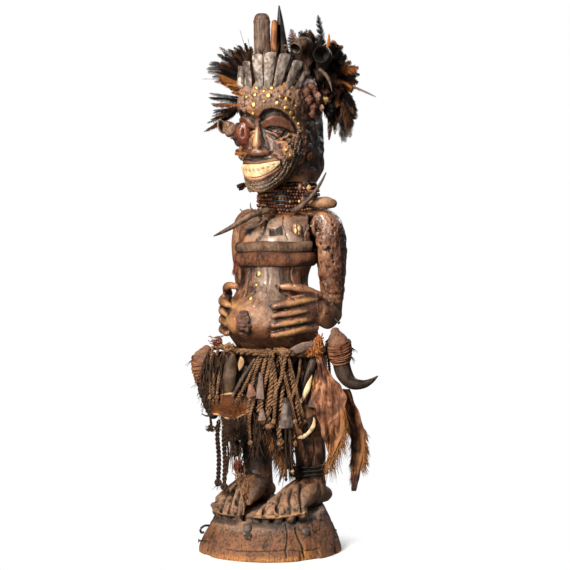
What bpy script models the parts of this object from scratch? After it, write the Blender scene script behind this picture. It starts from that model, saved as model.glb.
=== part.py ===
# A carved Songye power figure on its round base, about one metre tall.
# The figure looks along -Y, its left side is +X, and the origin is the centre of the base's underside.
# Lengths are written in millimetres and turned into metres where a mesh is made.
import math

import bmesh
import bpy
from mathutils import Vector

MM = 0.001

# Driving dimensions
TIP_HEIGHT = 1000.0
BASE_RADIUS = 130.0
BASE_TOP_RADIUS = 100.0
BASE_HEIGHT = 76.0
BASE_TOP_SLOPE = 0.14
LEG_OUT = 58.0
NECK_BACK = 62.0
BELT_HEIGHT = 364.0
ROPE_WIDTH = 7.0
ROPE_POINT_STEP = 2.6
CLEARANCE = 0.45

# Mesh fineness of the carving
CARVING_VOXEL = 3.6
CARVING_KEEP = 0.0245


def clear_scene():
    for thing in list(bpy.data.objects):
        bpy.data.objects.remove(thing, do_unlink=True)


def finish_material(name, colour, roughness, metallic=0.0):
    made = bpy.data.materials.get(name)
    if made:
        return made
    made = bpy.data.materials.new(name)
    made.use_nodes = True
    shader = made.node_tree.nodes["Principled BSDF"]
    shader.inputs["Base Color"].default_value = (*colour, 1.0)
    shader.inputs["Roughness"].default_value = roughness
    shader.inputs["Metallic"].default_value = metallic
    return made


WOOD = ("dark_wood", (0.075, 0.035, 0.018), 0.42)
HORN = ("black_horn", (0.03, 0.024, 0.02), 0.4)
GREY_HORN = ("grey_horn", (0.10, 0.075, 0.055), 0.6)
IRON = ("forged_iron", (0.13, 0.10, 0.08), 0.55, 0.6)
FEATHER = ("black_feather", (0.02, 0.013, 0.01), 0.7)
RESIN = ("red_resin", (0.13, 0.05, 0.035), 0.6)
BONE = ("cream_bone", (0.75, 0.62, 0.36), 0.5)
BEADS = ("red_beads", (0.10, 0.03, 0.015), 0.4)
GOURD = ("brown_gourd", (0.10, 0.055, 0.035), 0.35)
BAND = ("woven_band", (0.14, 0.06, 0.03), 0.8)
SHELL = ("cowrie_shell", (0.5, 0.38, 0.22), 0.35)
CORD = ("plant_cord", (0.20, 0.11, 0.05), 0.85)
BINDING = ("bound_cord", (0.17, 0.06, 0.03), 0.8)
LEATHER = ("old_leather", (0.14, 0.07, 0.04), 0.65)
HIDE = ("hide_with_hair", (0.34, 0.13, 0.06), 0.7)


# Smooth rows between the given ones, by a Catmull-Rom curve through them
def smooth_rows(rows, steps, closed=False):
    rows = [tuple(float(value) for value in row) for row in rows]
    if len(rows) < 3 or steps < 2:
        return rows
    padded = [rows[-1], *rows, rows[0], rows[1]] if closed else [rows[0], *rows, rows[-1]]
    spans = len(rows) if closed else len(rows) - 1
    out = []
    for i in range(spans):
        four = padded[i:i + 4]
        for step in range(steps):
            t = step / steps
            weights = (
                -0.5 * t + t * t - 0.5 * t ** 3,
                1.0 - 2.5 * t * t + 1.5 * t ** 3,
                0.5 * t + 2.0 * t * t - 1.5 * t ** 3,
                -0.5 * t * t + 0.5 * t ** 3,
            )
            out.append(tuple(sum(w * v for w, v in zip(weights, column)) for column in zip(*four)))
    return out if closed else out + [rows[-1]]


def squared(value, square):
    return math.copysign(abs(value) ** (2.0 / square), value)


def ring_points(centre, wide, deep, sizes, around, square):
    points = []
    for k in range(around):
        angle = 2.0 * math.pi * (k + 0.5) / around
        across = wide * (squared(math.cos(angle), square) * sizes[0])
        along = deep * (squared(math.sin(angle), square) * sizes[1])
        points.append(centre + across + along)
    return points


def stitch(rings, closed=False):
    around = len(rings[0])
    verts = [point * MM for ring in rings for point in ring]
    faces = []
    for i in range(len(rings) if closed else len(rings) - 1):
        low = i * around
        high = (i + 1) % len(rings) * around
        for k in range(around):
            after = (k + 1) % around
            faces.append((low + k, low + after, high + after, high + k))
    if not closed:
        top = (len(rings) - 1) * around
        faces.append(tuple(reversed(range(around))))
        faces.append(tuple(range(top, top + around)))
    return verts, faces


# A closed form swept along rows of (x, y, z, half width, half depth); side is the width's direction.
# level keeps every ring horizontal, domes are the angles of the rings that round the ends,
# and mouth sinks a blind hole of that depth in the first end.
def swept(rows, side=(1, 0, 0), around=8, steps=1, square=2.0, domes=(0.85,), mouth=0.0, level=False):
    path = smooth_rows(rows, steps)
    side = Vector(side)
    last = len(path) - 1
    frames = []
    for i, row in enumerate(path):
        step = Vector(path[min(i + 1, last)][:3]) - Vector(path[max(i - 1, 0)][:3])
        along = Vector((0, 0, 1)) if level else step.normalized()
        wide = (side - along * side.dot(along)).normalized()
        frames.append((Vector(row[:3]), along, wide, along.cross(wide), row[3:5]))

    def ring(frame, shift=0.0, scale=1.0):
        centre, along, wide, deep, sizes = frame
        sizes = (sizes[0] * scale, sizes[1] * scale)
        return ring_points(centre + along * shift, wide, deep, sizes, around, square)

    def dome(frame, direction):
        reach = direction * min(frame[4])
        return [ring(frame, reach * math.sin(angle), math.cos(angle)) for angle in domes]

    rings = []
    if mouth:
        rings += [ring(frames[0], mouth, 0.3), ring(frames[0], mouth * 0.7, 0.6), ring(frames[0], 0.0, 0.76)]
    else:
        rings += reversed(dome(frames[0], -1.0))
    rings += [ring(frame) for frame in frames]
    rings += dome(frames[-1], 1.0)
    return stitch(rings)


# A closed hoop around an ellipse, tilted about the direction from back to front
def hoop(centre, half_wide, half_deep, thickness, tilt=0.0, around=5, steps=16):
    rings = []
    for i in range(steps):
        turn = 2.0 * math.pi * i / steps
        out = Vector((math.cos(turn) * half_deep, math.sin(turn) * half_wide, 0)).normalized()
        middle = Vector((math.cos(turn) * half_wide, math.sin(turn) * half_deep, 0))
        middle.z = math.tan(tilt) * middle.x
        sizes = (0.5 * thickness, 0.5 * thickness)
        rings.append(ring_points(Vector(centre) + middle, out, Vector((0, 0, 1)), sizes, around, 2.0))
    rings.reverse()
    return stitch(rings, closed=True)


# A flat plate with an outline of (across, up) points
def plate(outline, thickness, place, across, up):
    across = Vector(across).normalized()
    up = Vector(up).normalized()
    out = across.cross(up)
    verts = []
    for level in (-0.5, 0.5):
        for u, v in outline:
            verts.append((Vector(place) + across * u + up * v + out * (thickness * level)) * MM)
    count = len(outline)
    faces = [tuple(reversed(range(count))), tuple(range(count, 2 * count))]
    for k in range(count):
        after = (k + 1) % count
        faces.append((k, after, count + after, count + k))
    return verts, faces


def mirrored(rows):
    return [(-row[0], *row[1:]) for row in rows]


def add_object(name, shapes, finish):
    verts = []
    faces = []
    for shape_verts, shape_faces in shapes:
        start = len(verts)
        verts.extend(shape_verts)
        faces.extend(tuple(start + index for index in face) for face in shape_faces)
    mesh = bpy.data.meshes.new(name)
    mesh.from_pydata(verts, [], faces)
    mesh.materials.append(finish_material(*finish))
    made = bpy.data.objects.new(name, mesh)
    bpy.context.scene.collection.objects.link(made)
    return made


# The object keeps the shape that its modifiers give it, and only its largest body
def settle(made):
    depsgraph = bpy.context.evaluated_depsgraph_get()
    mesh = bpy.data.meshes.new_from_object(made.evaluated_get(depsgraph))
    made.modifiers.clear()
    made.data = mesh
    keep_largest_body(mesh)
    mesh.shade_smooth()
    mesh.set_sharp_from_angle(angle=math.radians(50))


def keep_largest_body(mesh):
    shape = bmesh.new()
    shape.from_mesh(mesh)
    unseen = set(shape.verts)
    bodies = []
    while unseen:
        body = {unseen.pop()}
        edge = list(body)
        while edge:
            near = {link.other_vert(vert) for vert in edge for link in vert.link_edges} - body
            body |= near
            edge = list(near)
        unseen -= body
        bodies.append(body)
    bodies.sort(key=len)
    for body in bodies[:-1]:
        bmesh.ops.delete(shape, geom=list(body), context='VERTS')
    shape.to_mesh(mesh)
    shape.free()


def hide_as_guide(made):
    made.hide_render = True
    made.display_type = 'WIRE'


# A cutter a little larger than a piece, so that a neighbour cut by it keeps a gap
def clearance_of(made):
    guide = made.name + "_clearance"
    found = bpy.data.objects.get(guide)
    if found:
        return found
    grown = bpy.data.objects.new(guide, made.data.copy())
    bpy.context.scene.collection.objects.link(grown)
    normals = [vert.normal.copy() for vert in grown.data.vertices]
    for vert, normal in zip(grown.data.vertices, normals):
        vert.co += normal * CLEARANCE * MM
    hide_as_guide(grown)
    return grown


def cut(made, by):
    saw = made.modifiers.new("cut_by_" + by.name, 'BOOLEAN')
    saw.operation = 'DIFFERENCE'
    saw.solver = 'EXACT'
    saw.object = by


def add_piece(name, shapes, finish, beside=()):
    made = add_object(name, shapes, finish)
    for neighbour in beside:
        cut(made, clearance_of(bpy.data.objects[neighbour]))
    settle(made)
    return made


# The carved figure, in rows of (x, y, z, half width, half depth)
TRUNK = [
    (0, 40, 320, 62, 44),
    (0, 40, 345, 80, 60),
    (0, 34, 368, 84, 68),
    (0, 22, 384, 82, 78),
    (0, 8, 402, 82, 88),
    (0, 2, 422, 82, 90),
    (0, 4, 446, 78, 84),
    (0, 10, 470, 69, 72),
    (0, 14, 490, 63, 62),
    (0, 17, 508, 64, 61),
    (0, 21, 530, 70, 65),
    (0, 25, 560, 73, 68),
    (0, 33, 584, 78, 64),
    (0, 44, 602, 80, 54),
    (0, 54, 615, 70, 46),
    (0, 60, 624, 48, 42),
]
NECK = [(0, NECK_BACK, 606, 43, 43), (0, NECK_BACK - 2, 640, 40, 41), (0, 50, 700, 40, 44)]
HEAD = [
    (0, -33, 656, 20, 17),
    (0, -28, 664, 26, 24),
    (0, -15, 680, 39, 33),
    (0, -2, 697, 47, 42),
    (0, 17, 714, 56, 57),
    (0, 31, 732, 62, 69),
    (0, 38, 752, 65, 76),
    (0, 40, 772, 65, 78),
    (0, 39, 790, 65, 85),
    (0, 37, 806, 65, 94),
    (0, 40, 828, 65, 95),
    (0, 43, 848, 61, 88),
    (0, 45, 862, 50, 72),
    (0, 46, 871, 32, 48),
]
NAPE = [
    (0, 65, 674, 48, 54),
    (0, 67, 690, 54, 64),
    (0, 67, 706, 56, 73),
    (0, 64, 740, 58, 76),
    (0, 60, 790, 58, 74),
]
UPPER_ARM = [
    (58, 56, 602, 24, 20),
    (82, 60, 596, 30, 26),
    (91, 64, 566, 26, 37),
    (92, 66, 524, 25, 33),
    (93, 67, 480, 21, 26),
    (94, 66, 436, 17, 20),
]
FOREARM = [(94, 68, 434, 17, 20), (102, 38, 432, 14, 26), (101, 14, 440, 11, 25)]
PALM = [(101, 18, 440, 11, 24), (92, -6, 440, 9, 31), (81, -28, 438, 7, 33), (70, -43, 436, 5, 32)]
THUMB = [(98, 8, 468, 9, 9), (84, -16, 480, 8, 8), (66, -32, 485, 7, 7), (49, -40, 484, 6, 6)]
BUTTOCK = [(34, 70, 378, 28, 28), (38, 78, 352, 33, 32), (38, 66, 324, 30, 30)]
LEG = [
    (48, 46, 350, 38, 44),
    (56, 38, 318, 38, 42),
    (62, 28, 282, 34, 37),
    (63, 26, 246, 31, 34),
    (60, 38, 208, 29, 31),
    (LEG_OUT, 47, 172, 28, 29),
    (LEG_OUT, 48, 140, 27, 28),
    (LEG_OUT, 46, 104, 30, 32),
]
FOOT = [
    (60, 62, 102, 24, 22),
    (59, 42, 110, 28, 30),
    (56, 14, 106, 31, 28),
    (52, -16, 96, 34, 22),
    (49, -42, 88, 36, 15),
]
EYELID = [(15, -35, 776, 5, 6), (29, -31, 784, 8, 8), (45, -18, 782, 9, 8), (60, 4, 768, 5, 5)]
EYE = [(22, -34, 764, 4, 5), (38, -24, 765, 8, 9), (54, -5, 760, 4, 5)]
BROW = [(9, -50, 794, 6, 6), (28, -47, 804, 7, 7), (48, -34, 803, 7, 7), (64, 0, 778, 5, 5)]
NOSE = [(0, -44, 804, 6, 8), (0, -36, 780, 7, 9), (0, -37, 756, 10, 11), (0, -39, 738, 12, 13)]
NOSTRILS = [(-21, -37, 728, 6, 6), (-9, -44, 727, 8, 8), (9, -44, 727, 8, 8), (21, -37, 728, 6, 6)]
UPPER_LIP = [
    (-39, -24, 708, 4, 4),
    (-21, -41, 707, 5, 5),
    (0, -46, 706, 5, 5),
    (21, -40, 708, 5, 5),
    (41, -22, 713, 4, 4),
]
LOWER_LIP = [
    (-39, -24, 700, 4, 4),
    (-22, -42, 685, 5, 5),
    (0, -48, 680, 5, 5),
    (22, -41, 687, 5, 5),
    (41, -22, 706, 4, 4),
]
CHEEK = [(40, -22, 742, 9, 9), (47, -11, 726, 12, 12)]
EAR = [(58, 26, 768, 4, 9), (60, 34, 754, 6, 14), (59, 30, 738, 5, 11), (57, 24, 726, 4, 8)]
UPRIGHT = (0, 0, 1)

# Angles of the rings that round the ends of a carved form
FULL_DOME = (0.5, 1.0, 1.35)


def carved(rows, side=(1, 0, 0), around=20):
    return swept(rows, side=side, around=around, steps=4, domes=FULL_DOME)


def fingers(mirror):
    shapes = []
    for i in range(4):
        drop = 15.5 * i
        rows = [
            (93, -4, 463 - drop, 9, 8.5),
            (81, -30, 459 - drop, 9, 8.5),
            (68, -48, 456 - drop, 9, 8.5),
            (51, -63 - i, 452 - drop, 7, 7),
        ]
        shapes.append(carved(mirror(rows), side=UPRIGHT, around=10))
    return shapes


def toes(mirror):
    shapes = []
    for i in range(5):
        across = i - 2
        middle = 48 + 14.0 * across
        forward = -78 + 3.0 * abs(across)
        rows = [
            (48 + 12.0 * across, -30, 86, 7, 9),
            (middle, -58, 80, 7.5, 9),
            (middle + 1.5 * across, forward, 72, 7, 7),
        ]
        shapes.append(carved(mirror(rows), around=10))
    return shapes


def face():
    shapes = [carved(NOSE), carved(NOSTRILS, side=UPRIGHT)]
    shapes += [carved(UPPER_LIP, side=UPRIGHT), carved(LOWER_LIP, side=UPRIGHT)]
    for mirror in (list, mirrored):
        shapes += [carved(mirror(rows), side=UPRIGHT) for rows in (BROW, EYELID, EYE)]
        shapes += [carved(mirror(rows)) for rows in (CHEEK, EAR)]
    return shapes


# The base flares down from a top that slopes to the front
def base():
    flare = [
        (0, 0, -14, BASE_RADIUS, BASE_RADIUS),
        (0, 0, 6, BASE_RADIUS, BASE_RADIUS),
        (0, 0, 30, 121, 121),
        (0, 0, 56, 108, 108),
        (0, 0, BASE_HEIGHT - 4, BASE_TOP_RADIUS, BASE_TOP_RADIUS),
        (0, 0, BASE_HEIGHT, BASE_TOP_RADIUS - 8, BASE_TOP_RADIUS - 8),
    ]
    verts, faces = swept(flare, around=48, steps=4, domes=(), level=True)
    for vert in verts:
        rise = max(0.0, vert.z / (BASE_HEIGHT * MM))
        vert.z += BASE_TOP_SLOPE * vert.y * rise
    return verts, faces


def carving_shapes():
    shapes = [base(), carved(NECK, around=28)]
    for rows, square in ((TRUNK, 2.0), (HEAD, 2.3), (NAPE, 2.3)):
        shapes.append(swept(rows, around=36, steps=4, square=square, domes=(), level=True))
    for mirror in (list, mirrored):
        for rows in (UPPER_ARM, FOREARM, PALM, THUMB, BUTTOCK, LEG, FOOT):
            shapes.append(carved(mirror(rows)))
        shapes += fingers(mirror)
        shapes += toes(mirror)
    return shapes + face()


# The log's forms are melted into one skin, thinned, and cut flat underneath
def carved_figure():
    carving = add_object("carved_figure", carving_shapes(), WOOD)
    skin = carving.modifiers.new("skin", 'REMESH')
    skin.mode = 'VOXEL'
    skin.voxel_size = CARVING_VOXEL * MM
    soften = carving.modifiers.new("soften", 'SMOOTH')
    soften.factor = 0.5
    soften.iterations = 3
    thin = carving.modifiers.new("thin", 'DECIMATE')
    thin.ratio = CARVING_KEEP
    reach = 1.5 * BASE_RADIUS
    below = [(-reach, -40), (reach, -40), (reach, 0), (-reach, 0)]
    floor = add_object("floor_cut", [plate(below, 2 * reach, (0, 0, 0), (1, 0, 0), UPRIGHT)], WOOD)
    hide_as_guide(floor)
    cut(carving, floor)
    settle(carving)


# Iron strips fanned over the forehead: turns around the head of the foot and the top in degrees, width at the
# top, height of the top
IRON_STRIPS = [
    (-58, -66, 25, 868),
    (-43, -48, 25, 876),
    (-27, -30, 23, 884),
    (-10, -12, 21, 891),
    (8, 8, 21, 902),
    (20, 26, 22, 905),
    (32, 44, 23, 903),
    (47, 61, 24, 892),
    (60, 75, 20, 874),
]
STRIP_FOOT = 838.0
STRIP_FOOT_WIDTH = 12.0
STRIP_THICKNESS = 3.0
STRIP_LEAN = 0.16

# The ellipse of the crown on which the strips stand
STRIP_HALF_WIDE = 66.0
STRIP_HALF_DEEP = 93.0
STRIP_CENTRE_Y = 43.0


# The place on a strip's plane at a turn around the crown, at a height over the strips' feet
def strip_place(degrees, height):
    turn = math.radians(degrees)
    reach = STRIP_LEAN * height
    x = (STRIP_HALF_WIDE + reach) * math.sin(turn)
    y = STRIP_CENTRE_Y - (STRIP_HALF_DEEP + reach) * math.cos(turn)
    return Vector((x, y, STRIP_FOOT + height))


def iron_strips():
    for i, (foot_turn, top_turn, width, top) in enumerate(IRON_STRIPS):
        middle = math.radians(0.5 * (foot_turn + top_turn))
        across = (STRIP_HALF_WIDE * math.cos(middle), STRIP_HALF_DEEP * math.sin(middle), 0)
        foot = strip_place(foot_turn, 0.0)
        up = strip_place(top_turn, top - STRIP_FOOT) - foot
        tall = up.length
        half = 0.5 * width
        low = 0.5 * STRIP_FOOT_WIDTH
        outline = [
            (-low, 0),
            (low, 0),
            (half, 0.9 * tall),
            (0.75 * half, tall),
            (-0.8 * half, 0.98 * tall),
            (-half, 0.86 * tall),
        ]
        shape = plate(outline, STRIP_THICKNESS, foot, across, up)
        beside = ["carved_figure"] + ([f"iron_strip_{i}"] if i else [])
        add_piece(f"iron_strip_{i + 1}", [shape], IRON, beside)


def headdress():
    iron_strips()
    strips = [f"iron_strip_{i + 1}" for i in range(len(IRON_STRIPS))]
    oval = [(9 * math.cos(k * math.pi / 6), 12 * math.sin(k * math.pi / 6)) for k in range(12)]
    shape = plate(oval, 3, (-46, -33, 846), (0.72, -0.69, 0), (-0.1, -0.1, 1))
    add_piece("brow_iron_plate", [shape], IRON, ["carved_figure", *strips])
    tall = [(8, 42, 862, 14, 14), (6, 36, 905, 12.5, 12.5), (3, 32, 955, 8, 8), (1, 30, TIP_HEIGHT - 2, 2, 2)]
    add_piece("tall_black_horn", [swept(tall, around=12, steps=2)], HORN, ["carved_figure"])
    stub = [(-16, 8, 860, 15, 15), (-17, 3, 915, 15.5, 15.5), (-18, 1, 966, 14.5, 14.5)]
    add_piece("ridged_horn_stub", [swept(stub, around=12)], GREY_HORN, ["carved_figure"])
    open_horn = [
        (46, 14, 916, 11, 15),
        (50, 28, 925, 12, 14),
        (50, 46, 922, 11, 12),
        (44, 60, 900, 9, 9),
        (38, 66, 866, 6, 6),
    ]
    add_piece("open_mouth_horn", [swept(open_horn, mouth=16)], HORN, ["carved_figure"])
    round_horn = [(89, 32, 905, 16, 16), (85, 48, 900, 15, 15), (76, 60, 886, 12, 12), (64, 68, 862, 8, 8)]
    beside = ["carved_figure", "open_mouth_horn", *strips]
    add_piece("round_black_horn", [swept(round_horn, mouth=8)], HORN, beside)


# Each bundle of feathers is one closed form of the space that its feathers fill
FEATHER_BUNDLES = {
    "feathers_right": (
        (0, 0, 1),
        [(-54, 30, 836, 34, 14), (-80, 22, 834, 66, 18), (-108, 10, 828, 62, 12), (-136, -4, 812, 30, 4)],
    ),
    "feathers_left": (
        (0.848, 0.53, 0),
        [(56, 80, 858, 30, 16), (66, 90, 890, 48, 20), (74, 98, 926, 50, 18), (82, 104, 966, 26, 8)],
    ),
    "feathers_drooping": (
        (0.848, 0.53, 0),
        [
            (62, 92, 842, 14, 12),
            (96, 96, 836, 18, 18),
            (116, 98, 800, 22, 16),
            (116, 94, 762, 12, 10),
            (110, 92, 742, 4, 4),
        ],
    ),
    "feathers_back": (
        (1, 0, 0),
        [(-4, 112, 856, 42, 14), (-6, 138, 884, 54, 18), (-8, 158, 908, 34, 9)],
    ),
}


def feathers():
    beside = ["carved_figure", "round_black_horn", "open_mouth_horn"]
    beside += ["iron_strip_9", "iron_strip_1", "iron_strip_2"]
    for name, (side, rows) in FEATHER_BUNDLES.items():
        add_piece(name, [swept(rows, side=side)], FEATHER, beside)
        beside.append(name)


def face_pieces():
    lump = [(-33, -30, 742, 10, 10), (-35, -35, 760, 15, 15), (-33, -33, 779, 10, 10)]
    add_piece("resin_on_right_eye", [swept(lump)], RESIN, ["carved_figure"])
    shell = [(-74, -42, 786, 12, 12), (-69, -38, 773, 12, 12), (-66, -33, 759, 10, 10), (-64, -29, 747, 5, 5)]
    beside = ["carved_figure", "resin_on_right_eye"]
    add_piece("shell_on_right_eye", [swept(shell, mouth=10)], GOURD, beside)
    charge = [(67, 30, 842, 9, 9), (70, 36, 826, 12, 12), (71, 44, 806, 12, 12), (67, 42, 790, 6, 6)]
    beside = ["carved_figure", "iron_strip_9", "iron_strip_8", "feathers_drooping"]
    add_piece("temple_charge", [swept(charge)], RESIN, beside)
    teeth = [
        (-37, -26, 702, 3, 3),
        (-20, -43, 695, 8, 4),
        (0, -49, 693, 10, 4),
        (20, -42, 697, 8, 4),
        (40, -24, 709, 3, 3),
    ]
    add_piece("bone_mouth_plate", [swept(teeth, side=UPRIGHT)], BONE, ["carved_figure"])


def neck_pieces():
    collar = [
        (0, 64, 614, 56, 54),
        (0, 64, 626, 60, 60),
        (0, 64, 646, 60, 60),
        (0, 64, 662, 58, 59),
        (0, 64, 671, 52, 53),
    ]
    shape = swept(collar, around=18, domes=(), level=True)
    add_piece("bead_collar", [shape], BEADS, ["carved_figure"])
    gourd = [(66, 26, 636, 4, 4), (80, 32, 636, 9, 9), (97, 40, 636, 11, 11), (109, 46, 635, 6, 6)]
    beside = ["carved_figure", "bead_collar"]
    add_piece("collar_gourd", [swept(gourd, side=UPRIGHT)], GOURD, beside)
    left = [(44, 6, 621, 5, 5), (66, 6, 632, 4.5, 4.5), (88, 14, 656, 3.5, 3.5), (102, 28, 690, 1.5, 1.5)]
    beside.append("collar_gourd")
    add_piece("collar_horn_left", [swept(left)], GREY_HORN, beside)
    right = [(4, -16, 622, 6, 6), (-12, -42, 614, 6, 6), (-44, -60, 592, 4.5, 4.5), (-76, -70, 576, 1.5, 1.5)]
    add_piece("collar_horn_right", [swept(right, side=UPRIGHT)], GREY_HORN, beside)


def chest_pieces():
    lower = [(0, 19, 521, 71, 67), (0, 20, 526, 76, 71), (0, 23, 540, 79, 74), (0, 24, 545, 75, 71)]
    upper = [(0, 24, 545.4, 74, 70), (0, 24, 552, 76.5, 71.5), (0, 25, 562, 77, 72), (0, 26, 566, 74, 70)]
    beside = ["carved_figure"]
    for name, rows in (("chest_band_lower", lower), ("chest_band_upper", upper)):
        add_piece(name, [swept(rows, around=18, domes=(), level=True)], BAND, beside)
        beside.append(name)
    cowrie = [(62, -9, 580, 4, 3), (63, -10, 589, 8, 6), (63, -9, 598, 5, 4)]
    add_piece("chest_cowrie", [swept(cowrie)], SHELL, ["carved_figure"])
    charge = [(0, -86, 408, 8, 6), (0, -89, 420, 15, 10), (0, -87, 434, 11, 8)]
    add_piece("navel_charge", [swept(charge)], RESIN, ["carved_figure"])


def waist_belt():
    shape = hoop((0, 36, BELT_HEIGHT), 91, 76, 13)
    add_piece("waist_belt", [shape], CORD, ["carved_figure"])


def hip_horns():
    body = ["carved_figure", "waist_belt"]
    binding = [
        (-112, -42, 366, 10, 10),
        (-116, -46, 350, 22, 21),
        (-115, -47, 330, 21, 20),
        (-112, -48, 308, 16, 16),
    ]
    add_piece("right_hip_binding", [swept(binding, around=12)], BINDING, body)
    tie = [(-76, -8, 366, 6, 5), (-90, -24, 368, 7, 6), (-102, -34, 372, 7, 6)]
    add_piece("right_hip_tie", [swept(tie, side=UPRIGHT)], CORD, [*body, "right_hip_binding"])
    horn = [
        (-112, -48, 304, 14, 14),
        (-105, -48, 280, 13, 13),
        (-98, -47, 258, 11, 11),
        (-94, -46, 248, 8, 8),
    ]
    add_piece("right_hip_horn", [swept(horn)], GREY_HORN, ["carved_figure", "right_hip_binding"])
    binding = [
        (118, 34, 402, 10, 10),
        (121, 37, 386, 22, 22),
        (124, 40, 366, 22, 22),
        (126, 42, 350, 17, 17),
    ]
    add_piece("left_hip_binding", [swept(binding, around=12)], BINDING, body)
    horn = [
        (126, 42, 344, 15, 15),
        (132, 44, 326, 15, 15),
        (146, 47, 311, 12, 12),
        (166, 56, 308, 8, 8),
        (186, 69, 322, 2, 2),
    ]
    shape = swept(horn, side=(0, 1, 0), around=10, steps=2)
    add_piece("left_hip_horn", [shape], GREY_HORN, ["carved_figure", "left_hip_binding"])


# The camera side of the hips, where flat things hang facing the left front
FRONT_ACROSS = (0.848, 0.53, 0)


def belt_pieces():
    body = ["carved_figure", "waist_belt"]
    oval = [
        (-45, -54, 358, 5, 4),
        (-47, -57, 342, 10, 6),
        (-49, -58, 318, 11, 6),
        (-52, -57, 296, 9, 5),
        (-53, -56, 284, 4, 3),
    ]
    add_piece("leather_oval", [swept(oval, side=FRONT_ACROSS)], LEATHER, body)
    cup = [
        (-80, -66, 276, 3, 14),
        (-64, -64, 268, 5, 21),
        (-42, -60, 264, 6, 23),
        (-22, -56, 266, 5, 20),
        (-8, -52, 272, 3, 13),
    ]
    add_piece("amber_cup", [swept(cup, side=(0, 1, 0))], LEATHER, body + ["leather_oval"])
    trapezoid = [(-13, 0), (13, 0), (7, 55), (-6, 55)]
    shape = plate(trapezoid, 5, (66, -50, 232), FRONT_ACROSS, UPRIGHT)
    add_piece("iron_bell_plate", [shape], IRON, body)
    stick = [(-34, -66, 292, 3.5, 3.5), (-18, -60, 322, 4, 4), (0, -52, 352, 3.5, 3.5)]
    beside = body + ["leather_oval", "amber_cup"]
    add_piece("waist_stick", [swept(stick)], GREY_HORN, beside)
    dark = [(92, 0, 352, 7, 7), (88, -8, 330, 8, 8), (78, -18, 298, 5, 5)]
    add_piece("dark_horn_piece", [swept(dark)], HORN, body)
    cream = [(92, -8, 322, 3, 2.5), (88, -14, 300, 4, 3), (80, -22, 278, 3, 2.5)]
    add_piece("cream_horn_strip", [swept(cream)], BONE, body + ["dark_horn_piece"])
    rim = [(96, -4, 242, 2.5, 5), (94, -12, 226, 3, 5), (84, -18, 216, 3, 5), (72, -22, 213, 2.5, 4)]
    add_piece("cream_rim", [swept(rim, side=(0.53, -0.848, 0))], BONE, body)


def hides():
    body = ["carved_figure", "waist_belt"]
    beside = [*body, "left_hip_binding", "left_hip_horn", "dark_horn_piece", "cream_horn_strip", "cream_rim"]
    hide = [
        (106, 2, 356, 12, 4),
        (114, 8, 326, 24, 4),
        (119, 11, 290, 33, 4),
        (121, 13, 250, 32, 4),
        (121, 14, 210, 20, 4),
        (120, 14, 178, 5, 3),
    ]
    add_piece("left_hide", [swept(hide, side=FRONT_ACROSS)], HIDE, beside)
    tail = [
        (136, 50, 292, 8, 4),
        (146, 57, 256, 10, 4),
        (154, 62, 218, 10, 4),
        (151, 60, 165, 9, 4),
        (145, 56, 112, 3, 3),
    ]
    add_piece("left_tail_strip", [swept(tail, side=FRONT_ACROSS)], HIDE, [*beside, "left_hide"])
    fur = [
        (24, -35, 330, 14, 4),
        (28, -34, 300, 20, 4),
        (31, -33, 268, 24, 4),
        (34, -30, 236, 25, 4),
        (40, -27, 206, 17, 4),
        (47, -23, 178, 9, 4),
        (52, -21, 154, 3, 3),
    ]
    add_piece("fur_strip", [swept(fur, side=FRONT_ACROSS)], HIDE, [*body, "amber_cup"])


# Ropes: routes from the belt down, as (x, y, z) points
ROPE_ROUTES = {
    "rope_1": [(15, -52, 361), (17, -54, 327), (14, -56, 291), (12, -56, 255)],
    "rope_2": [(36, -47, 364), (34, -51, 324), (31, -54, 281), (31, -53, 237)],
    "rope_3": [(46, -44, 364), (42, -48, 321), (43, -49, 278), (50, -44, 208)],
    "rope_4": [(54, -41, 364), (54, -42, 325), (54, -44, 296), (52, -46, 262)],
    "rope_5": [(62, -38, 364), (63, -37, 321), (65, -36, 277), (66, -32, 206)],
    "rope_6": [(71, -32, 361), (73, -31, 312), (73, -30, 266), (76, -29, 234)],
    "rope_7": [(25, -50, 363), (25, -53, 322), (22, -54, 279), (22, -52, 228)],
    "rope_8": [(36, -58, 362), (40, -58, 332), (41, -60, 300), (36, -62, 266)],
    "rope_9": [(-74, -58, 240), (-76, -60, 210), (-74, -58, 170), (-75, -59, 128)],
    "rope_10": [(-60, -60, 236), (-61, -61, 205), (-60, -59, 165), (-61, -60, 122)],
}


def ropes():
    for name, route in ROPE_ROUTES.items():
        length = sum(math.dist(a, b) for a, b in zip(route, route[1:]))
        steps = max(2, round(length / (ROPE_POINT_STEP * ROPE_WIDTH) / (len(route) - 1)))
        points = smooth_rows(route, steps)
        curve = bpy.data.curves.new(name, 'CURVE')
        curve.dimensions = '3D'
        curve.bevel_depth = 0.5 * ROPE_WIDTH * MM
        curve.bevel_resolution = 2
        curve.use_fill_caps = True
        curve.render_resolution_u = 0
        line = curve.splines.new('POLY')
        line.points.add(len(points) - 1)
        for point, place in zip(line.points, points):
            point.co = (*(value * MM for value in place), 1.0)
        curve.materials.append(finish_material(*CORD))
        made = bpy.data.objects.new(name, curve)
        bpy.context.scene.collection.objects.link(made)


RING_THICKNESS = 6.2
RING_TILT = 0.12
ANKLE_HEIGHT = 137.0


def ankle_rings():
    beside = ["carved_figure"]
    for i in range(3):
        centre = (LEG_OUT, 48, ANKLE_HEIGHT + 1.16 * RING_THICKNESS * i)
        shape = hoop(centre, 30.5, 31.5, RING_THICKNESS, tilt=RING_TILT, around=4, steps=14)
        add_piece(f"ankle_ring_{i + 1}", [shape], HORN, beside)
        beside = ["carved_figure", f"ankle_ring_{i + 1}"]


def build():
    clear_scene()
    carved_figure()
    headdress()
    feathers()
    face_pieces()
    neck_pieces()
    chest_pieces()
    waist_belt()
    hip_horns()
    belt_pieces()
    hides()
    ropes()
    ankle_rings()


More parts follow.
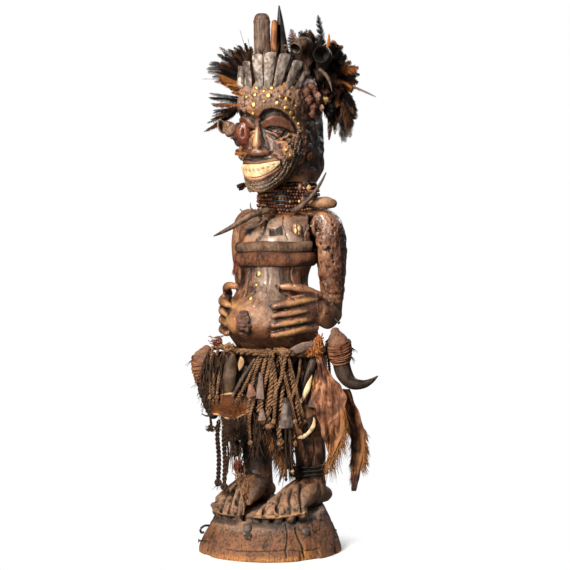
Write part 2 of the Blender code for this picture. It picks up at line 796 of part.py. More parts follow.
build()
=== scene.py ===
import math
import random

import bpy
import numpy as np
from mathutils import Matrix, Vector
from mathutils.bvhtree import BVHTree


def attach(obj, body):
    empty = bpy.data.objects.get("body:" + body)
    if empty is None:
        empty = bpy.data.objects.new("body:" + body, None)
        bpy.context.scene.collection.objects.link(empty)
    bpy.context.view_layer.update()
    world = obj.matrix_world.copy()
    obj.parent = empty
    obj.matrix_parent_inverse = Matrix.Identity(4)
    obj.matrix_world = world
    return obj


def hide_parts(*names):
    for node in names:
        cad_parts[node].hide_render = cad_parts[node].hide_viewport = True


# %% [markdown]
# A carved wooden power figure, about one metre tall, stands on a base cut from the same log. Over
# many years its keepers added horns, feathers, iron, beads, resin, ropes and hides to it.
# Lengths are in metres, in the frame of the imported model: +Z is up, the figure looks along -Y, and its
# left side is +X. The model's pieces give every place, so the looks are built around them.

# %% The frame
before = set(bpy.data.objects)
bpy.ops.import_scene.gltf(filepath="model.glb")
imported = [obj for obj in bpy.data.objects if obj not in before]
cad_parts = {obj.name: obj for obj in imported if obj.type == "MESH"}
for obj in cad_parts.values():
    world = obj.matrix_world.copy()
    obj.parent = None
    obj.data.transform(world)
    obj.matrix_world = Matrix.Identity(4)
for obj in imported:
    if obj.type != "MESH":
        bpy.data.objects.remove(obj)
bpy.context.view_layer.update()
MM = 0.001

# %% [markdown]
# The camera stands where the photographer stood: to the figure's left front, at the height of its
# belly, with a long lens. The same numbers also turn a point of the picture into a ray, so a tack or
# a crack that is read from the picture lands on the surface that carries it.

# %% The camera
IMAGE_SIDE = 570
AZIMUTH = math.radians(32)
DISTANCE = 3.2
EYE_HEIGHT = 0.60
PITCH = math.radians(-2.04)
SIDE_AIM = 0.0275
FOCAL_PIXELS = 1749.7
SENSOR = 36.0

ACROSS = Vector((math.cos(AZIMUTH), math.sin(AZIMUTH), 0))
TOWARDS = Vector((math.sin(AZIMUTH), -math.cos(AZIMUTH), 0))
UP = Vector((0, 0, 1))
EYE = ACROSS * SIDE_AIM + TOWARDS * DISTANCE + UP * EYE_HEIGHT
FORWARD = -TOWARDS * math.cos(PITCH) + UP * math.sin(PITCH)
LENS_UP = ACROSS.cross(FORWARD)


def pixel_ray(u, v):
    half = 0.5 * IMAGE_SIDE
    aside = ACROSS * ((u - half) / FOCAL_PIXELS)
    return (FORWARD + aside + LENS_UP * ((half - v) / FOCAL_PIXELS)).normalized()


# The point behind a pixel at a depth towards the camera from the figure's axis
def behind_pixel(u, v, depth):
    ray = pixel_ray(u, v)
    return EYE + ray * ((depth - EYE.dot(TOWARDS)) / ray.dot(TOWARDS))


# Pixel places of many points at once
def pixels_of(points):
    seen = points - np.array(EYE)
    far = seen @ np.array(FORWARD)
    u = 0.5 * IMAGE_SIDE + FOCAL_PIXELS * (seen @ np.array(ACROSS)) / far
    v = 0.5 * IMAGE_SIDE - FOCAL_PIXELS * (seen @ np.array(LENS_UP)) / far
    return u, v


camera_data = bpy.data.cameras.new("camera")
camera_data.sensor_width = SENSOR
camera_data.lens = FOCAL_PIXELS / IMAGE_SIDE * SENSOR
camera = bpy.data.objects.new("camera", camera_data)
bpy.context.scene.collection.objects.link(camera)
camera.location = EYE
camera.rotation_euler = FORWARD.to_track_quat('-Z', 'Y').to_euler()
bpy.context.scene.camera = camera
bpy.context.scene.view_settings.view_transform = 'Standard'
print("lens", round(camera_data.lens, 1), "mm")

# %% [markdown]
# A shader is a graph, but its sums read best as sums. One small class wraps a socket, so that
# adding or multiplying two values adds the Math node, and every other node comes from one method.

# %% Shader sums
class Wire:
    def __init__(self, tree, socket):
        self.tree = tree
        self.socket = socket

    def node(self, kind, settings, inputs, output=0):
        made = self.tree.nodes.new(kind)
        for name, value in settings.items():
            if name == "stops":
                self.set_stops(made.color_ramp, value)
            else:
                setattr(made, name, value)
        for key, value in inputs.items():
            if isinstance(value, Wire):
                self.tree.links.new(value.socket, made.inputs[key])
            else:
                made.inputs[key].default_value = value
        return Wire(self.tree, made.outputs[output])

    @staticmethod
    def set_stops(ramp, stops):
        while len(ramp.elements) < len(stops):
            ramp.elements.new(0.5)
        for element, (place, colour) in zip(ramp.elements, stops):
            element.position = place
            element.color = (*colour, 1.0)

    def math(self, operation, *values):
        return self.node("ShaderNodeMath", {"operation": operation}, dict(enumerate(values)))

    def __add__(self, other):
        return self.math('ADD', self, other)

    __radd__ = __add__

    def __sub__(self, other):
        return self.math('SUBTRACT', self, other)

    def __rsub__(self, other):
        return self.math('SUBTRACT', other, self)

    def __mul__(self, other):
        return self.math('MULTIPLY', self, other)

    __rmul__ = __mul__

    # Rises smoothly from 0 at low to 1 at high
    def between(self, low, high):
        settings = {"interpolation_type": 'SMOOTHSTEP'}
        return self.node("ShaderNodeMapRange", settings, {"Value": self, "From Min": low, "From Max": high})

    # This value as the share of the second of two colours
    def blend(self, first, second):
        inputs = {0: self, 6: colour_input(first), 7: colour_input(second)}
        return self.node("ShaderNodeMix", {"data_type": 'RGBA'}, inputs, output=2)


def colour_input(value):
    return value if isinstance(value, Wire) else (*value, 1.0)


# %% [markdown]
# Every finish starts from the same three things: a Principled shader, the object's own coordinates,
# and noises in real sizes. Bumps are stacked, each with its height in metres.

# %% A finish
class Finish:
    def __init__(self, name, slot, roughness=0.6, metallic=0.0, specular=0.5, coat=0.0):
        self.slot = slot
        self.material = bpy.data.materials.new(name)
        self.material.use_nodes = True
        tree = self.material.node_tree
        self.shader = tree.nodes["Principled BSDF"]
        self.shader.inputs["Roughness"].default_value = roughness
        self.shader.inputs["Metallic"].default_value = metallic
        self.shader.inputs["Specular IOR Level"].default_value = specular
        self.shader.inputs["Coat Weight"].default_value = coat
        self.shader.inputs["Coat Roughness"].default_value = 0.22
        self.place = Wire(tree, tree.nodes.new("ShaderNodeTexCoord").outputs["Object"])
        self.heights = []

    def stretched(self, stretch):
        return self.place.node("ShaderNodeMapping", {}, {"Vector": self.place, "Scale": stretch})

    # Cloudy values from 0 to 1, with cells of a size in metres
    def cloud(self, size, detail=3.0, rough=0.55, stretch=(1, 1, 1), twist=0.0):
        inputs = {"Vector": self.stretched(stretch), "Scale": 1.0 / size, "Detail": detail}
        inputs["Roughness"] = rough
        inputs["Distortion"] = twist
        return self.place.node("ShaderNodeTexNoise", {}, inputs)

    def cells(self, size, feature='F1', stretch=(1, 1, 1)):
        inputs = {"Vector": self.stretched(stretch), "Scale": 1.0 / size}
        return self.place.node("ShaderNodeTexVoronoi", {"feature": feature}, inputs)

    def painted(self, name):
        return self.place.node("ShaderNodeAttribute", {"attribute_name": name}, {}, output=2)

    def bump(self, height, metres, strength=1.0):
        self.heights.append((height, metres, strength))

    def use(self, colour, roughness=None):
        tree = self.material.node_tree
        self.link(colour, "Base Color")
        if roughness is not None:
            self.link(roughness, "Roughness")
        normal = None
        for height, metres, strength in self.heights:
            inputs = {"Height": height, "Distance": metres, "Strength": strength}
            if normal is not None:
                inputs["Normal"] = normal
            normal = self.place.node("ShaderNodeBump", {}, inputs)
        if normal is not None:
            tree.links.new(normal.socket, self.shader.inputs["Normal"])
        return self

    def link(self, value, name):
        if isinstance(value, Wire):
            value.tree.links.new(value.socket, self.shader.inputs[name])
        else:
            self.shader.inputs[name].default_value = (*value, 1.0) if isinstance(value, tuple) else value


# %% [markdown]
# The object stands on a pale floor that melts into a white surround. One big soft light from the
# upper left gives the strong modelling of a studio picture, and two weaker ones open the shadows.

# %% Floor and light
FLOOR_RADIUS = 6.0
CLEAR_RADIUS = 0.22


def make_floor():
    mesh = bpy.data.meshes.new("floor")
    corners = [(-1, -1), (1, -1), (1, 1), (-1, 1)]
    mesh.from_pydata([(x * FLOOR_RADIUS, y * FLOOR_RADIUS, -0.0004) for x, y in corners], [], [(0, 1, 2, 3)])
    floor = bpy.data.objects.new("floor", mesh)
    bpy.context.scene.collection.objects.link(floor)
    material = bpy.data.materials.new("pale_floor")
    material.use_nodes = True
    tree = material.node_tree
    paint = tree.nodes["Principled BSDF"]
    paint.inputs["Base Color"].default_value = (0.93, 0.93, 0.92, 1)
    paint.inputs["Roughness"].default_value = 0.9
    place = Wire(tree, tree.nodes.new("ShaderNodeTexCoord").outputs["Object"])
    reach = place.node("ShaderNodeVectorMath", {"operation": 'LENGTH'}, {0: place}, output="Value")
    clear = place.node("ShaderNodeBsdfTransparent", {}, {})
    factor = reach.between(0.35 * CLEAR_RADIUS, CLEAR_RADIUS)
    inputs = {0: factor, 1: Wire(tree, paint.outputs[0]), 2: clear}
    both = place.node("ShaderNodeMixShader", {}, inputs)
    tree.links.new(both.socket, tree.nodes["Material Output"].inputs["Surface"])
    mesh.materials.append(material)


def soft_light(name, place, watts, wide, tall, tint=(1, 1, 1)):
    data = bpy.data.lights.new(name, 'AREA')
    data.energy = watts
    data.shape = 'RECTANGLE'
    data.size = wide
    data.size_y = tall
    data.color = tint
    lamp = bpy.data.objects.new(name, data)
    bpy.context.scene.collection.objects.link(lamp)
    lamp.location = place
    lamp.rotation_euler = (Vector((0, 0, 0.5)) - Vector(place)).to_track_quat('-Z', 'Y').to_euler()


# The surround is white to the camera and dimmer as a light, so that shadows keep their depth
def make_surround(strength):
    world = bpy.data.worlds.new("surround")
    world.use_nodes = True
    tree = world.node_tree
    sky = tree.nodes["Background"]
    sky.inputs["Color"].default_value = (1, 1, 1, 1)
    seen = Wire(tree, tree.nodes.new("ShaderNodeLightPath").outputs["Is Camera Ray"])
    glow = seen * (1.0 - strength) + strength
    tree.links.new(glow.socket, sky.inputs["Strength"])
    bpy.context.scene.world = world


KEY_LIGHT = ACROSS * -1.3 + TOWARDS * 2.1 + UP * 2.3
LOW_LIGHT = ACROSS * -1.2 + TOWARDS * 2.0 + UP * 0.9
FILL_LIGHT = ACROSS * 2.2 + TOWARDS * 1.2 + UP * 1.0
BACK_LIGHT = ACROSS * 1.2 + TOWARDS * -2.0 + UP * 1.8
make_floor()
make_surround(0.06)
soft_light("key_light", KEY_LIGHT, 150, 0.45, 0.45, (1.0, 0.93, 0.83))
soft_light("low_light", LOW_LIGHT, 46, 0.25, 1.5, (1.0, 0.93, 0.83))
soft_light("fill_light", FILL_LIGHT, 4, 1.4, 1.4)
soft_light("back_light", BACK_LIGHT, 26, 1.0, 1.0)

# %% [markdown]
# Most things here are forms swept along a line: horns, limbs, fingers, ropes. One function makes a
# skin through rings, and the rings come from short rows of centre, half width and half depth in
# millimetres, with a smooth curve through them.

# %% Swept forms
class Shape:
    """Points and faces that become one mesh."""

    def __init__(self):
        self.points = []
        self.faces = []
        self.count = 0

    def add(self, points, faces):
        self.points.append(np.asarray(points, float).reshape(-1, 3))
        self.faces.extend(tuple(index + self.count for index in face) for face in faces)
        self.count += len(self.points[-1])

    def all_points(self):
        return np.concatenate(self.points)


def smooth_rows(rows, steps):
    rows = np.array(rows, float)
    if steps < 2 or len(rows) < 3:
        return rows
    padded = np.vstack([rows[:1], rows, rows[-1:]])
    out = []
    for i in range(len(rows) - 1):
        four = padded[i:i + 4]
        for t in np.arange(steps) / steps:
            out.append(four.T @ np.array([
                -0.5 * t + t * t - 0.5 * t ** 3,
                1.0 - 2.5 * t * t + 1.5 * t ** 3,
                0.5 * t + 2.0 * t * t - 1.5 * t ** 3,
                -0.5 * t * t + 0.5 * t ** 3,
            ]))
    return np.array(out + [rows[-1]])


def unit(vectors):
    return vectors / np.maximum(np.linalg.norm(vectors, axis=-1, keepdims=True), 1e-9)


def skin(rings, around, closed=False):
    faces = []
    for i in range(rings if closed else rings - 1):
        low = i * around
        high = (i + 1) % rings * around
        for k in range(around):
            after = (k + 1) % around
            faces.append((low + k, low + after, high + after, high + k))
    if not closed:
        faces.append(tuple(reversed(range(around))))
        faces.append(tuple(range((rings - 1) * around, rings * around)))
    return faces


ROUND_END = (0.35, 0.7, 1.05, 1.35)


# A form along rows of (x, y, z, half width, half depth) in millimetres; side is the width's direction
def swept(rows, side=(1, 0, 0), around=16, steps=4, square=2.0, domes=ROUND_END, level=False, change=None):
    path = smooth_rows(rows, steps)
    centres = path[:, :3]
    sizes = path[:, 3:5] if path.shape[1] > 4 else np.repeat(path[:, 3:4], 2, axis=1)
    along = unit(np.gradient(centres, axis=0))
    if level:
        along = np.tile([0.0, 0.0, 1.0], (len(path), 1))
    first = [(centres[0] - along[0] * min(sizes[0]) * math.sin(a), sizes[0] * math.cos(a),
              0) for a in domes[::-1]]
    last = [(centres[-1] + along[-1] * min(sizes[-1]) * math.sin(a),
             sizes[-1] * math.cos(a), -1) for a in domes]
    rings = first + [(centres[i], sizes[i], i) for i in range(len(path))] + last
    angles = 2.0 * math.pi * (np.arange(around) + 0.5) / around
    points = []
    for number, (centre, size, i) in enumerate(rings):
        wide = unit(np.array(side, float) - along[i] * np.dot(side, along[i]))
        deep = np.cross(along[i], wide)
        out = np.sign(np.cos(angles)) * np.abs(np.cos(angles)) ** (2 / square)
        over = np.sign(np.sin(angles)) * np.abs(np.sin(angles)) ** (2 / square)
        grow = 1.0 if change is None else change(number / (len(rings) - 1), angles)
        points.append(centre + np.outer(out * grow, wide) * size[0] + np.outer(over * grow, deep) * size[1])
    return np.concatenate(points) * MM, skin(len(rings), around)


def both_sides(rows):
    flipped = [(-row[0], *row[1:]) for row in rows]
    return rows, flipped


# %% [markdown]
# Helpers that make a piece from a shape: it gets its finish, rides on the one body and stands for
# the plain solids of the model where it replaces them.

# %% Making a piece
def make_piece(name, shape, finish, replaced=(), smooth=True, paints=None, extra=()):
    mesh = bpy.data.meshes.new(name)
    mesh.from_pydata(shape.all_points().tolist(), [], shape.faces)
    mesh.materials.append(finish.material)
    for other in extra:
        mesh.materials.append(other.material)
    if smooth:
        mesh.shade_smooth()
        mesh.set_sharp_from_angle(angle=math.radians(55))
    for key, values in (paints or {}).items():
        paint_values(mesh, key, values)
    piece = bpy.data.objects.new(name, mesh)
    bpy.context.scene.collection.objects.link(piece)
    settle_piece(piece, replaced)
    return piece


def settle_piece(piece, replaced):
    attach(piece, "root")
    if replaced:
        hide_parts(*replaced)


def paint_values(mesh, key, values):
    layer = mesh.attributes.new(key, 'FLOAT', 'POINT')
    layer.data.foreach_set("value", np.asarray(values, np.float32))


def mesh_points(mesh):
    points = np.zeros(len(mesh.vertices) * 3)
    mesh.vertices.foreach_get("co", points)
    return points.reshape(-1, 3)


def mesh_normals(mesh):
    normals = np.zeros(len(mesh.vertices) * 3, np.float32)
    mesh.vertex_normals.foreach_get("vector", normals)
    return normals.reshape(-1, 3).astype(float)


def apply_modifiers(piece):
    depsgraph = bpy.context.evaluated_depsgraph_get()
    mesh = bpy.data.meshes.new_from_object(piece.evaluated_get(depsgraph))
    piece.modifiers.clear()
    piece.data = mesh
    return mesh


# Smooth lumps from -1 to 1 on a lattice of the given spacing, the same in every run
def lumps(points, spacing, seed):
    cells = points / spacing + 137.0
    base = np.floor(cells).astype(np.int64)
    part = cells - base
    part = part * part * (3.0 - 2.0 * part)
    total = np.zeros(len(points))
    for corner in range(8):
        step = np.array([corner & 1, corner >> 1 & 1, corner >> 2])
        spot = base + step
        mixed = spot[:, 0] * 73856093 ^ spot[:, 1] * 19349663 ^ spot[:, 2] * 83492791 ^ seed * 2654435761
        mixed = (mixed ^ mixed >> 13) * 1274126177 & 0x7FFFFFFF
        value = (mixed >> 8 & 0xFFFF) / 32767.5 - 1.0
        total += value * np.prod(np.where(step, part, 1.0 - part), axis=1)
    return total


def ease(values, low, high):
    part = np.clip((values - low) / (high - low), 0.0, 1.0)
    return part * part * (3.0 - 2.0 * part)

# %% [markdown]
# The ropes are plant fibre, rolled on the thigh into two or three plies and twisted back on
# themselves. A flat tube with a bump would pass from afar, but the plies give the edge its beads, so each
# ply is swept on its own around the route.

# %% Cord finishes
def fibre_finish(name, slot, dark, light, roughness=0.85, fleck=0.0016):
    cord = Finish(name, slot, roughness=roughness, specular=0.25)
    strands = cord.cloud(fleck, detail=3, stretch=(1, 1, 0.35), twist=0.5)
    dirt = cord.cloud(0.022, detail=4, rough=0.6)
    colour = (strands * 0.5 + dirt * 0.5).between(0.36, 0.66).blend(dark, light)
    colour = (dirt.between(0.56, 0.72) * 0.6).blend(colour, (0.012, 0.007, 0.005))
    # Painted shade: where a piece paints it, as in the crevices between plies, the fibre goes near black
    colour = (cord.painted("hollow") * 0.95).blend(colour, (0.010, 0.005, 0.003))
    cord.bump(strands, 0.0006)
    return cord.use(colour, 0.72 + 0.25 * strands)


CORD = fibre_finish("plant_fibre", "plant_cord", (0.060, 0.027, 0.014), (0.40, 0.22, 0.115))
DARK_CORD = fibre_finish("sooty_fibre", "plant_cord", (0.012, 0.007, 0.005), (0.075, 0.036, 0.02))
RED_CORD = fibre_finish("red_fibre", "plant_cord", (0.07, 0.018, 0.012), (0.26, 0.075, 0.045))


# %% Twisting
def smooth_line(points, step):
    points = np.array(points, float)
    length = np.linalg.norm(np.diff(points, axis=0), axis=1).sum()
    fine = smooth_rows(points, 24)
    lengths = np.concatenate([[0], np.cumsum(np.linalg.norm(np.diff(fine, axis=0), axis=1))])
    wanted = np.linspace(0, lengths[-1], max(4, round(length / step)))
    return np.stack([np.interp(wanted, lengths, fine[:, axis]) for axis in range(3)], axis=1)


# A round thread along a fine line of metres, with a half width at every point
def thread(line, widths, sides=8, hint=(0.31, 0.22, 0.92)):
    along = unit(np.gradient(line, axis=0))
    wide = unit(np.cross(along, hint))
    deep = np.cross(along, wide)
    angles = 2.0 * math.pi * np.arange(sides) / sides
    widths = np.broadcast_to(widths, len(line))[:, None, None]
    ring = np.cos(angles)[None, :, None] * wide[:, None] + np.sin(angles)[None, :, None] * deep[:, None]
    return (line[:, None] + ring * widths).reshape(-1, 3), skin(len(line), sides)


def twist_plies(shape, line, width, plies, pitch, phase=0.0, sides=8, fray=0.0):
    along = unit(np.gradient(line, axis=0))
    wide = unit(np.cross(along, (0.83, -0.52, 0.2)))
    deep = np.cross(along, wide)
    run = np.concatenate([[0], np.cumsum(np.linalg.norm(np.diff(line, axis=0), axis=1))])
    offset, thick = (0.25, 0.28) if plies == 2 else (0.26, 0.25)
    ply_shade = []
    loose = 1.0 + fray * ease(run, 0.8 * run[-1], run[-1])
    for k in range(plies):
        turn = 2.0 * math.pi * (run / pitch + k / plies) + phase
        shift = np.cos(turn)[:, None] * wide + np.sin(turn)[:, None] * deep
        middle = line + shift * (offset * width * loose)[:, None]
        ends = 1.0 - 0.45 * (1.0 - ease(run, 0.0, width)) - 0.45 * ease(run, run[-1] - width, run[-1])
        points, faces = thread(middle, thick * width * ends, sides)
        shape.add(points, faces)
        # Painted shade on the side of each ply that faces the rope's middle, where the plies press together
        depth = np.linalg.norm(points.reshape(len(line), sides, 3) - line[:, None], axis=2).ravel()
        ply_shade.append(1.0 - ease(depth, 0.24 * width, 0.42 * width))
    return np.concatenate(ply_shade)


# A wound knot: turns of the cord around a small core
def knot_shape(centre, radius, seed):
    shape = Shape()
    draw = random.Random(seed)
    core = np.array(centre)
    for k in range(4):
        tilt = unit(np.array([draw.uniform(-1, 1), draw.uniform(-1, 1), draw.uniform(-0.5, 0.5)]))
        wide = unit(np.cross(tilt, (0.2, 0.3, 1.0)))
        deep = np.cross(tilt, wide)
        turns = np.linspace(0, 2.0 * math.pi * 1.05, 18)[:, None]
        ring = core + 0.62 * radius * (np.cos(turns) * wide + np.sin(turns) * deep)
        ring = ring + tilt * radius * (0.35 * (k - 1.5) / 1.5)
        shape.add(*thread(ring, 0.42 * radius, 7))
    return shape


# Loose ends of fibre below a knot or at a cut
def fray_shape(shape, place, direction, length, count, thick, seed):
    draw = random.Random(seed)
    heading = unit(np.array(direction, float))
    for _ in range(count):
        spread = np.array([draw.uniform(-1, 1) for _ in range(3)])
        bend = np.array([draw.uniform(-1, 1) for _ in range(3)])
        reach = length * draw.uniform(0.5, 1.0)
        t = np.linspace(0, 1, 4)[:, None]
        line = np.array(place) + reach * (t * unit(heading + 0.35 * spread) + 0.25 * t * t * bend)
        shape.add(*thread(line, thick * np.linspace(1, 0.35, 4), 4))


# %% [markdown]
# Each rope hangs from the belt by its own weight, along the route that its plain solid has in the
# model. Its whole length shows, so that is its real length. Some end in a knot, some are cut off.

# %% Ropes that the model holds
ROPE_WIDTH = 0.0092
ROPE_ROUTES = {
    "rope_1": [(24, -52, 361), (19, -54, 327), (14, -56, 291), (12, -56, 255)],
    "rope_2": [(39, -48, 364), (34, -52, 324), (30, -55, 281), (32, -54, 237)],
    "rope_3": [(46, -46, 364), (42, -49, 321), (43, -49, 278), (50, -44, 208)],
    "rope_4": [(54, -41, 364), (54, -42, 325), (54, -44, 296), (52, -46, 262)],
    "rope_5": [(55, -42, 364), (61, -40, 321), (67, -36, 277), (70, -31, 206)],
    "rope_6": [(61, -38, 361), (70, -33, 312), (76, -30, 266), (80, -27, 234)],
    "rope_7": [(33, -51, 363), (27, -54, 322), (22, -54, 279), (22, -52, 228)],
    "rope_8": [(36, -58, 362), (40, -58, 332), (41, -60, 300), (36, -62, 266)],
    "rope_9": [(-74, -58, 240), (-76, -60, 210), (-74, -58, 170), (-75, -59, 128)],
    "rope_10": [(-60, -60, 236), (-61, -61, 205), (-60, -59, 165), (-61, -60, 122)],
}
KNOTTED = ("rope_2", "rope_3", "rope_5", "rope_9", "rope_10")
THIN_ROPES = ("rope_9", "rope_10")


def hang_rope(name, route, width, finish, knotted, seed, replaced=(), plies=2):
    line = smooth_line(np.array(route) * MM, 0.22 * width)
    shape = Shape()
    # The plies carry painted shade in their crevices
    ply_shade = twist_plies(shape, line, width, plies, 1.7 * width, phase=seed, fray=0.0 if knotted else 0.15)
    piece = make_piece(name, shape, finish, replaced, paints={"hollow": ply_shade})
    drop = line[-1] - line[-2]
    below = line[-1] + unit(drop) * 0.4 * width
    end = knot_shape(below, 0.72 * width, seed) if knotted else Shape()
    fray_shape(end, below, drop, 1.7 * width, 9, 0.07 * width, seed + 1)
    end_name = name.replace("rope", "rope_end") if "rope" in name else name + "_end"
    end_piece = make_piece(end_name, end, finish)
    length = float(np.linalg.norm(np.diff(line, axis=0), axis=1).sum())
    return length


for number, (name, route) in enumerate(ROPE_ROUTES.items()):
    finish = DARK_CORD if name in THIN_ROPES else CORD
    width = ROPE_WIDTH
    length = hang_rope("hung_" + name, route, width, finish, name in KNOTTED, number, [name])
    print(name, round(length * 1000), "mm")

# %% [markdown]
# Between the thick ropes hang thinner ones of the same fibre, too thin for solids of their own in
# the model. They start at the belt or at a rope that is already there.

# %% Thinner ropes
THIN_ROUTES = {
    "thin_rope_1": (6.5, [(-98, -40, 372), (-92, -58, 350), (-88, -66, 315), (-84, -70, 284)], True, CORD),
    "thin_rope_2": (6.0, [(-90, -36, 370), (-84, -56, 340), (-80, -66, 305), (-77, -72, 282)], False, CORD),
    "thin_rope_3": (6.0, [(-80, -30, 366), (-74, -50, 338), (-72, -62, 310), (-70, -70, 284)], True, CORD),
    "thin_rope_4": (6.0, [(14, -55, 362), (-2, -60, 330), (-16, -64, 300), (-26, -67, 284)], False, CORD),
    "thin_rope_5": (6.5, [(20, -59, 358), (8, -63, 328), (2, -67, 296), (-4, -67, 262)], True, CORD),
    "thin_rope_6": (6.5,
                    [(30, -60, 358), (22, -64, 322), (10, -67, 284), (0, -69, 246), (1, -68, 206)], True,
                    CORD),
    "thin_rope_7": (7.0, [(44, -58, 362), (34, -63, 326), (26, -66, 290), (22, -65, 252)], False, CORD),
    "thin_rope_8": (7.0, [(40, -58, 362), (48, -58, 326), (49, -58, 292), (46, -59, 246)], True, CORD),
    "thin_rope_9": (7.0, [(64, -48, 362), (58, -52, 326), (50, -57, 300), (42, -60, 270)], False, CORD),
    "thin_rope_10": (6.5, [(54, -52, 361), (62, -48, 326), (70, -44, 290), (78, -39, 246)], True, CORD),
    "thin_rope_11": (6.0, [(66, -42, 359), (76, -40, 322), (84, -37, 284), (92, -32, 250)], False, CORD),
    "thin_rope_12": (4.0, [(66, -51, 236), (67, -53, 205), (68, -52, 175), (67, -52, 142)], True, DARK_CORD),
    "thin_rope_13": (5.5, [(84, -30, 356), (82, -34, 325), (76, -40, 296), (66, -44, 266)], False, CORD),
    "thin_rope_14": (4.0,
                     [(-50, -66, 240), (-50, -68, 210), (-48, -66, 182), (-50, -66, 150)], True, DARK_CORD),
    "thin_rope_15": (4.0, [(-84, -66, 262), (-86, -68, 242), (-84, -68, 226)], True, DARK_CORD),
    "thin_rope_16": (4.0, [(-30, -62, 244), (-28, -62, 215), (-30, -60, 186), (-26, -60, 158)], False, CORD),
}
for number, (name, (width, route, knotted, finish)) in enumerate(THIN_ROUTES.items()):
    hang_rope(name, route, width * MM, finish, knotted, 40 + number)
print(len(THIN_ROUTES), "thinner ropes")


# %% [markdown]
# The carving is one log: head, trunk, arms, legs, feet and base. It could be sculpted from a block,
# but its rounded forms are simpler as swept rows that are melted into one skin by a voxel
# remesh, as the chisel leaves no seams between an arm and its shoulder.

# %% Rows of the carving
BASE_HEIGHT = 76.0
BASE_TOP_SLOPE = 0.14
NECK_BACK = 62.0

BASE = [
    (0, 0, -14, 130, 130),
    (0, 0, 6, 130, 130),
    (0, 0, 30, 121, 121),
    (0, 0, 56, 108, 108),
    (0, 0, 72, 100, 100),
    (0, 0, BASE_HEIGHT, 92, 92),
]
TRUNK = [
    (0, 40, 320, 62, 44),
    (0, 40, 345, 80, 60),
    (0, 34, 368, 84, 68),
    (0, 22, 384, 82, 78),
    (0, 8, 402, 82, 88),
    (0, 2, 422, 82, 90),
    (0, 4, 446, 78, 84),
    (0, 10, 470, 69, 72),
    (0, 14, 490, 63, 62),
    (0, 17, 508, 64, 61),
    (0, 21, 530, 70, 65),
    (0, 25, 560, 73, 68),
    (0, 33, 584, 78, 64),
    (0, 44, 602, 80, 54),
    (0, 54, 615, 70, 46),
    (0, 60, 624, 48, 42),
]
NECK = [(0, NECK_BACK, 606, 43, 43), (0, NECK_BACK - 2, 640, 40, 41), (0, 50, 700, 40, 44)]
HEAD = [
    (0, -33, 656, 20, 17),
    (0, -28, 664, 26, 24),
    (0, -15, 680, 39, 33),
    (0, -2, 697, 47, 42),
    (0, 17, 714, 56, 57),
    (0, 31, 732, 62, 69),
    (0, 38, 752, 65, 76),
    (0, 40, 772, 65, 78),
    (0, 39, 790, 65, 85),
    (0, 37, 806, 65, 94),
    (0, 40, 828, 65, 95),
    (0, 43, 848, 61, 88),
    (0, 45, 862, 50, 72),
    (0, 46, 871, 32, 48),
]
NAPE = [
    (0, 65, 674, 48, 54),
    (0, 67, 690, 54, 64),
    (0, 67, 706, 56, 73),
    (0, 64, 740, 58, 76),
    (0, 60, 790, 58, 74),
]
UPPER_ARM = [
    (58, 56, 602, 24, 20),
    (82, 60, 596, 30, 26),
    (91, 64, 566, 26, 37),
    (92, 66, 524, 25, 33),
    (93, 67, 480, 21, 26),
    (94, 66, 436, 17, 20),
]
FOREARM = [(94, 68, 434, 17, 20), (102, 38, 432, 14, 26), (101, 14, 440, 11, 25)]
PALM = [(101, 18, 440, 11, 24), (92, -6, 440, 9, 31), (81, -28, 438, 7, 33), (70, -43, 436, 5, 32)]
THUMB = [(98, 8, 468, 9, 9), (84, -16, 480, 8, 8), (66, -32, 485, 7, 7), (49, -40, 484, 6, 6)]
BUTTOCK = [(34, 70, 378, 28, 28), (38, 78, 352, 33, 32), (38, 66, 324, 30, 30)]
LEG = [
    (48, 46, 350, 38, 44),
    (56, 38, 318, 38, 42),
    (62, 28, 282, 34, 37),
    (63, 26, 246, 31, 34),
    (60, 38, 208, 29, 31),
    (58, 47, 172, 28, 29),
    (58, 48, 140, 27, 28),
    (58, 46, 104, 30, 32),
]
HEEL = [(62, 84, 96, 20, 16), (60, 62, 102, 24, 22), (58, 44, 108, 28, 30)]
INSTEP = [(58, 44, 112, 27, 28), (58, 16, 106, 32, 26), (57, -14, 98, 37, 18), (56, -38, 90, 40, 13)]
EAR = [(58, 26, 768, 4, 9), (60, 34, 754, 6, 14), (59, 30, 738, 5, 11), (57, 24, 726, 4, 8)]
NOSE = [(0, -44, 804, 5, 8), (0, -36, 780, 5, 8), (0, -36, 758, 8, 12), (0, -38, 740, 11, 14)]
NOSTRILS = [(-22, -35, 729, 6, 6), (-10, -43, 726, 7, 7), (0, -45, 727, 8, 8), (10, -43, 726, 7, 7),
            (22, -35, 729, 6, 6)]
UPPER_LIP = [(-40, -24, 710, 3, 3), (-21, -42, 710, 3.5, 5), (0, -47, 708, 3.5, 5), (21, -41, 711, 3.5, 5),
             (42, -21, 716, 3, 3)]
LOWER_LIP = [(-40, -23, 700, 3, 4), (-22, -43, 684, 4, 5), (0, -49, 678, 4, 5), (22, -42, 685, 4, 5),
             (42, -21, 706, 3, 4)]
CHEEK = [(40, -22, 744, 9, 9), (48, -10, 724, 12, 12)]
UPRIGHT = (0, 0, 1)

FINGERS = 4
FINGER_STEP = 17.0
TOES = [(22, -78, 70), (42, -80, 71), (62, -72, 73), (80, -58, 76), (94, -38, 79)]
LEDGE = [(x, 1.04 * y, z + 3, 3.2, 9) for x, y, z in TOES]


def finger_rows(i):
    drop = FINGER_STEP * i
    return [
        (95, 0, 462 - drop, 8.6, 8),
        (84, -27, 459 - drop, 7.4, 8.8),
        (70, -48, 455 - drop, 7.6, 9.2),
        (60, -57, 453 - drop, 6.4, 8.4),
        (49, -64 - i, 450 - drop, 5.4, 7.0),
    ]


def toe_rows(i):
    x, y, z = TOES[i]
    return [
        (0.45 * x + 32, 0.3 * y - 2, 92, 8, 10),
        (0.85 * x + 8, 0.78 * y, 82, 9, 9),
        (x, y, z - 5, 8, 8),
    ]


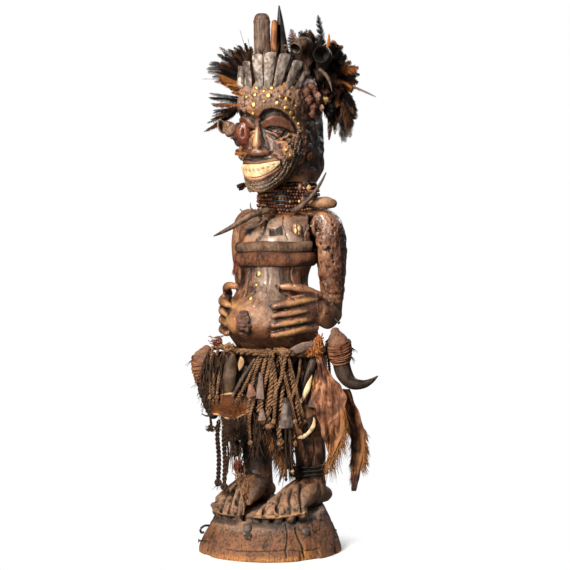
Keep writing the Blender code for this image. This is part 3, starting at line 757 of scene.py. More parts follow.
# %% One skin for the log
CARVING_VOXEL = 0.0016
CARVING_TRIANGLES = 170000


def log_shape():
    shape = Shape()
    points, faces = swept(BASE, around=96, steps=8, domes=(), level=True)
    rise = np.clip(points[:, 2] / (BASE_HEIGHT * MM), 0.0, None)
    points[:, 2] += BASE_TOP_SLOPE * points[:, 1] * rise
    shape.add(points, faces)
    for rows, square in ((TRUNK, 2.0), (HEAD, 2.3), (NAPE, 2.3)):
        shape.add(*swept(rows, around=72, steps=8, square=square, domes=(), level=True))
    shape.add(*swept(NECK, around=48, steps=6))
    for rows in (NOSE, CHEEK):
        shape.add(*swept(rows, around=24, steps=6))
    for rows in (NOSTRILS, UPPER_LIP, LOWER_LIP):
        shape.add(*swept(rows, side=UPRIGHT, around=16, steps=6))
    shape.add(*swept(both_sides(CHEEK)[1], around=24, steps=6))
    limbs = [UPPER_ARM, FOREARM, PALM, THUMB, BUTTOCK, LEG, HEEL, INSTEP, EAR]
    limbs += [toe_rows(i) for i in range(len(TOES))]
    for limb in limbs:
        for rows in both_sides(limb):
            shape.add(*swept(rows, around=28, steps=6))
    ledges = both_sides(LEDGE)
    fingers = [rows for i in range(FINGERS) for rows in both_sides(finger_rows(i))]
    for rows in (*fingers, *ledges):
        shape.add(*swept(rows, side=UPRIGHT, around=18, steps=6))
    return shape


def melt(piece, voxel, rounds):
    skin_step = piece.modifiers.new("skin", 'REMESH')
    skin_step.mode = 'VOXEL'
    skin_step.voxel_size = voxel
    soften = piece.modifiers.new("soften", 'SMOOTH')
    soften.factor = 0.5
    soften.iterations = rounds
    return apply_modifiers(piece)


log_mesh = bpy.data.meshes.new("carving")
log_parts = log_shape()
log_mesh.from_pydata(log_parts.all_points().tolist(), [], log_parts.faces)
carving = bpy.data.objects.new("carving", log_mesh)
bpy.context.scene.collection.objects.link(carving)
melted = melt(carving, CARVING_VOXEL, 4)
print("melted skin", len(melted.vertices), "points")

# %% [markdown]
# The chisel work on the skin is read from the picture: each line or outline is a short list of
# pixels, and a ray from the camera carries it to the wood. A closed outline is raised or sunk, an
# open line is a groove. What lies left and right alike is cut on both sides of the face.

# %% Finding places on the wood
def surface_of(mesh):
    points = mesh_points(mesh)
    polygons = [tuple(polygon.vertices) for polygon in mesh.polygons]
    return BVHTree.FromPolygons(points.tolist(), polygons)


wood_surface = surface_of(melted)


# The place and the normal where a pixel's ray meets the wood
def on_wood(u, v):
    place, normal, _, _ = wood_surface.ray_cast(EYE, pixel_ray(u, v))
    if place is None:
        place, normal, _, _ = wood_surface.find_nearest(behind_pixel(u, v, 0.05))
    return place, normal


# The nearest place on the wood from a point in space
def nearest_wood(point):
    place, normal, _, _ = wood_surface.find_nearest(point)
    return place, normal


# Distance in pixels to a closed outline, less than zero inside
def outline_distance(u, v, outline):
    inside = np.zeros(len(u), bool)
    best = np.full(len(u), 1e9)
    for (au, av), (bu, bv) in zip(outline, outline[1:] + outline[:1]):
        best = np.minimum(best, segment_distance(u, v, au, av, bu, bv))
        crosses = (av > v) != (bv > v)
        slope = (bu - au) * (v - av) / ((bv - av) or 1e-9) + au
        inside ^= crosses & (u < slope)
    return np.where(inside, -best, best)


def segment_distance(u, v, au, av, bu, bv):
    du, dv = bu - au, bv - av
    part = np.clip(((u - au) * du + (v - av) * dv) / max(du * du + dv * dv, 1e-9), 0, 1)
    return np.hypot(u - au - part * du, v - av - part * dv)


class Relief:
    """Heights on a skin of points, added one feature at a time."""

    def __init__(self, points, normals):
        self.points = points
        self.normals = normals
        self.heights = np.zeros(len(points))
        flip = np.array([-1.0, 1.0, 1.0])
        self.sides = []
        for sign in (np.ones(3), flip):
            u, v = pixels_of(points * sign)
            facing = (normals * sign) @ -np.array(FORWARD)
            self.sides.append((u, v, facing, points * sign))

    # How far each point lies inside an outline of pixels, from 0 to 1
    def inside(self, outline, soft=1.0, both=False):
        total = np.zeros(len(self.points))
        us = [u for u, v in outline]
        vs = [v for u, v in outline]
        centre = np.array(on_wood(sum(us) / len(us), sum(vs) / len(vs))[0])
        reach = 0.0022 * (max(max(us) - min(us), max(vs) - min(vs)) + 12)
        for u, v, facing, points in self.sides[:2 if both else 1]:
            near = np.flatnonzero((np.linalg.norm(points - centre, axis=1) < reach) & (facing > 0.0))
            distance = outline_distance(u[near], v[near], outline)
            total[near] = np.maximum(total[near], ease(-distance, -soft, soft))
        return total

    # How near each point lies to an open line of pixels, from 0 to 1
    def along(self, line, width, both=False, stray=0.0):
        total = np.zeros(len(self.points))
        us = [u for u, v in line]
        vs = [v for u, v in line]
        middle = line[len(line) // 2]
        centre = np.array(on_wood(*middle)[0])
        reach = 0.0022 * (max(max(us) - min(us), max(vs) - min(vs)) + 12)
        for u, v, facing, points in self.sides[:2 if both else 1]:
            near = np.flatnonzero((np.linalg.norm(points - centre, axis=1) < reach) & (facing > 0.0))
            best = np.full(len(near), 1e9)
            shift = stray * (lumps(points[near], 0.009, 41) + 0.5 * lumps(points[near], 0.0035, 42))
            other = stray * (lumps(points[near], 0.009, 43) + 0.5 * lumps(points[near], 0.0035, 44))
            for (au, av), (bu, bv) in zip(line, line[1:]):
                best = np.minimum(best, segment_distance(u[near] + shift, v[near] + other, au, av, bu, bv))
            best = best * (1.0 + 0.6 * stray * lumps(points[near], 0.012, 45))
            total[near] = np.maximum(total[near], 1.0 - ease(best, 0.25 * width, width))
        return total

    def raise_outline(self, outline, millimetres, soft=1.0, both=False):
        self.heights += millimetres * MM * self.inside(outline, soft, both)

    def cut_line(self, line, millimetres, width, both=False, stray=0.0):
        self.heights -= millimetres * MM * self.along(line, width, both, stray)


relief = Relief(mesh_points(melted), mesh_normals(melted))

# %% The face
BROW_HOLLOW = [(259, 117), (264, 111), (272, 108.5), (281, 110.5), (288.5, 116), (296, 125), (298, 132)]
BROW_HOLLOW += [(294.6, 130), (290.5, 121.5), (282.3, 116), (273.2, 115), (266, 117.5), (262, 124)]
EYELID = [(261.9, 124.5), (266, 117.1), (273.2, 114.2), (282.3, 115.2), (290.5, 120.8), (295.5, 130)]
EYELID += [(294, 133), (288.5, 129.6), (280.3, 126.6), (270.1, 126), (263, 128.6)]
EYE_SLIT = [(263, 129), (270, 126.6), (280, 127.2), (288.5, 130.2), (294, 133.4), (288, 134.6),
            (282, 137), (273, 132)]
EYE_DROP = [(271, 129.6), (278.3, 127.9), (284.6, 130.6), (281.5, 135.5), (278, 137), (272.3, 132)]
UNDER_EYE = [(266, 133), (274, 138), (281, 140.5), (290, 137.5)]
NOSE_SIDE = [(261, 122), (263.5, 134), (267, 146), (271, 152)]
SMILE = [(271, 154), (276, 156), (281, 160), (283, 167), (279, 175), (272, 181)]
SHALLOW_LINES = [
    [(285, 139), (292, 143), (297, 151)],
    [(300, 133), (303, 146), (301, 160)],
    [(247, 183), (253, 186.5), (262, 185.5), (272, 180)],
]

relief.raise_outline(BROW_HOLLOW, -6.0, soft=1.3, both=True)
relief.raise_outline(EYE_SLIT, -5.0, soft=0.9, both=True)
relief.raise_outline(EYELID, 4.5, soft=1.0, both=True)
relief.raise_outline(EYE_DROP, 5.0, soft=1.3, both=True)
relief.cut_line(UNDER_EYE, 2.0, 2.2, both=True)
relief.cut_line(NOSE_SIDE, 3.0, 2.6, both=True)
relief.cut_line(SMILE, 2.2, 2.2, both=True)
for line in SHALLOW_LINES:
    relief.cut_line(line, 1.2, 1.8)

# %% [markdown]
# Age shows as cracks along the grain, worm holes, knocked edges and a crust of old oil and clay. The
# cracks and holes are cut as grooves and pits, and the crust as lumps that rise between them.

# %% Cracks, holes and crust
CRACKS = [
    ([(310.5, 216), (311.5, 226), (313, 240), (315, 254), (317.5, 266)], 9.0, 2.6),
    ([(266.5, 220), (264.5, 228), (261, 236), (256.5, 240)], 5.0, 2.4),
    ([(277, 286), (281, 291), (286, 295), (294, 299)], 4.0, 1.8),
    ([(244, 229.5), (253, 229), (258.5, 223.5), (262, 216)], 2.0, 0.9),
    ([(283.5, 217), (282.5, 225), (285, 231), (288, 239)], 1.6, 0.8),
    ([(262, 222), (261, 232), (257, 240)], 1.6, 0.8),
    ([(304, 243), (303.5, 236), (306, 228), (309, 222)], 1.6, 0.8),
    ([(286, 524), (287.3, 538), (285.6, 551), (286.6, 558)], 3.0, 1.2),
    ([(295, 529), (299, 538), (303, 547), (306, 557)], 4.0, 1.6),
    ([(330, 508), (334, 522), (336, 538)], 2.5, 1.4),
    ([(226, 549), (238, 551), (262, 551.5), (285, 550), (304, 551), (320, 548)], 1.8, 0.9),
    ([(325, 418), (323, 440), (324, 462)], 1.4, 1.0),
    ([(304, 440), (305, 452), (303, 463)], 1.2, 1.0),
    ([(313, 438), (314, 450), (312, 466)], 1.2, 0.9),
    ([(250, 270), (249, 282), (246, 296)], 1.2, 1.2),
    ([(268, 268), (268.5, 280), (266, 292)], 0.9, 1.0),
    ([(290, 269), (291, 280), (295, 288)], 1.4, 1.2),
    ([(301, 270), (302, 279), (303, 287)], 1.2, 1.1),
]
HOLES = [
    ((333, 224.8), 1.8, 5.0),
    ((318.6, 230), 2.6, 5.0),
    ((318.8, 234), 2.2, 4.5),
    ((320.2, 243.7), 1.7, 5.0),
    ((333.5, 262), 1.5, 3.0),
    ((244, 518), 3.2, 7.0),
    ((236, 512), 1.4, 3.0),
    ((300, 322), 1.3, 2.0),
    ((321, 300), 1.3, 2.5),
]
CHEST_HOLE = [(269, 228), (275, 229), (282, 225.4), (283.2, 234.5), (269.6, 235.8)]
TOE_SLOTS = [
    [(268, 491), (264, 503), (264, 510), (263.5, 516)],
    [(281, 489), (277.5, 500), (277, 508), (277, 516)],
    [(291, 488), (288.5, 499), (289.3, 508), (289.5, 515)],
    [(300.5, 484), (299.5, 495), (301.4, 504), (302, 512)],
    [(228, 490), (224, 500), (222.5, 506), (221, 512)],
    [(234, 490), (230.5, 501), (230, 508), (229, 514)],
    [(240, 491), (237, 501), (236.5, 508), (236, 514)],
]

for line, depth, width in CRACKS:
    relief.cut_line(line, depth, width, stray=0.5)
for (u, v), radius, depth in HOLES:
    relief.cut_line([(u, v), (u + 0.2, v + 0.2)], depth, radius)
for slot in TOE_SLOTS:
    relief.cut_line(slot, 6.0, 2.2)
relief.raise_outline(CHEST_HOLE, -3.5, soft=0.8)


def region(low, high, soft):
    share = np.ones(len(relief.points))
    for axis in range(3):
        values = relief.points[:, axis]
        share *= ease(values, low[axis] - soft, low[axis] + soft)
        share *= 1.0 - ease(values, high[axis] - soft, high[axis] + soft)
    return share


forehead = region((-0.07, -0.08, 0.803), (0.068, 0.04, 0.848), 0.008)
cheek = region((0.03, -0.06, 0.715), (0.07, 0.03, 0.765), 0.008)
arm = region((0.070, 0.0, 0.450), (0.14, 0.13, 0.615), 0.010)
head_side = region((0.030, 0.01, 0.690), (0.09, 0.15, 0.800), 0.012)
feet_top = region((-0.12, -0.13, 0.06), (0.12, 0.10, 0.13), 0.008)
fine = lumps(relief.points, 0.005, 3)
middle = lumps(relief.points, 0.011, 5)
coarse = lumps(relief.points, 0.030, 7)
relief.heights += 0.0007 * coarse + 0.0004 * middle
relief.heights += forehead * (0.0020 * np.abs(middle) + 0.0013 * fine)
relief.heights += cheek * (0.0010 * np.abs(middle) + 0.0008 * fine)
relief.heights += feet_top * (0.0009 * middle + 0.0005 * fine)
relief.heights += arm * (0.0010 * middle + 0.0009 * fine - 0.0016 * ease(middle * fine, 0.18, 0.40))
relief.heights += head_side * (0.0014 * middle + 0.0008 * fine)


# The rim of the base is split and knocked away in chips, most of all in front
def chip_rim(points):
    turn = np.arctan2(points[:, 1], points[:, 0])
    ring = np.stack([np.cos(turn), np.sin(turn), 0 * turn], axis=1)
    bites = ease(lumps(ring, 0.16, 11) + 0.4 * lumps(ring, 0.05, 12), -0.1, 0.5)
    low = 1.0 - ease(points[:, 2], 0.006, 0.016 + 0.012 * bites)
    return -0.005 * bites * low


base_side = np.hypot(relief.points[:, 0], relief.points[:, 1]) > 0.085
relief.heights += chip_rim(relief.points) * base_side


# Fine splits that run up and down the grain, where a slow noise crosses zero
def grain_splits(points, spacing, length, width, seed):
    drawn_out = points * np.array([1.0, 1.0, spacing / length])
    wander = lumps(points, 0.010, seed + 1) * 0.25
    crossing = np.abs(lumps(drawn_out, spacing, seed) + wander)
    broken = ease(lumps(points, 0.022, seed + 2), -0.10, 0.25)
    return (1.0 - ease(crossing, 0.3 * width, width)) * broken


low_side = base_side * (1.0 - ease(relief.points[:, 2] - 0.14 * relief.points[:, 1], 0.060, 0.072))
limbs = 1.0 - ease(relief.points[:, 2], 0.600, 0.640)
relief.heights -= 0.0006 * low_side * grain_splits(relief.points, 0.012, 0.080, 0.08, 51)
relief.heights += 0.0005 * low_side * (middle + fine)
relief.heights -= 0.0006 * (limbs - limbs * low_side) * grain_splits(relief.points, 0.014, 0.120, 0.08, 71)

carved_points = relief.points + relief.normals * relief.heights[:, None]
carved_points[:, 2] = np.maximum(carved_points[:, 2], 0.0)
melted.vertices.foreach_set("co", carved_points.ravel())
melted.update()
print("carved", round(float(relief.heights.min() * 1000), 1), "to",
      round(float(relief.heights.max() * 1000), 1), "mm")

# %% Fewer triangles where the wood is plain
thin = carving.modifiers.new("thin", 'DECIMATE')
thin.ratio = CARVING_TRIANGLES / (2.0 * len(melted.polygons))
carved = apply_modifiers(carving)
carved.shade_smooth()
wood_surface = surface_of(carved)
print("carving", len(carved.polygons), "faces")

# %% [markdown]
# The wood is red-brown on its flats. Its hollows get painted shade, near black, and what stands out
# is golden, as rubbed wear and painted highlight in one. How far a point stands out from its smoothed
# surroundings says which, so that is worked out on the mesh and kept as painted values that the material
# reads.

# %% Painted shade in the hollows, wear and painted highlight on what stands out
def neighbour_mean(values, edges, count, share):
    total = np.zeros_like(values)
    for column in range(values.shape[1]):
        total[:, column] += np.bincount(edges[:, 0], values[edges[:, 1], column], len(values))
        total[:, column] += np.bincount(edges[:, 1], values[edges[:, 0], column], len(values))
    return values + share * (total / count[:, None] - values)


# How far each point stands out of the skin around it, in millimetres
def standing_out(mesh, rounds):
    edges = np.zeros(len(mesh.edges) * 2, np.int64)
    mesh.edges.foreach_get("vertices", edges)
    edges = edges.reshape(-1, 2)
    points = mesh_points(mesh)
    count = np.maximum(np.bincount(edges.ravel(), minlength=len(points)), 1).astype(float)
    smooth = points
    for _ in range(rounds):
        smooth = neighbour_mean(smooth, edges, count, 0.9)
    return np.einsum('ij,ij->i', points - smooth, mesh_normals(mesh)) * 1000.0


fine_out = standing_out(carved, 3)
broad_out = standing_out(carved, 40)
paint = Relief(mesh_points(carved), mesh_normals(carved))
print("worn to", round(float(np.percentile(broad_out, 98)), 2), "mm")

# %% Painted places
# Painted highlights in gold: the nose ridge, the finger ridges, the hands and the front edges of the feet
GOLD_HIGHLIGHT_PLACES = [
    ([(254, 128), (256.5, 128), (258, 142), (257, 149), (253.5, 151), (252, 148), (252.5, 138)], 0.75, 1.0),
    ([(289, 304), (297, 300), (308, 298.5), (318, 299), (306, 303), (292, 307)], 0.9, 2.0),
    ([(280, 319), (292, 313), (305, 310), (306, 313), (292, 317), (281, 322)], 0.75, 1.5),
    ([(276, 326), (290, 322), (306, 318), (307, 321), (291, 326), (277, 330)], 0.7, 1.5),
    ([(275, 335), (290, 331), (306, 326), (306, 329), (290, 335), (276, 338)], 0.6, 1.5),
    ([(223, 300), (230, 300), (237, 304), (235, 309), (226, 305)], 0.9, 1.5),
    ([(222, 307), (227, 316), (236, 330), (233, 333), (224, 320), (220, 311)], 0.7, 1.5),
    ([(244, 509), (252, 500), (263, 492), (266, 494), (256, 503), (249, 512)], 0.6, 2.0),
    ([(252, 512), (267, 515), (283, 516), (313, 510), (313, 512), (283, 518), (267, 517), (252, 514)], 0.8,
     0.9),
    ([(211, 510), (222, 514), (236, 516), (236, 518), (221, 516), (210, 512)], 0.8, 0.9),
    ([(222, 300), (230, 299), (238, 303), (246, 309), (240, 311), (228, 305)], 0.5, 2.0),
]
RED_PLACES = [
    (EYELID, 1.0, 1.0),
    (EYE_DROP, 1.0, 1.0),
    ([(265, 146), (271, 146), (272, 151), (267, 153)], 0.5, 1.5),
    ([(257, 112), (262, 118), (264, 138), (273, 148), (270, 156), (258, 156), (257, 140)], 0.62, 1.2),
    ([(250, 124), (252, 138), (250, 150), (245, 152), (246, 140)], 0.55, 1.2),
    ([(292, 300), (318, 296), (332, 306), (334, 330), (322, 344), (312, 332), (306, 312)], 0.35, 3.0),
    ([(313, 214), (338, 214), (346, 230), (344, 300), (322, 300), (316, 250)], 0.45, 4.0),
    ([(255, 330), (275, 330), (274, 342), (262, 346), (254, 340)], 0.6, 3.0),
    ([(238, 216), (250, 212), (247, 226), (238, 238), (234, 232)], 0.5, 3.0),
]
# Taupe plates on the chest, and two painted highlights: the glare down the belly and the sheen on the upper
# eyelid
TAUPE_AND_SHEEN_PLACES = [
    ([(265, 220), (281, 217), (283, 236), (300, 238), (310, 243), (306, 246), (270, 244),
      (253, 244), (257, 240)], 1.0),
    ([(281.4, 220), (293, 217), (295, 229), (294.5, 240), (286, 237), (282, 226)], 1.0),
    ([(294.3, 216), (309.4, 216), (309.4, 223), (306, 233), (304, 243), (294.3, 240)], 0.9),
    ([(243.8, 230), (255, 229), (261, 222.7), (258, 236), (250, 241), (247, 238)], 0.9),
    ([(250, 218), (263, 215), (262, 222), (253, 228), (246, 227)], 0.8),
    # Painted highlight: the pale glare down the belly
    ([(257, 263), (277, 263), (279, 286), (280, 302), (268, 306), (258, 296), (254, 280)], 0.6),
    # Painted highlight: the pale sheen on the upper eyelid
    ([(268, 125), (276, 118.5), (287, 117), (296, 121.5), (299, 127), (288, 123), (277, 124.5), (269, 131)],
     0.5),
]
CLAY_PLACES = [
    ([(251, 309), (262, 305), (272, 310), (273, 322), (266, 327), (255, 322)], 0.9, 2.5),
    ([(244, 296), (262, 296), (268, 306), (255, 312), (242, 308)], 0.4, 3.0),
]
# Painted shade: in the chest hole, the brow hollow and the eye slits, under the nose, the jaw and the toes,
# at the belly's edge and between the fingers
SHADE_PLACES = [
    (CHEST_HOLE, 1.0, 0.8),
    (BROW_HOLLOW, 0.8, 1.0),
    (EYE_SLIT, 0.5, 0.8),
    ([(236, 318), (242, 314), (249, 316), (252, 328), (248, 336), (238, 334)], 0.9, 2.0),
    ([(250, 158), (270, 157), (268, 161), (254, 163.5), (249, 161)], 0.8, 1.2),
    ([(247, 182), (262, 181), (276, 174), (283, 160), (292, 150), (298, 160), (290, 178), (268, 193),
      (250, 191)], 0.55, 3.0),
    ([(250, 517), (284, 520), (316, 514), (317, 520), (284, 528), (252, 524)], 0.9, 1.5),
    ([(210, 515), (222, 519), (238, 520), (238, 526), (220, 524), (208, 520)], 0.9, 1.5),
    ([(277, 308.5), (304, 304), (306, 306.5), (278, 311.5)], 0.85, 0.9),
    ([(276, 318), (306, 312.5), (308, 315), (276, 321)], 0.85, 0.9),
    ([(276, 327.5), (306, 321.5), (308, 324), (277, 330.5)], 0.85, 0.9),
]


def painted_sum(places, both=False):
    total = np.zeros(len(paint.points))
    for outline, strength, soft in places:
        total = np.maximum(total, strength * paint.inside(outline, soft, both))
    return total


taupe = painted_sum([(outline, strength, 0.9) for outline, strength in TAUPE_AND_SHEEN_PLACES])
taupe *= 1.0 - paint.inside(CHEST_HOLE, 0.8)
# Painted shade from the outlines above
dark = painted_sum(SHADE_PLACES, both=True)
heights = paint.points[:, 2]
front = ease(-paint.points[:, 1], -0.06, 0.02)
crust = 0.9 * (1.0 - ease(heights, 0.112, 0.135))
head_crust = ease(heights, 0.800, 0.812) * (1.0 - ease(heights, 0.846, 0.856)) * front
crust = np.maximum(crust, 0.9 * head_crust)
crust = np.maximum(crust, painted_sum(CLAY_PLACES))
turn = np.arctan2(paint.points[:, 1], paint.points[:, 0])
ring = np.stack([np.cos(turn), np.sin(turn), 0 * turn], axis=1)
facing_front = ease(ring @ np.array(TOWARDS), 0.45, 0.9)
rim = 1.0 - ease(heights, 0.004, 0.012 + 0.020 * facing_front * ease(lumps(ring, 0.16, 11), -0.3, 0.5))
rim = rim * (0.25 + 0.75 * facing_front)
side_of_base = 1.0 - ease(heights - 0.14 * paint.points[:, 1], 0.056, 0.068)
crust = crust * (1.0 - side_of_base)
# The sides and back of the head are darkened, and the far leg gets painted shade under the belly
darker_head_sides = ease(np.abs(paint.points[:, 0]) + 0.6 * paint.points[:, 1], 0.05, 0.09) * ease(heights, 0.68, 0.70)
far_leg_shade = (1 - ease(paint.points[:, 0], -0.015, 0.0)) * ease(heights, 0.13,
    0.16) * (1 - ease(heights, 0.33, 0.37))
dark_head_sides_and_leg_shade = np.maximum(0.55 * darker_head_sides, 1.05 * far_leg_shade)
PAINTS = {
    # Wear and painted highlight: points that stand out of the skin turn golden tan
    "worn": np.clip(ease(fine_out, 0.10, 0.55) * 0.8 + ease(broad_out, 0.6, 3.2) * 0.7, 0, 1),
    # Painted shade in the hollows
    "hollow": np.clip(ease(-fine_out, 0.06, 0.5) + ease(-broad_out, 0.8, 4.0), 0, 1),
    "gold": painted_sum(GOLD_HIGHLIGHT_PLACES),
    "red": painted_sum(RED_PLACES, both=True),
    "taupe": taupe,
    "crust": crust,
    # Painted shade, with the darker sides of the head
    "dark": np.maximum(dark, dark_head_sides_and_leg_shade),
    "rim": np.clip(rim, 0, 1),
    "base": side_of_base,
}
for key, values in PAINTS.items():
    paint_values(carved, key, values)

# %% The wood's finish
def wood_finish():
    wood = Finish("old_wood", "dark_wood", roughness=0.45, specular=0.6, coat=0.35)
    grain = wood.cloud(0.004, detail=5, stretch=(1, 1, 0.10), twist=0.6)
    streaks = wood.cloud(0.0012, detail=3, stretch=(1, 1, 0.06))
    patches = wood.cloud(0.035, detail=5, rough=0.62)
    grit = wood.cloud(0.0035, detail=4, rough=0.7)
    flakes = wood.cells(0.009)
    worn = wood.painted("worn")
    hollow = wood.painted("hollow")
    shade = patches * 0.55 + grain * 0.45
    body = shade.node("ShaderNodeValToRGB", {"stops": [
        (0.37, (0.006, 0.003, 0.002)),
        (0.46, (0.042, 0.014, 0.007)),
        (0.54, (0.125, 0.047, 0.022)),
        (0.64, (0.30, 0.135, 0.068)),
    ]}, {"Fac": shade})
    # Wear and painted highlight: what stands out is blended to a golden tan
    wear_and_highlight_share = worn.between(0.10, 0.95) * (0.35 + 0.65 * patches.between(0.40, 0.60))
    colour = wear_and_highlight_share.blend(body, (0.40, 0.180, 0.085))
    base_tone = (shade * 0.65 + grit * 0.35).between(0.37, 0.58).blend((0.010, 0.004, 0.002),
        (0.235, 0.092, 0.036))
    colour = wood.painted("base").blend(colour, base_tone)
    colour = (streaks.between(0.56, 0.72) * 0.55).blend(colour, (0.010, 0.005, 0.003))
    clay_tone = (grit * 0.6 + patches * 0.4).between(0.36, 0.64).blend((0.055, 0.024, 0.013),
        (0.42, 0.245, 0.155))
    crusty = wood.painted("crust") * grit.between(0.28, 0.52)
    colour = crusty.blend(colour, clay_tone)
    taupe_tone = (patches * 0.6 + grain * 0.4).between(0.36,
        0.64).blend((0.13, 0.075, 0.05), (0.36, 0.25, 0.185))
    # Taupe patches on the chest, and painted highlights on the belly and the eyelid
    taupe = wood.painted("taupe") * grit.between(0.2, 0.42)
    colour = taupe.blend(colour, taupe_tone)
    colour = (wood.painted("red") * 0.85).blend(colour,
                                                grit.blend((0.025, 0.006, 0.003), (0.15, 0.040, 0.017)))
    # Painted highlights in gold
    colour = (wood.painted("gold") * grit.between(0.2, 0.5)).blend(colour, (0.52, 0.27, 0.10))
    rim_tone = streaks.between(0.3, 0.7).blend((0.07, 0.018, 0.005), (0.62, 0.25, 0.055))
    colour = (wood.painted("rim") * patches.between(0.30, 0.5)).blend(colour, rim_tone)
    # Painted shade: the hollows go near black
    colour = (hollow * 0.92).blend(colour, (0.006, 0.003, 0.002))
    # Painted shade, near black: the shade places and the far leg, with the darkened sides of the head
    colour = (wood.painted("dark") * 0.9).blend(colour, (0.006, 0.004, 0.003))
    roughness = 0.18 + 0.30 * grit + 0.30 * crusty + 0.35 * wood.painted("base") - 0.16 * wood.painted("red")
    dull = wood.painted("base") + wood.painted("crust") + wood.painted("dark")
    wood.link((1.0 - dull.between(0.0, 0.8)) * 0.35, "Coat Weight")
    wood.bump(streaks, 0.0006)
    wood.bump(grain, 0.0016)
    wood.bump(grit, 0.0016)
    wood.bump(flakes, 0.0007, 0.5)
    return wood.use(colour, roughness)


WOOD = wood_finish()
carved.materials.clear()
carved.materials.append(WOOD.material)
settle_piece(carving, ["carved_figure"])
# %% [markdown]
# Finishes for what was added to the log. Each one starts from the colour of the real stuff and gets
# its own grain: long streaks and rings for horn, hammer marks and rust for iron, cracks for dry resin.

# %% Horn, iron, brass, bone and resin
def horn_finish(name, slot, dark, light, roughness=0.45):
    horn = Finish(name, slot, roughness=roughness, specular=0.28)
    streaks = horn.cloud(0.0030, detail=4, stretch=(1, 1, 0.12), twist=0.3)
    patches = horn.cloud(0.020, detail=4, rough=0.6)
    pits = horn.cloud(0.0012, detail=2)
    colour = (streaks * 0.55 + patches * 0.45).between(0.36, 0.68).blend(dark, light)
    # Painted shade, near black, inside the horn mouths
    hollow = horn.painted("hollow")
    colour = (hollow * 0.95).blend(colour, (0.004, 0.003, 0.002))
    horn.bump(streaks, 0.0008)
    horn.bump(pits, 0.0003, 0.6)
    return horn.use(colour, 0.30 + 0.40 * patches + 0.3 * hollow)


BLACK_HORN = horn_finish("dark_horn", "black_horn", (0.005, 0.004, 0.004), (0.034, 0.024, 0.018), 0.4)
GREY_HORN = horn_finish("weathered_horn", "grey_horn", (0.008, 0.005, 0.004), (0.066, 0.040, 0.028), 0.5)
BROWN_HORN = horn_finish("brown_horn", "grey_horn", (0.028, 0.015, 0.010), (0.19, 0.120, 0.084), 0.55)
ORANGE_HORN = horn_finish("orange_horn", "grey_horn", (0.10, 0.028, 0.008), (0.36, 0.135, 0.040), 0.45)


def iron_finish(name, dark, light, rust):
    iron = Finish(name, "forged_iron", roughness=0.5, metallic=0.55)
    hammered = iron.cells(0.0065, stretch=(1, 1, 0.7))
    patches = iron.cloud(0.016, detail=5, rough=0.65)
    grain = iron.cloud(0.0015, detail=3)
    colour = patches.between(0.34, 0.66).blend(dark, light)
    rusty = iron.cloud(0.011, detail=4, rough=0.6).between(0.52, 0.68)
    colour = (rusty * 0.8).blend(colour, rust)
    colour = (iron.painted("hollow") * 0.9).blend(colour, (0.012, 0.008, 0.006))
    iron.bump(hammered, 0.0011)
    iron.bump(grain, 0.0004)
    return iron.use(colour, 0.34 + 0.38 * patches)


IRON = iron_finish("hammered_iron", (0.120, 0.092, 0.078), (0.40, 0.340, 0.305), (0.13, 0.060, 0.035))
MAUVE_IRON = iron_finish("mauve_iron", (0.060, 0.042, 0.038), (0.20, 0.150, 0.135), (0.10, 0.045, 0.030))


def brass_finish():
    brass = Finish("worn_brass", "forged_iron", roughness=0.32, metallic=0.9)
    patches = brass.cloud(0.006, detail=4, rough=0.65)
    colour = patches.between(0.35, 0.62).blend((0.09, 0.045, 0.015), (0.72, 0.47, 0.16))
    brass.bump(brass.cloud(0.0014, detail=2), 0.0003)
    return brass.use(colour, 0.20 + 0.45 * patches)


BRASS = brass_finish()


def crusty_finish(name, slot, dark, light, size=0.006, height=0.0016, roughness=0.6, cracked=True):
    crust = Finish(name, slot, roughness=roughness)
    grit = crust.cloud(0.35 * size, detail=4, rough=0.7)
    patches = crust.cloud(2.2 * size, detail=4, rough=0.6)
    cracks = crust.cells(size, feature='DISTANCE_TO_EDGE')
    colour = (grit * 0.5 + patches * 0.5).between(0.34, 0.66).blend(dark, light)
    if cracked:
        colour = (1.0 - cracks.between(0.0, 0.10)).blend(colour, tuple(0.2 * value for value in dark))
        crust.bump(cracks.between(0.0, 0.14), 0.5 * height)
    # Painted shade where a piece paints it, such as a slit or a shell's seams
    colour = (crust.painted("hollow") * 0.9).blend(colour, (0.006, 0.004, 0.003))
    crust.bump(grit, height)
    return crust.use(colour, roughness - 0.12 + 0.24 * grit)


RESIN = crusty_finish("red_resin", "red_resin", (0.055, 0.014, 0.009), (0.30, 0.115, 0.07), roughness=0.4)
DARK_RESIN = crusty_finish("dark_charge", "red_resin", (0.010, 0.006, 0.005),
                           (0.075, 0.036, 0.024), roughness=0.5)
CLAY = crusty_finish("pink_clay", "red_resin", (0.16, 0.065, 0.045), (0.52, 0.30, 0.23), size=0.004)
BONE = crusty_finish("old_bone", "cream_bone", (0.40, 0.22, 0.07), (0.82, 0.68, 0.44),
                     size=0.010, height=0.0005,
                     cracked=False)
GOURD = crusty_finish("gourd_skin", "brown_gourd", (0.10, 0.045, 0.022), (0.36, 0.19, 0.10),
                      size=0.016, height=0.0004,
                      cracked=False)
SHELL = crusty_finish("snail_shell", "brown_gourd", (0.07, 0.030, 0.016), (0.42, 0.24, 0.15),
                      size=0.012, height=0.0004,
                      cracked=False)
NUT = crusty_finish("yellow_nut", "red_resin", (0.22, 0.10, 0.03), (0.62, 0.42, 0.16), size=0.007,
                    height=0.0008, cracked=False)

# %% [markdown]
# The horns in the crown are goat and small antelope horns, with growth rings near the root. The rings
# are real steps in the skin, made by a small change of size along the sweep.


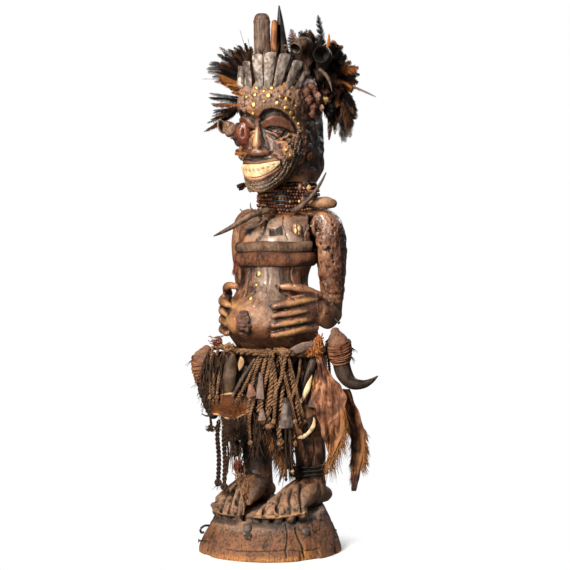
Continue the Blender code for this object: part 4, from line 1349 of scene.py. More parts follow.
# %% Horns
def ringed(rows, rings, height, side=(1, 0, 0), around=32, steps=14, until=1.0, **more):
    rows = [row if len(row) > 4 else (*row, row[3]) for row in rows]

    def change(share, angles):
        wave = abs(math.sin(math.pi * rings * share)) ** 0.6
        fade = 1.0 - ease(np.array(share), until - 0.15, until + 0.05)
        return 1.0 + height * fade * (wave - 0.5) + 0.012 * np.sin(3 * angles + 9 * share)

    return swept(rows, side=side, around=around, steps=steps, change=change, **more)


def one_shape(*parts):
    shape = Shape()
    for points, faces in parts:
        shape.add(points, faces)
    return shape


HORN_TIP = [(8, 42, 858, 15), (7, 39, 885, 13.5), (6, 36, 905, 12.4), (4, 34, 930, 10), (3, 32, 955, 7.6),
            (2, 31, 978, 4.6), (1, 30, 997, 1.4)]
make_piece("tall_crown_horn", one_shape(ringed(HORN_TIP, 16, 0.035, until=0.5)),
           BLACK_HORN, ["tall_black_horn"])


# A flat-topped stub of a big ribbed horn, its top folded over like a lip
def stub_shape():
    rows = [(-16, 8, 858, 15, 14), (-16, 6, 880, 15.5, 14), (-17, 3, 905, 15.8, 14.5),
            (-18, 2, 935, 15.8, 14.5),
            (-18, 1, 962, 15.4, 14.0), (-18, 1, 971, 14.8, 12.5)]

    def change(share, angles):
        grooves = 0.018 * np.abs(np.sin(3.5 * angles + 1.2 * math.sin(5 * share))) ** 0.5
        rings = 0.020 * abs(math.sin(38 * share)) ** 0.5
        lips = 0.07 * max(0.0, math.sin(26 * (share - 0.78))) if share > 0.78 else 0.0
        return 0.94 + grooves + rings + lips

    lid = (0.2, 0.45, 0.7, 1.0)
    return one_shape(swept(rows, side=(0.848, 0.53, 0), around=40, steps=16, square=2.8,
                           domes=lid, change=change))


make_piece("ribbed_crown_stub", stub_shape(), BROWN_HORN, ["ridged_horn_stub"])


# A hollow horn whose first row is its open mouth
def mouthed_horn(rows, depth, rim, rings, side=(1, 0, 0)):
    rows = [row if len(row) > 4 else (*row, row[3]) for row in rows]
    path = smooth_rows(rows, 10)
    first = path[0]
    inward = unit(path[3, :3] - path[0, :3])
    mouth = []
    for share in (1.0, 0.8, 0.5, 0.2):
        scale = (1.0 - rim) * (0.55 + 0.45 * (1.0 - share))
        mouth.append((*(first[:3] + inward * depth * share), first[3] * scale, first[4] * scale))
    mouth.append((*first[:3], first[3] * (1.0 - rim), first[4] * (1.0 - rim)))
    lip = (*(first[:3] - inward * 0.8), first[3] * (1.0 - 0.45 * rim), first[4] * (1.0 - 0.45 * rim))
    path = np.vstack([mouth, [lip], path])
    points, faces = swept_rings(path, len(mouth), side, 32, rings)
    return points, faces


# Rings along a path that turns back on itself at a mouth
def swept_rings(path, inner, side, around, rings):
    outer = path[inner + 1:]
    heading = unit(outer[3, :3] - outer[0, :3])
    along = np.vstack([np.tile(heading, (inner + 1, 1)), unit(np.gradient(outer[:, :3], axis=0))])
    angles = 2.0 * math.pi * np.arange(around) / around
    points = []
    for i, row in enumerate(path):
        wide = unit(np.array(side, float) - along[i] * np.dot(side, along[i]))
        deep = np.cross(along[i], wide)
        share = max(0.0, (i - inner) / len(outer))
        grow = 1.0 + (0.05 * (abs(math.sin(math.pi * rings * share)) - 0.5) if i > inner else 0.0)
        grow = grow * (1.0 + 0.03 * np.sin(2 * angles + 3 * share))
        points.append(row[:3] + np.outer(np.cos(angles) * grow,
                                         wide) * row[3] + np.outer(np.sin(angles) * grow, deep) * row[4])
    last = path[-1]
    for a in ROUND_END:
        centre = last[:3] + along[-1] * last[3] * math.sin(a)
        points.append(centre + math.cos(a) * (np.outer(np.cos(angles),
            wide) * last[3] + np.outer(np.sin(angles), deep) * last[4]))
    return np.concatenate(points) * MM, skin(len(points), around)


OPEN_MOUTH = [(46, 14, 916, 11, 15), (50, 28, 925, 12, 15), (51, 38, 926, 12, 14), (50, 46, 922, 11.5, 12.5),
              (44, 60, 900, 9.5, 9.5), (38, 66, 866, 6, 6)]
ROUND_MOUTH = [(89, 32, 905, 16, 16), (88, 39, 904, 16.5, 16.5), (85, 48, 900, 15, 15), (76, 60, 886, 12, 12),
               (64, 68, 862, 8, 8)]
MOUTH_RINGS = 4


# The rings inside the mouth come first, so they are the ones that get painted shade
def add_mouthed(name, rows, depth, rim, rings, side, finish, node):
    shape = one_shape(mouthed_horn(rows, depth, rim, rings, side))
    dark = np.zeros(len(shape.all_points()))
    dark[:32 * MOUTH_RINGS] = 1.0
    make_piece(name, shape, finish, [node], paints={"hollow": dark})


add_mouthed("open_mouth_crown_horn", OPEN_MOUTH, 26, 0.20, 9, (0, 0.3, 1), BROWN_HORN, "open_mouth_horn")
add_mouthed("round_crown_horn", ROUND_MOUTH, 26, 0.12, 6, (1, 0, 0), BLACK_HORN, "round_black_horn")

# %% [markdown]
# The forehead is crowned with strips of thin iron, beaten flat, a little wider at the top, and
# nailed side by side. A strip has an uneven edge and a slight curl, so it's a grid bent in code.


# %% Iron strips
STRIPS = [(-58, -66, 25, 868), (-43, -48, 25, 876), (-27, -30, 23, 884), (-10, -12, 21, 891), (8, 8, 21, 902),
          (20, 26, 22, 905), (32, 44, 23, 903), (47, 61, 24, 892), (60, 75, 20, 874)]
STRIP_FOOT = 838.0
STRIP_FOOT_WIDTH = 13.0
STRIP_LEAN = 0.16
STRIP_THICKNESS = 2.6


def sheet_block(grid, normals, thickness):
    rows, columns = grid.shape[:2]
    front = grid + normals * (0.5 * thickness)
    back = grid - normals * (0.5 * thickness)
    points = np.concatenate([front.reshape(-1, 3), back.reshape(-1, 3)])
    count = rows * columns
    faces = []
    for i in range(rows - 1):
        for k in range(columns - 1):
            a = i * columns + k
            faces.append((a, a + 1, a + columns + 1, a + columns))
            faces.append((count + a, count + a + columns, count + a + columns + 1, count + a + 1))
    border = [k for k in range(columns)] + [i * columns + columns - 1 for i in range(1, rows)]
    border += [(rows - 1) * columns + k for k in range(columns - 2, -1, -1)]
    border += [i * columns for i in range(rows - 2, 0, -1)]
    for a, b in zip(border, border[1:] + border[:1]):
        faces.append((a, count + a, count + b, b))
    return points, faces


# The place at a turn around the crown, at a height over the strips' feet
def strip_place(turn, height):
    angle = math.radians(turn)
    reach = STRIP_LEAN * height
    return np.array([(66 + reach) * math.sin(angle), 43 - (93 + reach) * math.cos(angle),
                     STRIP_FOOT + height])


def strip_shape(foot_turn, top_turn, top_width, top, seed):
    middle = math.radians(0.5 * (foot_turn + top_turn))
    foot = strip_place(foot_turn, 0.0)
    across = unit(np.array([66 * math.cos(middle), 93 * math.sin(middle), 0.0]))
    upward = (strip_place(top_turn, top - STRIP_FOOT) - foot) / (top - STRIP_FOOT)
    out = unit(np.cross(across, upward))
    draw = random.Random(seed)
    skew = draw.uniform(-1.4, 1.4)
    bend = draw.uniform(0.8, 2.4)
    tall = top - STRIP_FOOT
    grid = np.zeros((15, 8, 3))
    for i, up in enumerate(np.linspace(0, 1, 15)):
        width = 0.5 * (STRIP_FOOT_WIDTH + (top_width - STRIP_FOOT_WIDTH) * up ** 0.8) - 0.9
        width *= 1.0 - 0.10 * ease(np.array(up), 0.93, 1.0)
        for k, side in enumerate(np.linspace(-1, 1, 8)):
            edge = 0.5 * math.sin(7 * up + seed) * (abs(side) > 0.9)
            height = tall * (up - 0.03 * side * side * (up > 0.9)) + skew * side * up
            ripple = 0.6 * math.sin(9 * up + 3 * side + seed)
            curl = bend * math.sin(math.pi * up) - 1.6 * side * side + ripple
            grid[i, k] = foot + across * (side * width + edge) + upward * height + out * curl
    normals = unit(np.cross(np.gradient(grid, axis=1), np.gradient(grid, axis=0)))
    return sheet_block(grid * MM, normals, STRIP_THICKNESS * MM)


for number, (foot_turn, top_turn, width, top) in enumerate(STRIPS, start=1):
    strip = one_shape(strip_shape(foot_turn, top_turn, width, top, number))
    make_piece(f"hammered_strip_{number}", strip, IRON, [f"iron_strip_{number}"])
print(len(STRIPS), "iron strips")
# %% [markdown]
# Bundles of cock and guinea feathers stand out behind the crown. A card with a picture of a feather
# would look thin from the side, so every feather is a tapered quill with separate barbs, which droop and
# part as they do on an old dry feather.

# %% Feather finish
def feather_finish():
    plume = Finish("dry_feather", "black_feather", roughness=0.7, specular=0.12)
    tint = plume.painted("tint")
    dust = plume.cloud(0.012, detail=3)
    shade = tint + (dust - 0.5) * 0.25
    colour = shade.node("ShaderNodeValToRGB", {"stops": [
        (0.10, (0.005, 0.004, 0.004)),
        (0.40, (0.026, 0.011, 0.007)),
        (0.62, (0.13, 0.045, 0.015)),
        (0.90, (0.42, 0.17, 0.050)),
    ]}, {"Fac": shade})
    return plume.use(colour, 0.5 + 0.3 * dust)


FEATHER = feather_finish()
FEATHER_TINTS = {"black": 0.10, "brown": 0.45, "rust": 0.66, "orange": 0.88, "grey": 0.36}


class Plumage:
    """Feathers that are gathered into one piece, with a tint for every point."""

    def __init__(self, seed, bends=4):
        self.shape = Shape()
        self.tints = []
        self.bends = bends
        self.draw = random.Random(seed)

    def add(self, line, thick, tint, sides=4):
        points, faces = thread(line, thick, sides)
        self.shape.add(points, faces)
        self.tints.append(np.full(len(points), tint))

    # One feather from root to tip, bent towards a droop, with barbs on two sides
    def feather(self, root, tip, wide, droop, tint, barbs=26, bare=0.18, face=None):
        root, tip = np.array(root, float) * MM, np.array(tip, float) * MM
        length = np.linalg.norm(tip - root)
        heading = (tip - root) / length
        bow = np.array(droop, float) * length
        t = np.linspace(0, 1, 12)[:, None]
        quill = root + (tip - root) * t + bow * (4 * t * (1 - t)) * 0.5
        self.add(quill, 0.0009 * np.linspace(1.0, 0.3, 12), min(1.0, tint + 0.12), 5)
        look = np.array(TOWARDS if face is None else face, float)
        look = look + 0.35 * np.array([self.draw.uniform(-1, 1) for _ in range(3)])
        for i in range(barbs):
            place = bare + (1.0 - bare) * (i + 0.5) / barbs
            spot = place * 11
            low = int(min(spot, 10))
            start = quill[low] + (quill[low + 1] - quill[low]) * (spot - low)
            along = unit(quill[low + 1] - quill[low])
            across = unit(np.cross(along, look))
            swell = math.sin(math.pi * min(1.0, 0.12 + 0.88 * (place - bare) / (1 - bare))) ** 0.55
            for side in (-1, 1):
                reach = wide * MM * swell * self.draw.uniform(0.72, 1.08)
                lean = self.draw.uniform(0.55, 0.95)
                sag = np.array([0, 0, -0.22 * reach])
                way = unit(across * side + along * lean)
                ends = np.linspace(0, 1, self.bends)[:, None]
                barb = start + way * reach * ends + (along * 0.30 * reach + sag) * ends * ends
                jitter = self.draw.uniform(-0.08, 0.08)
                taper = 0.00125 * np.interp(ends[:, 0], (0.0, 0.4, 0.8, 1.0), (1.0, 0.95, 0.7, 0.3))
                self.add(barb, taper, max(0.0, tint + jitter), 3)

    # A fan of feathers between two tip directions
    def fan(self, root, tips, count, wide, droop, tints, spread=8.0, barbs=22):
        tips = np.array(tips, float)
        for i in range(count):
            share = i / max(1, count - 1) * (len(tips) - 1)
            low = int(min(share, len(tips) - 2))
            tip = tips[low] + (tips[low + 1] - tips[low]) * (share - low)
            tip = tip + [self.draw.uniform(-spread, spread) for _ in range(3)]
            start = np.array(root, float) + [self.draw.uniform(-6, 6) for _ in range(3)]
            tint = FEATHER_TINTS[tints[i % len(tints)]] + self.draw.uniform(-0.07, 0.07)
            self.feather(start, tip, wide * self.draw.uniform(0.8, 1.15), droop, tint, barbs)

    def make(self, name, replaced):
        make_piece(name, self.shape, FEATHER, replaced, smooth=False,
                   paints={"tint": np.concatenate(self.tints)})
        print(name, len(self.shape.faces), "faces")


def picked(u, v, depth):
    return tuple(behind_pixel(u, v, depth * MM) * 1000.0)


# %% [markdown]
# The tips are read from the picture where it shows them, each at a depth towards the camera, and
# the roots gather where the bundles are tied behind the head.

# %% Feathers on the figure's right
right = Plumage(21)
RIGHT_ROOT = (-48, 34, 858)
right.fan(RIGHT_ROOT, [picked(212, 63, -40), picked(222, 50, -30), picked(240, 47, -25)], 12, 9, (0, 0, 0.10),
          ("black", "black", "brown"))
right.fan(RIGHT_ROOT, [picked(206, 66, -30), picked(214, 76, -25), picked(218, 84, -20)], 8, 8, (0, 0, 0.05),
          ("black", "rust", "black"))
right.fan((-52, 22, 838), [picked(220, 74, 0), picked(222, 84, 5), picked(232, 92, 15)], 9, 7, (0, 0, 0.04),
          ("orange", "rust", "orange"), spread=4)
right.fan((-54, 24, 824),
          [picked(210, 94, 10), picked(212, 106, 12), picked(211, 121, 12), picked(203, 134, 8)], 14, 6,
          (0, 0, -0.05), ("black", "brown", "black", "rust"), spread=4)
right.fan((-50, 30, 850),
          [picked(232, 50, -20), picked(244, 45, -15), picked(250, 50, -12)], 9, 7, (0, 0, 0.12),
          ("black", "brown"), spread=6)
for u, v, depth in ((202, 79, 10), (240, 30, -10), (248, 38, -10), (236, 44, -15)):
    right.feather((-46, 20, 850), picked(u, v, depth), 0.6, (0, 0, 0.08), 0.34, barbs=6)
right.make("right_plumes", ["feathers_right"])

# %% Feathers on the figure's left
left = Plumage(33)
LEFT_ROOT = (62, 82, 868)
left.feather((66, 80, 880), picked(318, 15, -25), 10, (0.05, 0, 0.02), 0.10, barbs=30)
left.feather((66, 78, 884), picked(329, 34, -20), 5, (0.1, 0, 0.02), 0.86)
left.fan(LEFT_ROOT, [picked(334, 44, -20), picked(344, 50, -30), picked(346, 62, -30)], 12, 12, (0, 0, 0.14),
         ("black", "rust", "black", "brown"))
left.fan(LEFT_ROOT,
         [picked(302, 36, -50), picked(309, 33, -50), picked(318, 40, -50), picked(330, 48, -50)], 12, 11,
         (0, 0, 0.05), ("black", "brown", "black"))
left.fan(LEFT_ROOT,
         [picked(346, 66, -30), picked(356, 66, -25), picked(358, 76, -30), picked(352, 84, -30)], 14, 11,
         (0, 0, 0.10), ("brown", "black", "rust", "brown"))
left.fan(LEFT_ROOT, [picked(340, 84, -20), picked(352, 92, -20), picked(350, 102, -20)], 14, 9, (0, 0, 0.06),
         ("orange", "rust", "brown"), spread=5)
left.feather((74, 84, 860), picked(376, 97, -20), 3.5, (0, 0, 0.10), 0.60, barbs=24)
left.fan(LEFT_ROOT, [picked(326, 60, -10), picked(334, 72, -5), picked(340, 84, -5)], 12, 11, (0, 0, 0.06),
         ("black", "black", "brown"), spread=8)
left.make("left_plumes", ["feathers_left"])
dense = Plumage(39, bends=3)
dense.fan((34, 66, 862),
          [picked(292, 34, -30), picked(306, 32, -35), picked(316, 44, -35), picked(330, 56, -35)], 22, 13,
          (0, 0, 0.04), ("black", "black", "brown"), spread=9)
dense.fan((56, 76, 856),
          [picked(330, 62, -20), picked(338, 82, -18), picked(338, 100, -18), picked(334, 118, -18)], 24, 13,
          (0.05, 0, 0.06), ("black", "black", "brown", "black"), spread=8)
dense.fan((60, 70, 846),
          [picked(322, 84, 0), picked(330, 96, -4), picked(332, 112, -6), picked(330, 126, -8)], 18, 9,
          (0.05, 0, 0.06), ("black", "brown", "black"), spread=5)
dense.fan((-40, 34, 850),
          [picked(216, 72, -12), picked(226, 60, -16), picked(238, 54, -16), picked(247, 56, -16)], 18, 10,
          (0, 0, 0.06), ("black", "black", "brown"), spread=6)
dense.make("dense_dark_plumes", ())

# %% Feathers that droop behind the left cheek, and the ones behind
droop = Plumage(45)
droop.fan((78, 90, 848),
          [picked(352, 104, -10), picked(356, 120, -12), picked(351, 134, -12), picked(344, 142, -12)], 12,
          12,
          (0.12, 0, 0.22), ("black", "black", "brown"), spread=5, barbs=26)
droop.fan((74, 88, 842), [picked(336, 116, -15), picked(334, 132, -15), picked(330, 140, -18)],
          7, 7, (0.08, 0, 0.15),
          ("black", "brown"), spread=4)
droop.feather((80, 90, 838), picked(342, 143, -12), 5, (0.1, 0, 0.10), 0.58, barbs=24)
droop.make("drooping_plumes", ["feathers_drooping"])

back = Plumage(57, bends=3)
back.fan((-4, 112, 858), [(-40, 162, 900), (-16, 166, 925), (14, 166, 925), (40, 160, 896)],
         18, 12, (0, 0.05, 0.10),
         ("black", "brown", "black", "rust"), spread=6)
back.fan((-4, 108, 852), [(-66, 120, 900), (-30, 140, 940), (20, 140, 945), (50, 130, 930)],
         16, 12, (0, 0.05, 0.05),
         ("black", "black", "brown"), spread=8)
back.fan((0, 112, 848), [(-50, 148, 850), (-10, 162, 842), (30, 156, 850)], 10, 10, (0, 0.05, 0.12),
         ("black", "rust", "brown"), spread=5)
back.make("back_plumes", ["feathers_back"])

# %% Small feathers at the right cheek and a pale claw in the plumes
cheek_plumes = Plumage(69)
cheek_plumes.fan(picked(246, 156, 20), [picked(235, 153, 22), picked(236, 149, 18)], 3, 4, (0, 0, 0.05),
                 ("rust", "brown"), 1.5)
cheek_plumes.fan(picked(248, 182, 22), [picked(237, 186, 24), picked(239, 190, 20)], 3, 3.5, (0, 0, -0.05),
                 ("grey", "brown"), 1.5)
cheek_plumes.make("small_cheek_feathers", ())
CLAW = [(*picked(320, 70, 22), 3.6), (*picked(325, 74, 24), 3.4), (*picked(329.5, 81, 24), 2.6),
        (*picked(332, 91, 22), 0.8)]
make_piece("pale_claw", one_shape(swept(CLAW, around=14, steps=8)), BROWN_HORN)
# %% [markdown]
# The face carries brass tacks, lumps of resin, a snail shell and a bone plate. Each is set where a
# ray through its place in the picture meets the wood, and stands on the wood's own normal there.

# %% Tacks and studs
def frame_on(place, normal):
    out = np.array(normal, float)
    wide = unit(np.cross(out, (0.1, 0.2, 1.0)))
    return np.array(place, float), wide, np.cross(out, wide), out


# A turned form on a spot: rows of (radius, height) in metres, from the foot to the top
def turned(spot, rows, around=16, wobble=0.0):
    place, wide, deep, out = spot
    angles = 2.0 * math.pi * np.arange(around) / around
    points = []
    for number, (radius, height) in enumerate(rows):
        sway = 0.6 * wobble * np.sin(5 * angles + 2 * number)
        reach = radius * (1.0 + wobble * np.sin(3 * angles + number) + sway)
        aside = np.outer(np.cos(angles) * reach, wide)
        points.append(place + aside + np.outer(np.sin(angles) * reach, deep) + out * height)
    return np.concatenate(points), skin(len(rows), around)


def dome_rows(radius, height, sink=0.4):
    rows = [(0.9 * radius, -sink * height)]
    for a in np.linspace(0.0, 1.45, 6):
        rows.append((radius * math.cos(a), height * math.sin(a)))
    return rows


def add_domes(name, pixels, finish, swell=0.45, wobble=0.0, both=()):
    shape = Shape()
    for u, v, radius in pixels:
        place, normal = on_wood(u, v)
        size = radius * 0.00183
        shape.add(*turned(frame_on(place, normal), dome_rows(size, swell * size), wobble=wobble))
        if (u, v) in both:
            other, facing = nearest_wood(Vector((-place.x, place.y, place.z)))
            shape.add(*turned(frame_on(other, facing), dome_rows(size, swell * size), wobble=wobble))
    make_piece(name, shape, finish)
    print(name, len(pixels))


FOREHEAD_TACKS = [(257.3, 87, 3.0), (254.3, 94.7, 3.1), (272.1, 87.6, 3.0),
                  (268.6, 95.2, 3.1), (253.3, 104.9, 3.1),
                  (277.8, 103.9, 3.2), (286.4, 108, 3.0), (291.5, 113, 2.6),
                  (253.3, 115.1, 3.0), (287.4, 98.8, 2.8),
                  (263.5, 91, 2.0), (281, 96.4, 2.2), (296.5, 106, 2.2),
                  (245.6, 97.5, 2.4), (264, 101.5, 1.8)]
CHEEK_TACKS = [(289.5, 135.5, 2.5), (286.4, 150.8, 2.3), (290.5, 155.9, 2.2),
               (288.5, 168.2, 2.0), (294.5, 118, 2.0),
               (299, 124, 2.0), (300.5, 131, 1.9)]
BELLY_TACKS = [(258.3, 274.3, 3.2), (256.7, 284, 2.7), (250.2, 298, 2.9), (303, 258, 1.7)]
RIGHT_SIDE_TACKS = [(244.6, 110, 3.0), (239.5, 106, 3.2), (231.3, 101.8, 3.6)]
add_domes("forehead_tacks", FOREHEAD_TACKS, BRASS)
add_domes("cheek_tacks", CHEEK_TACKS, BRASS)
add_domes("belly_tacks", BELLY_TACKS, BRASS, swell=0.35)
add_domes("temple_studs", RIGHT_SIDE_TACKS, CLAY, swell=0.8, wobble=0.08)


# The same tacks go round the side of the head that the picture doesn't show
def hidden_tacks():
    shape = Shape()
    draw = random.Random(8)
    spots = [(-58, -20, 822), (-62, 0, 818), (-66, 20, 826), (-64, 42, 820), (66, 44, 832),
             (64, 60, 824), (40, 112, 820),
             (-40, 112, 820), (0, 134, 824), (-56, -6, 838), (-60, 30, 842), (22, 130, 822), (-22, 130, 822)]
    for x, y, z in spots:
        place, normal = nearest_wood(Vector((x, y, z)) * MM)
        size = 0.0052 * draw.uniform(0.85, 1.1)
        shape.add(*turned(frame_on(place, normal), dome_rows(size, 0.45 * size)))
    make_piece("side_tacks", shape, BRASS)


hidden_tacks()

# %% [markdown]
# Rows of tiny studs mark the beard along the jaw and up the cheek. They sit on a path over the wood,
# and a nearest point on the skin lays each row down.


# %% Beard studs
def stud_rows():
    shape = Shape()
    rows = [
        [(249, 187), (256, 191), (265, 190), (275, 184), (284, 176), (291, 165), (296, 153)],
        [(247.5, 190), (256, 194.5), (266, 193.4), (277, 187), (286.5, 178.5), (294, 167), (299, 154)],
        [(246, 184.5), (250, 181), (256, 182.5), (264, 182)],
        [(246.5, 187), (255, 188), (265, 186.5), (274, 181), (282, 173), (287, 163)],
        [(247, 184), (254, 185), (263, 184), (271, 179.5), (279, 172), (284, 163), (288, 154)],
        [(287, 172), (291.5, 163), (294, 152), (296.4, 140), (299.6, 128)],
        [(291, 172), (295.6, 162), (298.2, 150), (300.6, 140)],
        [(283, 185), (293, 175), (299, 163), (302, 150)],
        [(286, 146), (290, 141), (295, 137)],
        [(284, 157), (288, 149), (292, 144)],
    ]
    for number, row in enumerate(rows):
        fine = smooth_line([(u, v, 0.0) for u, v in row], 2.3)
        for u, v, _ in fine:
            place, normal = on_wood(u + 0.3 * math.sin(7 * v), v)
            size = 0.0019 * (1.0 + 0.18 * math.sin(5 * u + number))
            spot = frame_on(place, normal)
            shape.add(*turned(spot, dome_rows(size, 0.75 * size)[:5], around=8))
            if place.x > 0.012:
                other, facing = nearest_wood(Vector((-place.x, place.y, place.z)))
                shape.add(*turned(frame_on(other, facing), dome_rows(size, 0.75 * size)[:5], around=8))
    make_piece("beard_studs", shape, GREY_STUD)
    return len(shape.faces)


GREY_STUD = crusty_finish("stud_heads", "forged_iron", (0.05, 0.03, 0.02), (0.40, 0.30, 0.20),
                          size=0.004, height=0.0004,
                          roughness=0.42)
print("beard", stud_rows(), "faces")


# %% [markdown]
# Two things cover the right eye: a lump of resin and, beside it, a snail shell with its mouth
# outwards. The shell is a real spiral, a tube whose width grows by the same share each turn.

# %% Lumps of charge
def lump(rows, seed, side=(1, 0, 0), rough=1.6, finer=0.7, spacing=0.011, around=40, steps=12):
    points, faces = swept(rows, side=side, around=around, steps=steps)
    normals = unit(points - np.repeat(smooth_centres(points, around), around, axis=0))
    bumps = rough * np.abs(lumps(points, spacing, seed)) + finer * lumps(points, 0.4 * spacing, seed + 1)
    return points + normals * bumps[:, None] * MM, faces


def smooth_centres(points, around):
    return points.reshape(-1, around, 3).mean(axis=1)


RESIN_ROWS = [(-33, -27, 741, 9, 8), (-35, -31, 752, 13, 12), (-35.5, -33, 763, 14.5, 13.5),
              (-34, -32, 774, 12.5, 11.5),
              (-32.5, -30, 782, 8, 8)]
resin_points, resin_faces = lump(RESIN_ROWS, 5, rough=1.0, finer=0.5)
slit = np.exp(-((resin_points[:, 0] + 0.030) / 0.0022) ** 2) * (resin_points[:, 1] < -0.038)
slit *= np.exp(-((resin_points[:, 2] - 0.764) / 0.010) ** 2)
resin_points[:, 1] += 0.0040 * slit
EYE_RESIN = crusty_finish("eye_resin", "red_resin", (0.030, 0.007, 0.004), (0.21, 0.060, 0.034),
                          size=0.018, height=0.0008,
                          roughness=0.3, cracked=False)
# The slit also gets painted shade
make_piece("resin_eye", one_shape((resin_points, resin_faces)), EYE_RESIN, ["resin_on_right_eye"],
           paints={"hollow": slit})
TEMPLE = [(67, 30, 848, 8, 7), (69, 33, 838, 11, 10), (70, 36, 826, 12.5, 11),
          (71, 42, 812, 12, 11), (69, 44, 798, 9, 8)]
make_piece("temple_lump", one_shape(lump(TEMPLE, 12, rough=3.0, finer=1.3, spacing=0.009)),
           RESIN, ["temple_charge"])
SMALL_LUMPS = [(306.8, 91, 8.5, RESIN), (309.5, 99.5, 7.5, RESIN), (314, 107, 6.5, RESIN),
               (318.5, 96, 6, CLAY),
               (312, 114, 5, RESIN), (322, 108, 5.0, CLAY)]


def pebble(centre, size, seed, squash=(1, 1, 1)):
    rows = [(0, 0, -0.75 * size, 0.6 * size), (0, 0, -0.3 * size, 0.95 * size),
            (0, 0, 0.25 * size, 0.95 * size),
            (0, 0, 0.7 * size, 0.6 * size)]
    points, faces = swept(rows, around=20, steps=4)
    points = points * np.array(squash)
    points += unit(points) * (0.14 * size * MM * lumps(points * (10.0 / size), 0.009, seed))[:, None]
    return points + np.array(centre), faces


for number, (u, v, size, finish) in enumerate(SMALL_LUMPS, start=1):
    place, normal = nearest_wood(behind_pixel(u, v, 0.030))
    centre = behind_pixel(u, v, (place + normal * 0.006).dot(TOWARDS))
    make_piece(f"temple_bump_{number}", one_shape(pebble(centre, size, number)), finish)
place, normal = nearest_wood(behind_pixel(325, 99.5, 0.0))
make_piece("yellow_nut",
           one_shape(pebble(behind_pixel(325, 99.5, (place + normal * 0.006).dot(TOWARDS)), 7.5, 31)), NUT)


# %% A snail shell
def snail(mouth, heading, size, turns=3.3, around=22):
    axis = unit(np.array(heading, float))
    wide = unit(np.cross(axis, (0.2, 0.1, 1.0)))
    deep = np.cross(axis, wide)
    steps = int(turns * 26)
    points = []
    for i in range(steps + 1):
        share = i / steps
        turn = 2.0 * math.pi * turns * share
        grow = 0.06 + 0.94 * share ** 1.8
        tube = 0.40 * size * grow
        reach = 0.46 * size * grow
        drop = axis * (size * 1.45 * (grow - 1.0))
        centre = np.array(mouth) + drop + (math.cos(turn) * wide + math.sin(turn) * deep) * reach
        out = math.cos(turn) * wide + math.sin(turn) * deep
        angles = 2.0 * math.pi * np.arange(around) / around
        ridge = 1.0 + 0.045 * math.sin(50 * share)
        ring = np.outer(np.cos(angles), out) + np.outer(np.sin(angles), axis) * 1.5
        points.append(centre + ring * tube * ridge)
    end = points[-1]
    middle = end.mean(axis=0)
    for scale, sink in ((0.86, -0.02), (0.78, 0.12), (0.62, 0.3), (0.3, 0.4)):
        side = np.cross(axis, unit(middle - np.array(mouth)))
        points.append(middle + (end - middle) * scale - side * sink * size)
    return np.concatenate(points), skin(len(points), around), len(points) - 4, around


SHELL_MOUTH = np.array((-67, -41, 779)) * MM
shell_points, shell_faces, mouth_start, shell_around = snail(SHELL_MOUTH, (-0.25, -0.35, 0.90), 0.0225)
# Painted shade along the seams between the whorls and inside the mouth
seam = np.abs(np.sin(2.0 * math.pi * np.arange(shell_around) / shell_around))
hollow = np.tile(0.85 * ease(seam, 0.72, 1.0), len(shell_points) // shell_around)
hollow[(mouth_start + 1) * shell_around:] = 0.6
make_piece("shell_bed", one_shape(pebble(np.array((-51, -26, 762)) * MM, 13, 17, (1, 1, 1.3))), DARK_RESIN)
make_piece("snail_on_right_eye", one_shape((shell_points, shell_faces)), SHELL, ["shell_on_right_eye"],
           paints={"hollow": hollow})

# %% [markdown]
# The mouth is filled by a plate of bone or ivory, cut with a row of small holes for teeth. Its
# outline follows the picture, and the plate stands just proud of the lips.

# %% The mouth plate
PLATE_TOP = [(-37, 702), (-33, 705), (-22, 705.5), (-8, 705), (6, 705), (20, 707), (33, 710), (41, 711)]
PLATE_BOTTOM = [(-37, 698), (-32, 690.5), (-22, 685), (-8, 682.5), (4, 682.5), (18, 686),
                (30, 694), (41, 706)]


def mouth_plate():
    columns, rows = 44, 12
    top = smooth_line([(x, 0.0, z) for x, z in PLATE_TOP], 1.0)
    bottom = smooth_line([(x, 0.0, z) for x, z in PLATE_BOTTOM], 1.0)
    share = np.linspace(0, 1, columns)
    upper = np.stack([np.interp(share, np.linspace(0, 1, len(top)), top[:, k]) for k in range(3)], axis=1)
    lower = np.stack([np.interp(share, np.linspace(0, 1, len(bottom)), bottom[:, k]) for k in range(3)],
                     axis=1)
    grid = np.zeros((rows, columns, 3))
    normals = np.zeros((rows, columns, 3))
    for i in range(rows):
        up = i / (rows - 1)
        flat = lower + (upper - lower) * up
        for k in range(columns):
            x, z = flat[k, 0], flat[k, 2]
            y = -51.0 + 0.0125 * x * x
            bulge = 2.2 * math.sin(math.pi * min(1, max(0, up))) ** 0.5
            grid[i, k] = (x, y - bulge, z)
            normals[i, k] = unit(np.array([0.025 * x, -1.0, 0.0]))
    marks = np.zeros((rows, columns))
    for k in range(8):
        middle = (0.15 + 0.105 * k) * (columns - 1)
        spread = ((np.arange(columns)[None, :] - middle) / 1.3) ** 2
        height = (np.arange(rows)[:, None] / (rows - 1) - 0.50 - 0.05 * (k % 2)) / 0.11
        marks += np.exp(-spread - height ** 2)
    grid[:, :, 1] += 1.6 * np.clip(marks, 0, 1)
    points, faces = sheet_block(grid * MM, normals, 0.004)
    # The tooth holes also get painted shade
    paint = np.clip(marks, 0, 1).reshape(-1)
    make_piece("bone_teeth_plate", one_shape((points, faces)), BONE, ["bone_mouth_plate"],
               paints={"hollow": np.concatenate([paint, paint])})


mouth_plate()

# %% Small things at the head: plate, eyelet, ear plug, orange chips
def set_on_wood(name, u, v, rows, finish, around=18, wobble=0.06, lift=0.0):
    place, normal = on_wood(u, v)
    spot = frame_on(place + normal * lift, normal)
    make_piece(name, one_shape(turned(spot, [(a * MM, b * MM) for a, b in rows], around, wobble)), finish)


